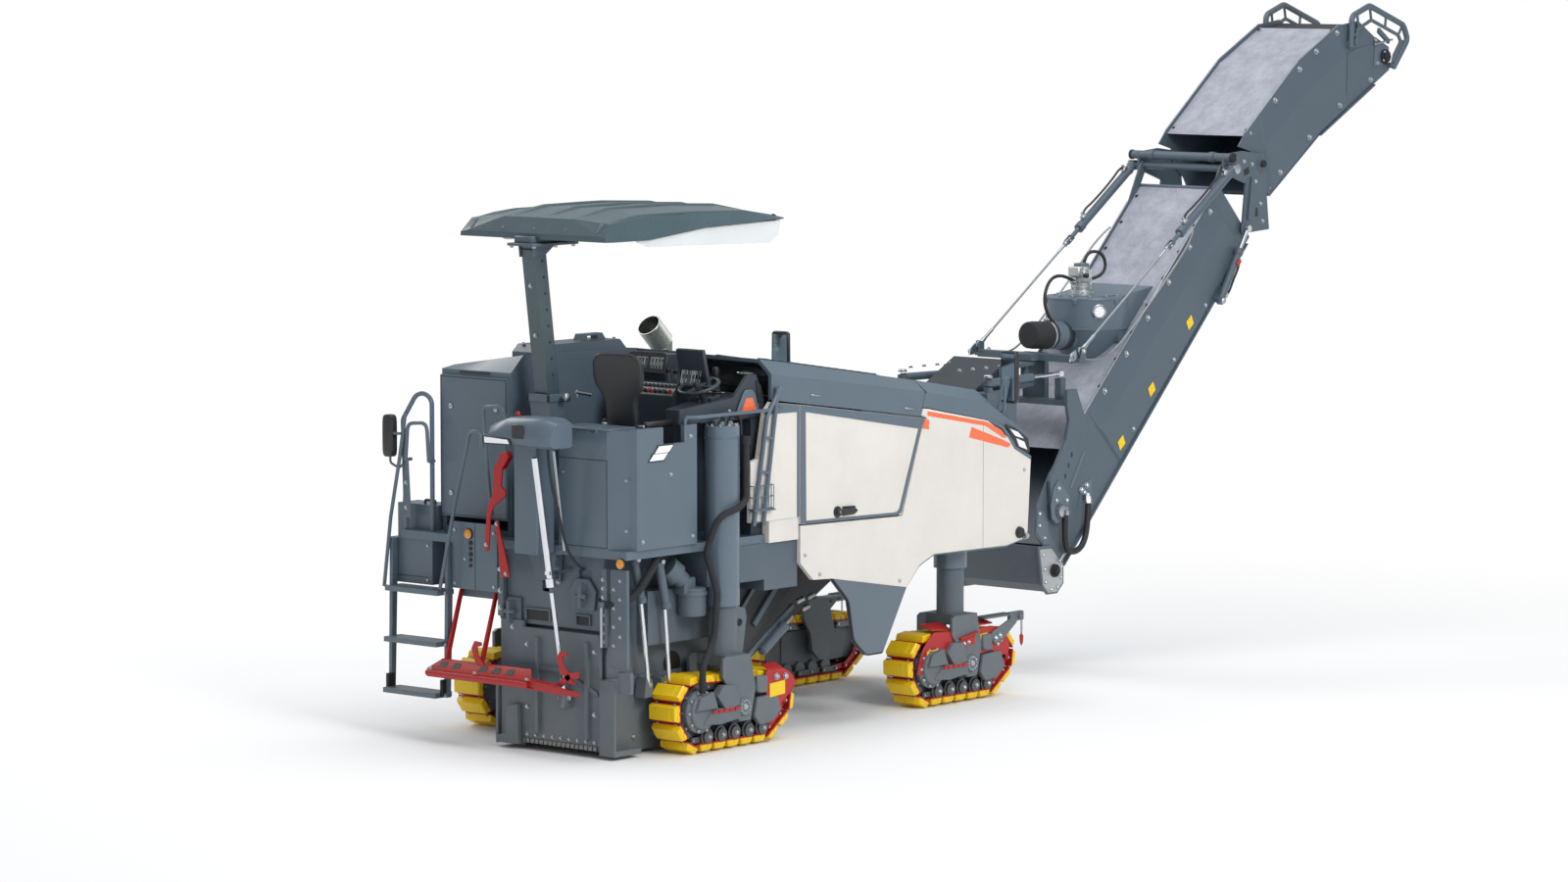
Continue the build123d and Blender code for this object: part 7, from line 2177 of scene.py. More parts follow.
        # Fittings where the hose loop leaves the boom and enters the pin.
        piece.use("zinc")
        piece.turned(at(4.52, -0.468, 1.225), at(4.53, -0.466, 1.285),
                     [(0, 0.028), (0.3, 0.030), (0.6, 0.030), (0.7, 0.02), (1, 0.02)], 6)
        piece.turned(at(4.822, -0.455, 1.285), at(4.85, -0.425, 1.36),
                     [(0, 0.028), (0.4, 0.032), (0.7, 0.032), (0.75, 0.022),
                                                                       (1, 0.022)], 6)
        for dx, dz in ((0.00, 0.03), (0.045, -0.015), (-0.035, 0.055), (0.03, 0.085)):
            piece.bolt(at(4.83 + dx, -0.405, 1.34 + dz), (0, -1, 0), 0.034)
        piece.use("slate").plate([at(4.76, -0.400, 1.26), at(4.93, -0.400, 1.30), at(4.93, -0.400, 1.47),
                                  at(4.80, -0.400, 1.44)],
                                 (0, -0.0045, 0), 0.0015)
        return piece


class PLANER_OT_suction(bpy.types.Operator):
    """Finish the dust suction unit: lid, motor, window, duct, clamps and free hoses, and the slack ropes"""

    bl_idname = "planer.suction"
    bl_label = "Dust suction unit"

    CENTRE = 5.390

    def execute(self, context):
        self.unit().hang("lower_section", slot="body_paint")
        bore = context.scene.planer_sizes.hose
        free_hose("suction_hose_long", [at(5.232, 0.0, 2.965), at(5.10, 0.0, 3.030), at(4.90, -0.01, 3.020),
                                        at(4.80, -0.02, 2.86),
                                        at(4.86, -0.03, 2.70), at(5.02, -0.04, 2.60),
                                        at(5.150, -0.04, 2.545)], bore,
                  "rubber", "lower_section")
        free_hose("suction_hose_short", [at(5.300, -0.03, 3.092), at(5.31, -0.04, 3.20),
                                         at(5.47, -0.07, 3.20), at(5.53, -0.08, 3.09),
                                         at(5.47, -0.07, 3.00), at(5.380, -0.03, 2.985)], bore, "rubber",
                                         "lower_section")
        for side in (-1, 1):
            y = side * 0.462
            points = [at(4.735, y, 2.420), at(4.95, y, 2.385), at(5.20, y, 2.50), at(5.45, y, 2.69),
                      at(5.78, y, 2.96),
                      at(6.12, y, 3.26), at(6.22, side * 0.412, 3.34)]
            free_hose("slack_rope_" + ("left" if side > 0 else "right"), points, 0.016, "rope",
                      "lower_section",
                      blend=("swivel_body", "lower_section"))
        return {"FINISHED"}

    def unit(self):
        piece = Piece("suction_fittings", "slate", "alloy", "zinc", "rubber", "lens", "sleeve")
        x = self.CENTRE
        # Rolled rim, clamp band and flat lid with its ring of bolts.
        piece.use("slate").turned(at(x, 0, 2.835), at(x, 0, 2.858), [(0, 0.3325), (0.5, 0.3325),
                                                                     (0.75, 0.329), (0.8, 0.255),
                                                                   (1, 0.250)], 64)
        piece.turned(at(x, 0, 2.602), at(x, 0, 2.616), [(0, 0.331), (0.1, 0.336), (0.9, 0.336), (1, 0.331)],
                     64)
        piece.turned(at(x, 0, 2.858), at(x, 0, 2.866), [(0, 0.235), (0.8, 0.235), (1, 0.228)], 56)
        for k in range(12):
            angle = math.tau * k / 12 + 0.2
            piece.use("zinc").bolt(at(x + 0.262 * math.cos(angle), 0.262 * math.sin(angle), 2.8565),
                                   (0, 0, 1), 0.018)
        # Clasps on the rim.
        for k in range(6):
            angle = math.tau * k / 6 + 0.35
            ray = Vector((math.cos(angle), math.sin(angle), 0))
            piece.use("slate").block_on(at(x, 0, 2.820) + ray * 0.329, ray.cross(Vector((0, 0, 1))), ray,
                                        Vector((0, 0, 1)),
                                        0.016, 0.010, 0.022, True, 0.003)
        # Hydraulic motor: bolted flange, finned case, valve block and its fittings.
        motor_x = 5.310
        piece.use("alloy").turned(at(motor_x, 0, 2.866), at(motor_x, 0, 3.085),
                                  [(0, 0.100), (0.06, 0.100), (0.07, 0.086), (0.18, 0.084), (0.19, 0.066),
                                   (0.24, 0.066),
                                   (0.26, 0.077), (0.34, 0.077), (0.36, 0.069), (0.44, 0.069), (0.46, 0.077),
                                   (0.62, 0.077),
                                   (0.64, 0.069), (0.95, 0.069), (1, 0.060)], 32)
        for k in range(8):
            angle = math.tau * k / 8
            ray = Vector((math.cos(angle), math.sin(angle), 0))
            piece.use("alloy").block_on(at(motor_x, 0, 2.985) + ray * 0.066, Vector((0, 0, 1)), ray,
                                        ray.cross(Vector((0, 0, 1))),
                                        0.075, 0.016, 0.006, True, 0.002)
            piece.use("zinc").bolt(at(motor_x, 0, 2.879) + ray * 0.091, (0, 0, 1), 0.016)
        piece.use("alloy").block(at(motor_x - 0.105, -0.055, 3.010), at(motor_x + 0.045, 0.055, 3.088), 0.008)
        piece.block(at(motor_x - 0.075, -0.085, 2.965), at(motor_x - 0.015, -0.045, 3.060), BLOCK_EDGE)
        for spot, way in ((at(5.206, 0, 2.965), Vector((-1, 0, 0.1))),
                          (at(5.300, -0.03, 3.088), Vector((0, 0, 1))),
                          (at(5.365, -0.03, 2.985), Vector((1, 0, 0)))):
            piece.use("zinc").turned(spot - way * 0.02, spot + way * 0.028,
                                     [(0, 0.019), (0.55, 0.019), (0.6, 0.016), (1, 0.016)], 6)
        piece.use("rubber").turned(at(5.236, -0.085, 3.02), at(5.236, -0.125, 3.02),
                                   [(0, 0.018), (0.8, 0.018), (1, 0.012)], 16)
        # Hose end on the cone.
        piece.use("zinc").turned(at(5.135, -0.040, 2.552), at(5.200, -0.045, 2.520),
                                 [(0, 0.018), (0.6, 0.020), (1, 0.020)], 6)
        piece.use("slate").turned(at(5.19, -0.045, 2.525), at(5.240, -0.045, 2.500), [(0, 0.034), (1, 0.034)],
                                  20)
        # Round inspection window with its bright rim.
        spot = Vector((-0.60, -0.80, 0)).normalized()
        window = at(x, 0, 2.748) + spot * 0.3285
        piece.use("zinc").turned(window, window + spot * 0.022, [(0, 0.058), (0.4, 0.058), (0.6, 0.052),
                                                                 (1, 0.048)], 32)
        piece.use("lens").turned(window + spot * 0.0215, window + spot * 0.024, [(0, 0.040), (1, 0.038)], 32)
        for k in range(6):
            angle = math.tau * k / 6
            side = spot.cross(Vector((0, 0, 1)))
            piece.use("zinc").bolt(window + spot * 0.008 + side * 0.054 * math.cos(angle)
                                   + Vector((0, 0, 0.054 * math.sin(angle))),
                                   spot, 0.010)
        # Duct from the cone over the swivel: pipe, woven sleeve and a bright worm clamp.
        piece.use("slate").turned(at(5.20, 0, 2.545), at(4.90, 0, 2.570),
                                  [(0, 0.108), (0.5, 0.108), (0.55, 0.113), (0.62, 0.108),
                                                                         (0.93, 0.108), (1, 0.104)], 40)
        piece.use("sleeve").turned(at(4.91, 0, 2.569), at(4.64, 0, 2.585),
                                   [(0, 0.109)] + [(0.04 + 0.15 * k + d, 0.108 - 0.004 * (d > 0))
                                                   for k in range(6)
                                                   for d in (0, 0.05, 0.10)] + [(0.96, 0.104), (1, 0.092)],
                                                   40)
        piece.use("zinc").turned(at(4.882, 0, 2.571), at(4.860, 0, 2.572),
                                 [(0, 0.1105), (0.2, 0.1135), (0.8, 0.1135), (1, 0.1105)], 40)
        piece.block(at(4.860, -0.030, 2.682), at(4.884, 0.030, 2.706), HEAVY_EDGE)
        piece.use("rubber").turned(at(5.10, 0, 2.552), at(5.02, 0, 2.560),
                                   [(0, 0.109), (0.1, 0.1125), (0.9, 0.1125), (1, 0.109)], 40)
        # Screws of the hood over the belt.
        for side in (-1, 1):
            for px, pz in ((5.72, 2.80), (5.95, 2.865), (6.16, 2.925)):
                piece.use("zinc").bolt(at(px, side * 0.310, pz), (0, side, 0), 0.020)
        return piece


class PLANER_OT_upper_section(bpy.types.Operator):
    """Finish the conveyor's upper section: folded sides, lips, clips, cloth cover, head guards and drive"""

    bl_idname = "planer.upper_section"
    bl_label = "Upper conveyor section"

    TOP = ((6.930, 4.095), (7.640, 4.647), (8.195, 4.926))

    def execute(self, context):
        self.sides().hang("upper_section", slot="frame_paint", smooth=1.5)
        self.head().hang("upper_section", slot="frame_paint")
        points = [at(x, 0, z) for x, z in ((6.932, 4.068), (7.640, 4.6195), (8.194, 4.898))]
        ways = [(points[k + 1] - points[k]).normalized()
                for k in (0, 1)] + [(points[2] - points[1]).normalized()]
        lines = [(p, Vector((-w.z, 0, w.x))) for p, w in zip(points, ways)]
        stretched_cover("upper_cloth_cover", lines, CLOTH_HALF, "upper_cover", "upper_section")
        return {"FINISHED"}

    def sides(self):
        piece = Piece("upper_section_sides", "graphite", "zinc", "rubber", "slate")
        # Lower edge, fold and top of the side at each station; the depth is how far the fold stands out.
        folded = (((7.272, 3.605), (7.172, 3.990), (7.100, 4.218), 0.002),
                  ((7.300, 3.622), (7.200, 4.010), (7.125, 4.238), 0.018),
                  ((7.938, 4.060), (7.816, 4.445), (7.640, 4.637), 0.024),
                  ((8.300, 4.246), (8.262, 4.672), (8.190, 4.914), 0.024),
                  ((8.312, 4.252), (8.276, 4.680), (8.204, 4.922), 0.002))
        behind = (((8.314, 4.253), 0.0045), ((8.690, 4.448), 0.0045), ((8.640, 4.760), 0.0045),
                  ((8.420, 4.730), 0.0045),
                  ((8.330, 4.700), 0.0045))
        for side in (-1, 1):
            piece.use("graphite")
            folded_side(piece, side, [(at(low[0], 0, low[1]), at(fold[0], 0, fold[1]), at(top[0], 0, top[1]),
                                       depth)
                                      for low, fold, top, depth in folded])
            face = side * BOOM_FACE
            piece.plate([at(x, face, z) for (x, z), _ in behind], (0, side * 0.0045, 0), SHEET_EDGE)
            # Zinc lips along the top edges; their bright zinc is also a painted highlight along those edges.
            for one, two in zip(self.TOP, self.TOP[1:]):
                way = (at(two[0], 0, two[1]) - at(one[0], 0, one[1])).normalized()
                up = Vector((-way.z, 0, way.x))
                a, b = at(one[0], face, one[1]), at(two[0], face, two[1])
                piece.use("zinc").plate([a - up * 0.004, b - up * 0.004, b + up * 0.006, a + up * 0.006],
                                        (0, -side * 0.010, 0), LIGHT_EDGE)
            low = ((7.251, 3.574), (7.938, 4.043), (8.700, 4.433))
            for one, two in zip(low, low[1:]):
                piece.use("slate").plate([at(one[0], face, one[1] - 0.006), at(two[0], face, two[1] - 0.006),
                                          at(two[0], face, two[1] + 0.006), at(one[0], face, one[1] + 0.006)],
                                         (0, side * 0.026 if one[0] > 7.3 else side * 0.0045, 0), SHEET_EDGE)
            for x, z, out in ((7.320, 4.339, 0.0045), (7.651, 4.582, 0.006), (7.881, 4.721, 0.006),
                              (8.171, 4.865, 0.006),
                              (7.376, 3.760, 0.018), (7.772, 4.030, 0.022), (8.198, 4.277, 0.022),
                              (8.655, 4.475, 0.0045)):
                piece.use("zinc").turned(at(x, side * (BOOM_FACE + out - 0.001), z),
                                         at(x, side * (BOOM_FACE + out + 0.004), z),
                                         [(0, 0.026), (1, 0.024)], 20)
                piece.bolt(at(x, side * (BOOM_FACE + out + 0.004), z), (0, side, 0), 0.026)
            for x, z in ((6.995, 4.085), (7.275, 3.640)):
                piece.use("zinc").turned(at(x, face, z), at(x, side * (BOOM_FACE + 0.004), z),
                                         [(0, 0.016), (1, 0.014)], 12)
            for k in range(7):
                spot = at(6.99, side * 0.362, 4.114).lerp(at(8.15, side * 0.362, 4.880), k / 6)
                rise = 0.028 * (1 - abs(2 * k / 6 - 1.15))
                piece.use("rubber").turned(spot + Vector((0, 0, rise)),
                                           spot + Vector((-0.004, 0, rise + 0.008)),
                                           [(0, 0.013), (1, 0.009)], 12)
        return piece

    def head(self):
        """Second bar and struts of the guards, the rubber flap, the belt over the pulley, bearings and
        drive motor."""
        piece = Piece("conveyor_head", "graphite", "zinc", "rubber", "iron", "alloy", "slate")
        inner = ((8.400, 4.770), (8.420, 4.890), (8.620, 4.965), (9.010, 4.835), (9.050, 4.780),
                 (8.940, 4.620))
        for side in (-1, 1):
            y = side * 0.430
            piece.use("graphite").pipe([at(x, y, z) for x, z in inner], 0.015, 0.05, 12)
            for one, two in (((8.440, 4.900), (8.42, 5.020)), ((8.620, 4.965), (8.60, 5.062)),
                             ((8.820, 4.900), (8.83, 4.985)),
                             ((9.010, 4.835), (9.06, 4.900)), ((8.350, 4.860), (8.410, 4.840))):
                piece.bar(at(one[0], y, one[1]), at(two[0], y, two[1]), 0.011, 12)
            piece.plate([at(8.90, y, 4.600), at(9.02, y, 4.640), at(9.10, y, 4.790), at(9.03, y, 4.800),
                         at(8.93, y, 4.680)],
                        (0, side * 0.010, 0), PLATE_EDGE)
            face = side * BOOM_FACE
            # Bearing housing of the head pulley with its take-up screw.
            piece.use("slate").plate([at(8.70, face, 4.585), at(8.915, face, 4.600), at(8.915, face, 4.740),
                                      at(8.72, face, 4.825)],
                                     (0, side * 0.006, 0), LIGHT_EDGE)
            piece.use("iron").turned(at(8.850, side * 0.405, 4.660), at(8.850, side * 0.452, 4.660),
                                     [(0, 0.062), (0.45, 0.060), (0.5, 0.044), (0.85, 0.040), (1, 0.028)], 28)
            for k in range(4):
                angle = math.tau * k / 4 + 0.6
                piece.use("zinc").bolt(at(8.850 + 0.049 * math.cos(angle), side * 0.4255,
                                          4.660 + 0.049 * math.sin(angle)),
                                       (0, side, 0), 0.018)
            piece.bar(at(8.690, side * 0.418, 4.765), at(8.945, side * 0.418, 4.800), 0.009)
            piece.bolt(at(8.715, side * 0.406, 4.800), (0, side, 0), 0.024)
            piece.bolt(at(8.745, side * 0.406, 4.610), (0, side, 0), 0.024)
            piece.use("graphite").plate([at(8.74, side * 0.40, 4.86), at(8.89, side * 0.40, 4.765),
                                         at(8.90, side * 0.40, 4.80),
                                         at(8.75, side * 0.40, 4.900)], (0, side * 0.03, 0), PLATE_EDGE)
        # Rubber flap behind the cloth, and the belt's return round the pulley.
        piece.use("rubber").plate([at(8.196, -0.386, 4.893), at(8.480, -0.386, 4.930),
                                   at(8.700, -0.386, 4.815),
                                   at(8.700, -0.386, 4.807), at(8.480, -0.386, 4.922),
                                   at(8.196, -0.386, 4.885)], (0, 0.772, 0))
        rows = []
        for k in range(13):
            angle = math.radians(118 - 200 * k / 12)
            rows.append([at(8.850 + r * math.cos(angle), y, 4.660 + r * math.sin(angle))
                         for y, r in ((-0.33, 0.083), (-0.33, 0.092), (0.33, 0.092), (0.33, 0.083))])
        rows.insert(0, [at(8.30, y, 4.460 + r) for y, r in ((-0.33, 0), (-0.33, 0.009), (0.33, 0.009),
                                                            (0.33, 0))])
        piece.skin(rows)
        for k in range(5):
            x = 8.40 + 0.085 * k
            z = 4.518 + 0.0485 * k
            for side in (-1, 1):
                piece.plate([at(x, 0, z), at(x + 0.02, 0, z + 0.011), at(x - 0.08, side * 0.29, z - 0.045),
                             at(x - 0.10, side * 0.29, z - 0.056)], (-0.008, 0, 0.014))
        # Drive motor at the left end of the pulley.
        piece.use("alloy").turned(at(8.850, 0.300, 4.660), at(8.850, 0.384, 4.660), [(0, 0.07), (1, 0.07)],
                                  24)
        return piece


class PLANER_OT_linkage(bpy.types.Operator):
    """Add pins, keepers, glands, hose ends and rope sockets to the folding plates, stays and cylinders"""

    bl_idname = "planer.linkage"
    bl_label = "Conveyor linkage"

    PIN_A = (6.6343, 3.8187)
    PIN_B = (7.100, 3.840)
    FOLD_BASE = (6.520, 2.775)
    FOLD_EYE = (6.885, 3.330)
    ROPE_EYE = (4.660, 2.486)

    def execute(self, context):
        self.plates().hang("fold_plates", slot="frame_paint")
        self.stay_barrels().hang("stay_cylinders", slot="frame_paint")
        self.stay_rods().hang("stays", slot="steel")
        self.fold_cylinders().hang("fold_cylinders", slot="frame_paint")
        self.swivel().hang("swivel_body", slot="frame_paint")
        self.slew().hang("chassis", slot="frame_paint")
        return {"FINISHED"}

    def plates(self):
        piece = Piece("fold_plate_fittings", "graphite", "zinc", "rubber", "iron")
        for side in (-1, 1):
            face = side * 0.430
            for (x, z), radius in ((self.PIN_B, 0.052), (self.FOLD_EYE, 0.042)):
                piece.use("graphite").turned(at(x, face, z), at(x, face + side * 0.006, z),
                                             [(0, radius + 0.012), (1, radius + 0.009)], 28)
                piece.use("iron").turned(at(x, side * 0.440, z), at(x, side * 0.468, z),
                                         [(0, radius * 0.55), (0.8, radius * 0.55),
                                                                                      (1, radius * 0.45)])
            for x, z in ((6.74, 3.90), (6.86, 3.865), (6.97, 3.84), (6.95, 3.56), (7.09, 3.52), (7.12, 3.38),
                         (7.02, 3.70)):
                piece.use("zinc").bolt(at(x, face, z), (0, side, 0), 0.026)
            # Stiffening rib, and the openings cut in the plate, drawn as thin dark rubber plates that paint
            # the shade inside them.
            piece.use("graphite").plate([at(6.905, face, 3.40), at(6.935, face, 3.40), at(6.985, face, 3.72),
                                         at(6.955, face, 3.74)],
                                        (0, side * 0.022, 0), PLATE_EDGE)
            piece.use("rubber").plate([at(7.02, face, 3.42), at(7.06, face, 3.42), at(7.055, face, 3.49),
                                       at(7.03, face, 3.49)],
                                      (0, side * 0.0012, 0))
            piece.plate([at(6.87, face, 3.75), at(6.94, face, 3.77), at(6.93, face, 3.82),
                         at(6.86, face, 3.80)],
                        (0, side * 0.0012, 0))
        x, z = self.PIN_A[0] - 0.015, self.PIN_A[1] + 0.086
        for side in (-1, 1):
            piece.use("iron").turned(at(x, side * 0.490, z), at(x, side * 0.514, z),
                                     [(0, 0.039), (0.8, 0.039), (1, 0.030)])
        for y in (-0.30, 0.30):
            piece.use("graphite").turned(at(x, y - 0.025, z), at(x, y + 0.025, z), [(0, 0.042), (1, 0.042)],
                                         24)
        return piece

    def stay_barrels(self):
        piece = Piece("stay_barrel_fittings", "graphite", "zinc", "alloy")
        for side in (-1, 1):
            top = at(self.PIN_A[0], side * 0.5, self.PIN_A[1])
            foot = at(self.ROPE_EYE[0], side * 0.5, self.ROPE_EYE[1])
            way = (foot - top).normalized()
            piece.use("graphite").turned(top + way * 0.805, top + way * 0.870,
                                         [(0, 0.0345), (0.1, 0.040), (0.9, 0.040), (1, 0.024)])
            piece.turned(top + way * 0.055, top + way * 0.085, [(0, 0.0345), (0.2, 0.038), (0.8, 0.038),
                                                                (1, 0.0345)])
            up = Vector((way.z, 0, -way.x))
            if up.z < 0:
                up = -up
            for share in (0.12, 0.76):
                spot = top + way * share + up * 0.032
                piece.use("alloy").block_on(spot, way, up, Vector((0, 1, 0)), 0.026, 0.028, 0.020, True,
                                            0.004)
                piece.use("zinc").turned(spot + up * 0.026, spot + up * 0.050, [(0, 0.014), (1, 0.012)], 6)
            free_hose("stay_hose_" + ("left" if side > 0 else "right"),
                      [top + way * 0.12 + up * 0.060, top + way * 0.15 + up * 0.085,
                       top + way * 0.30 + up * 0.066,
                       top + way * 0.58 + up * 0.066, top + way * 0.73 + up * 0.085,
                       top + way * 0.76 + up * 0.060],
                      0.018, "rubber", "stay_cylinders")
            piece.use("zinc").turned(top + Vector((0, side * 0.026, 0)), top + Vector((0, side * 0.042, 0)),
                                     [(0, 0.040), (0.8, 0.040), (1, 0.032)], 20)
        return piece

    def stay_rods(self):
        """Clevis and turnbuckle below each stay cylinder, and the socket at the rope's lower end."""
        piece = Piece("stay_rope_sockets", "graphite", "zinc")
        for side in (-1, 1):
            top = at(self.PIN_A[0], side * 0.5, self.PIN_A[1])
            foot = at(self.ROPE_EYE[0], side * 0.5, self.ROPE_EYE[1])
            way = (foot - top).normalized()
            piece.use("graphite").turned(top + way * 0.885, top + way * 0.975,
                                         [(0, 0.0165), (0.1, 0.0178), (0.9, 0.0178), (1, 0.016)], 20)
            for y in (-0.022, 0.014):
                spot = top + way * 1.010 + Vector((0, y, 0))
                piece.block_on(spot, way, Vector((0, 1, 0)), way.cross(Vector((0, 1, 0))), 0.045, 0.008,
                               0.018, True, 0.002)
            piece.use("zinc").bar(top + way * 1.025 + Vector((0, -0.034, 0)),
                                  top + way * 1.025 + Vector((0, 0.034, 0)), 0.011)
            piece.turned(top + way * 1.00, top + way * 1.180, [(0, 0.015), (0.15, 0.015), (0.2, 0.021),
                                                               (0.45, 0.021), (0.5, 0.012),
                                                             (0.9, 0.0105), (1, 0.0095)], 16)
            run = (foot - top).length
            piece.turned(top + way * (run - 0.21), top + way * (run - 0.022),
                         [(0, 0.0095), (0.15, 0.0135), (0.65, 0.0135), (0.75, 0.018),
                                                                            (1, 0.018)], 16)
            piece.ring(foot, 0.026, 0.006, (0, 1, 0), 20)
        return piece

    def fold_cylinders(self):
        piece = Piece("fold_cylinder_fittings", "graphite", "zinc", "red", "alloy")
        for side in (-1, 1):
            base = at(self.FOLD_BASE[0], side * 0.460, self.FOLD_BASE[1])
            eye = at(self.FOLD_EYE[0], side * 0.460, self.FOLD_EYE[1])
            way = (eye - base).normalized()
            out = Vector((way.z, 0, -way.x))
            piece.use("graphite").turned(base + way * 0.42, base + way * 0.478,
                                         [(0, 0.0305), (0.1, 0.036), (0.9, 0.036), (1, 0.017)])
            piece.use("zinc").turned(base + Vector((0, side * 0.018, 0)), base + Vector((0, side * 0.045, 0)),
                                     [(0, 0.026), (0.7, 0.026), (1, 0.018)], 20)
            for share in (0.07, 0.38):
                spot = base + way * share + out * 0.028
                piece.use("alloy").block_on(spot, way, out, Vector((0, 1, 0)), 0.022, 0.024, 0.017, True,
                                            0.003)
            free_hose("fold_hose_" + ("left" if side > 0 else "right"),
                      [base + way * 0.38 + out * 0.050, base + way * 0.34 + out * 0.066,
                       base + way * 0.23 + out * 0.060,
                       base + way * 0.12 + out * 0.066, base + way * 0.07 + out * 0.050], 0.018, "rubber",
                       "fold_cylinders")
            piece.use("red").turned(base + way * 0.33 + Vector((0, side * 0.028, 0)),
                                    base + way * 0.37 + Vector((0, side * 0.036, 0)),
                                    [(0, 0.020), (1, 0.020)], 16)
        return piece

    def swivel(self):
        """Sector plates, pin caps, rope lugs with their clamps and the sensor plate of the swivel."""
        piece = Piece("swivel_fittings", "graphite", "zinc", "rubber", "slate")
        x, z = TILT_PIN
        for side in (-1, 1):
            face = side * 0.440
            sector = [at(4.46, face, 1.50), at(4.395, face, 1.44), at(4.36, face, 1.31),
                      at(4.375, face, 1.21), at(4.43, face, 1.165),
                      at(4.50, face, 1.17), at(4.565, face, 1.24), at(4.60, face, 1.36)]
            piece.use("slate").plate(sector, (0, side * 0.010, 0), PLATE_EDGE)
            piece.use("zinc").turned(at(x, side * 0.4605, z), at(x, side * 0.476, z),
                                     [(0, 0.046), (0.8, 0.046), (1, 0.036)], 28)
            for px, pz in ((4.425, 1.345), (4.455, 1.435), (4.555, 1.335)):
                piece.bolt(at(px, side * 0.450, pz), (0, side, 0), 0.026)
            # Slots in the arm for the tilt sensor's lead, drawn as thin dark rubber plates that paint the
            # shade inside them.
            for px, pz in ((4.545, 1.50), (4.585, 1.58), (4.625, 1.66)):
                piece.use("rubber").plate([at(px, face, pz), at(px + 0.016, face, pz + 0.012),
                                           at(px + 0.010, face, pz + 0.046),
                                           at(px - 0.006, face, pz + 0.034)], (0, side * 0.0012, 0))
            # Ribs that stiffen the arm at its two bends.
            piece.use("slate").plate([at(4.60, face, 1.43), at(4.635, face, 1.43), at(4.80, face, 1.70),
                                      at(4.772, face, 1.70)],
                                     (0, side * 0.005, 0), LIGHT_EDGE)
            # Rope lug: outer cheek, oval clamps and thimbles.
            cheek = side * 0.516
            piece.use("graphite").plate([at(4.625, cheek, 2.43), at(4.700, cheek, 2.43),
                                         at(4.695, cheek, 2.50), at(4.672, cheek, 2.52),
                                         at(4.645, cheek, 2.515)], (0, side * 0.008, 0), LIGHT_EDGE)
            piece.block(at(4.625, min(side * 0.486, cheek), 2.403),
                        at(4.700, max(side * 0.486, cheek + side * 0.008), 2.43), PLATE_EDGE)
            piece.use("zinc").bolt(at(4.660, side * 0.524, 2.486), (0, side, 0), 0.030)
            piece.plate([at(4.52, side * 0.49, 2.41), at(4.575, side * 0.49, 2.41),
                         at(4.625, side * 0.49, 2.44),
                         at(4.60, side * 0.49, 2.50), at(4.54, side * 0.49, 2.47)], (0, side * 0.010, 0),
                         PLATE_EDGE)
            for px, pz in ((4.735, 2.435), (4.555, 2.440)):
                piece.ring(at(px, side * 0.470 if px > 4.6 else side * 0.505, pz), 0.022, 0.006, (0, 1, 0),
                           16)
        return piece

    def slew(self):
        """Bolts, keepers and hose fittings on the fixed carrier of the swivel, and the slim strut in the
        nose."""
        piece = Piece("swivel_carrier_fittings", "graphite", "zinc", "slate")
        for side in (-1, 1):
            piece.use("zinc").turned(at(3.620, side * 0.420, 2.341), at(3.620, side * 0.420, 2.362),
                                     [(0, 0.034), (0.7, 0.034), (1, 0.026)], 20)
        for k in range(5):
            for side in (-1, 1):
                piece.use("zinc").bolt(at(3.50 + 0.16 * k, side * 0.24, 2.3885), (0, 0, 1), 0.026)
        # Slim strut that props the nose hood.
        piece.use("slate").bar(at(3.05, -0.60, 1.50), at(3.34, -0.52, 2.02), 0.014)
        return piece


class PLANER_OT_drum_tools(bpy.types.Operator):
    """Tip every pick of the milling drum with carbide and give its holder a worn collar"""

    bl_idname = "planer.drum_tools"
    bl_label = "Drum tools"

    ROWS = 14
    TOOLS_A_ROW = 3
    AXIS = (-0.250, 0.590)

    def execute(self, context):
        piece = Piece("carbide_tips", "carbide", "iron")
        first, pitch = -0.598, 0.0626
        for row in range(self.ROWS):
            for tool in range(self.TOOLS_A_ROW):
                angle = math.radians(360 / self.TOOLS_A_ROW * tool + 31.0 * row)
                ray = Vector((math.cos(angle), 0, math.sin(angle)))
                centre = at(self.AXIS[0], first + row * pitch, self.AXIS[1])
                piece.use("carbide").turned(centre + ray * 0.452, centre + ray * 0.476,
                                            [(0, 0.0075), (0.5, 0.0065), (1, 0.0015)], 10)
                piece.use("iron").turned(centre + ray * 0.410, centre + ray * 0.424,
                                         [(0, 0.024), (0.8, 0.024), (1, 0.019)], 14)
        piece.hang("drum", slot="steel")
        return {"FINISHED"}


# ---------------------------------------------------------------- stage


# Lamps: name, place and aim from the machine's own zero, width in metres, power in watts.
LAMPS = (
    ("key_panel", (-3, -17, 12), (0.5, 0, 1.2), 7, 1700),
    ("back_panel", (2, 14, 12), (1, 0, 1.5), 10, 1100),
    ("top_panel", (3, -2, 15), (3, 0, 1), 12, 1000),
)
CAMERA_PLACE = (-28.79, -26.30, 5.85)
CAMERA_AIM = (1.742, 0, 1.972)
LENS_MM = 126.3
SENSOR_MM = 36
CAMERA_REACH = 400
FLOOR_REACH = 60
FLOOR_MIDDLE = (1.0, 0.0, 0)
# Distances from the floor's middle between which it fades from paper into plain white.
FADE_START, FADE_END = 4.5, 12.0
SKY_STRENGTH = 0.54


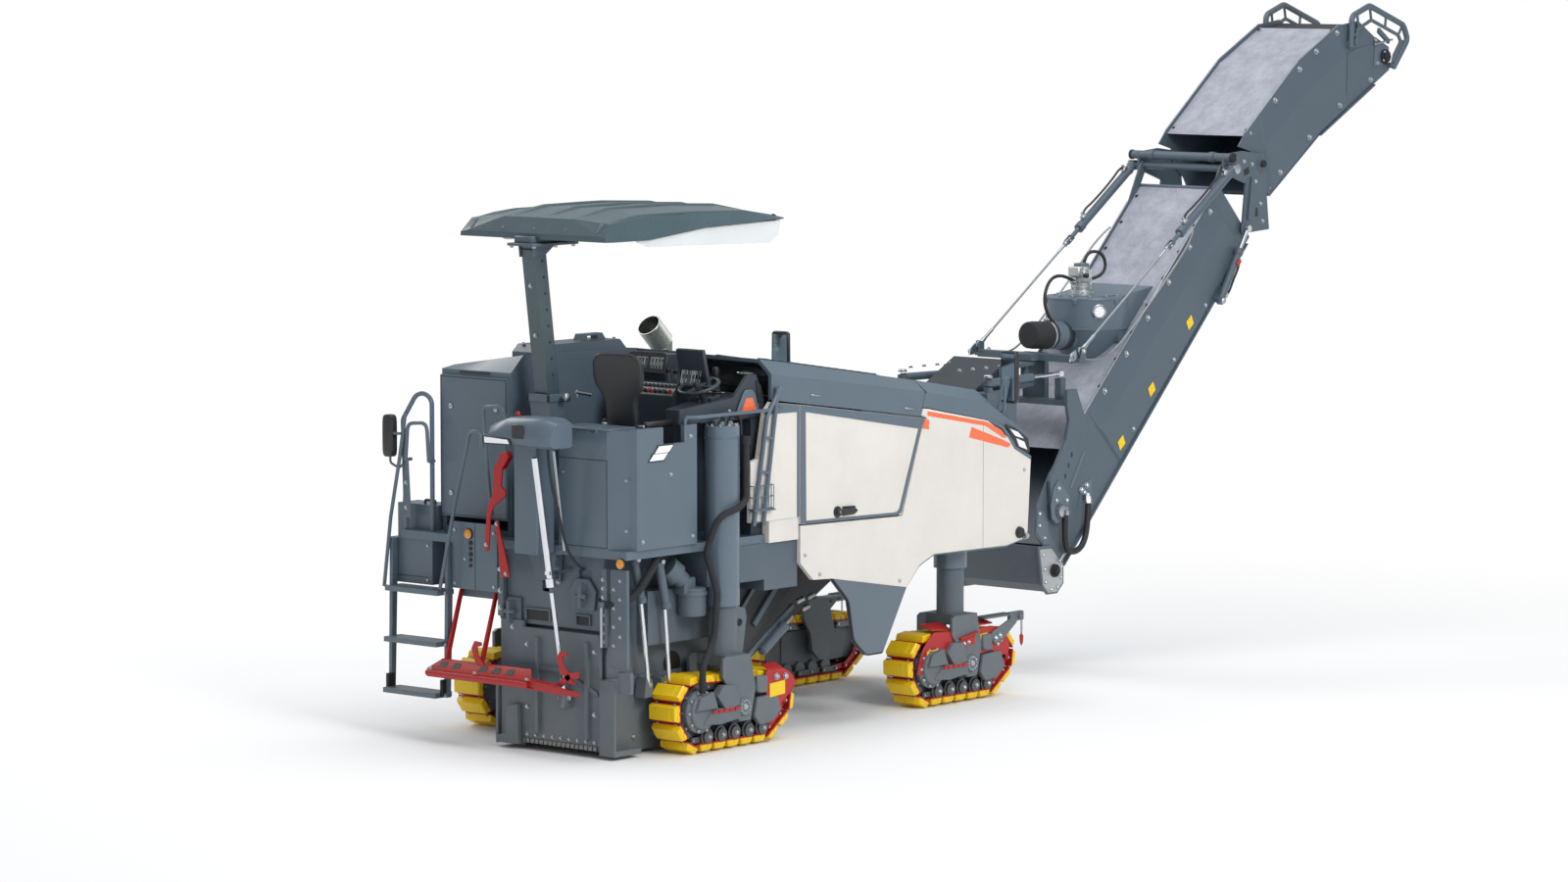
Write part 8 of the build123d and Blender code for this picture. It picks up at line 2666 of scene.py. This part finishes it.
class PLANER_OT_stage(bpy.types.Operator):
    """Set the pale floor, the studio lights and the camera"""

    bl_idname = "planer.stage"
    bl_label = "Stage"

    def execute(self, context):
        scene = context.scene
        scene.view_settings.view_transform = "Standard"
        self.floor(scene)
        self.sky(scene)
        for name, place, aim, size, power in LAMPS:
            lamp = bpy.data.lights.new(name, "AREA")
            lamp.size = size
            lamp.energy = power
            lamp_object = bpy.data.objects.new(name, lamp)
            lamp_object.location = at(*place)
            lamp_object.rotation_euler = (at(*aim) - at(*place)).to_track_quat("-Z", "Y").to_euler()
            scene.collection.objects.link(lamp_object)
        lens = bpy.data.cameras.new("camera")
        lens.lens = LENS_MM
        lens.sensor_width = SENSOR_MM
        lens.clip_end = CAMERA_REACH
        camera = bpy.data.objects.new("camera", lens)
        camera.location = at(*CAMERA_PLACE)
        camera.rotation_euler = (at(*CAMERA_AIM) - camera.location).to_track_quat("-Z", "Y").to_euler()
        scene.collection.objects.link(camera)
        scene.camera = camera
        return {"FINISHED"}

    def floor(self, scene):
        """Matt white sweep: it keeps the machine's shadow near it, and runs out into the white around it."""
        reach, level = FLOOR_REACH, CAD_BOUNDS[0][2]
        outline = bmesh.new()
        for x, y in ((-reach, -reach), (reach, -reach), (reach, reach), (-reach, reach)):
            outline.verts.new((x, y, level))
        outline.faces.new(outline.verts)
        mesh = bpy.data.meshes.new("studio_floor")
        outline.to_mesh(mesh)
        outline.free()
        floor = bpy.data.objects.new("studio_floor", mesh)
        scene.collection.objects.link(floor)
        material, tree, shader = blank("matt_paper_sweep")
        shader.inputs["Base Color"].default_value = linear("#f7f7f7")
        shader.inputs["Roughness"].default_value = 0.9
        place = add(tree, "TexCoord").outputs["Object"]
        offset = add(tree, "VectorMath", {0: place}, operation="SUBTRACT")
        offset.inputs[1].default_value = at(*FLOOR_MIDDLE)
        far = add(tree, "VectorMath", {0: offset.outputs[0]}, operation="LENGTH")
        fade = add(tree, "MapRange", {"Value": far.outputs["Value"]}, interpolation_type="SMOOTHSTEP",
                   From_Min=FADE_START,
                   From_Max=FADE_END)
        path = add(tree, "LightPath")
        seen = add(tree, "Math", {0: path.outputs["Is Camera Ray"], 1: path.outputs["Is Glossy Ray"]},
                   operation="MAXIMUM")
        through = add(tree, "Math", {0: seen.outputs[0], 1: path.outputs["Is Transmission Ray"]},
                      operation="MAXIMUM")
        part = add(tree, "Math", {0: fade.outputs[0], 1: through.outputs[0]}, operation="MULTIPLY")
        white = add(tree, "Emission", Color=(1, 1, 1, 1), Strength=1.0)
        mix = add(tree, "MixShader", {0: part.outputs[0], 1: shader.outputs[0], 2: white.outputs[0]})
        tree.links.new(mix.outputs[0], tree.nodes["Material Output"].inputs["Surface"])
        mesh.materials.append(material)

    def sky(self, scene):
        """A soft grey-blue dome lights the machine; it shows itself as white."""
        world = bpy.data.worlds.new("studio_sky")
        scene.world = world
        world.use_nodes = True
        tree = world.node_tree
        tree.nodes.clear()
        path = add(tree, "LightPath")
        seen = add(tree, "Math", {0: path.outputs["Is Camera Ray"], 1: path.outputs["Is Transmission Ray"]},
                   operation="MAXIMUM")
        fill = add(tree, "Background", Color=linear("#eef2f6"), Strength=SKY_STRENGTH)
        white = add(tree, "Background", Color=(1, 1, 1, 1), Strength=1.0)
        both = add(tree, "MixShader", {0: seen.outputs[0], 1: fill.outputs[0], 2: white.outputs[0]})
        add(tree, "OutputWorld", {"Surface": both.outputs[0]})


ORDER = (PLANER_OT_stage, PLANER_OT_finishes, PLANER_OT_tracks, PLANER_OT_track_gear, PLANER_OT_side_trim,
         PLANER_OT_hood_trim, PLANER_OT_rear_panels, PLANER_OT_levers, PLANER_OT_seat, PLANER_OT_controls,
         PLANER_OT_canopy, PLANER_OT_access, PLANER_OT_lower_section, PLANER_OT_suction,
         PLANER_OT_upper_section, PLANER_OT_linkage, PLANER_OT_drum_tools)


class PLANER_PT_panel(bpy.types.Panel):
    """Lists the machine's sizes, colours and pieces"""

    bl_idname = "PLANER_PT_panel"
    bl_label = "Cold planer"
    bl_space_type = "VIEW_3D"
    bl_region_type = "UI"
    bl_category = "Planer"

    def draw(self, context):
        for group in (context.scene.planer_sizes, context.scene.planer_finishes):
            for name in group.__annotations__:
                self.layout.prop(group, name)
        for step in ORDER:
            self.layout.operator(step.bl_idname)


CLASSES = (PlanerFinishes, PlanerSizes) + ORDER + (PLANER_PT_panel,)


def register():
    for item in CLASSES:
        bpy.utils.register_class(item)
    bpy.types.Scene.planer_finishes = bpy.props.PointerProperty(type=PlanerFinishes)
    bpy.types.Scene.planer_sizes = bpy.props.PointerProperty(type=PlanerSizes)


def unregister():
    del bpy.types.Scene.planer_sizes
    del bpy.types.Scene.planer_finishes
    for item in reversed(CLASSES):
        bpy.utils.unregister_class(item)


def main():
    register()
    for step in ORDER:
        getattr(bpy.ops.planer, step.bl_idname.split(".")[1])()


if __name__ == "__main__":
    main()
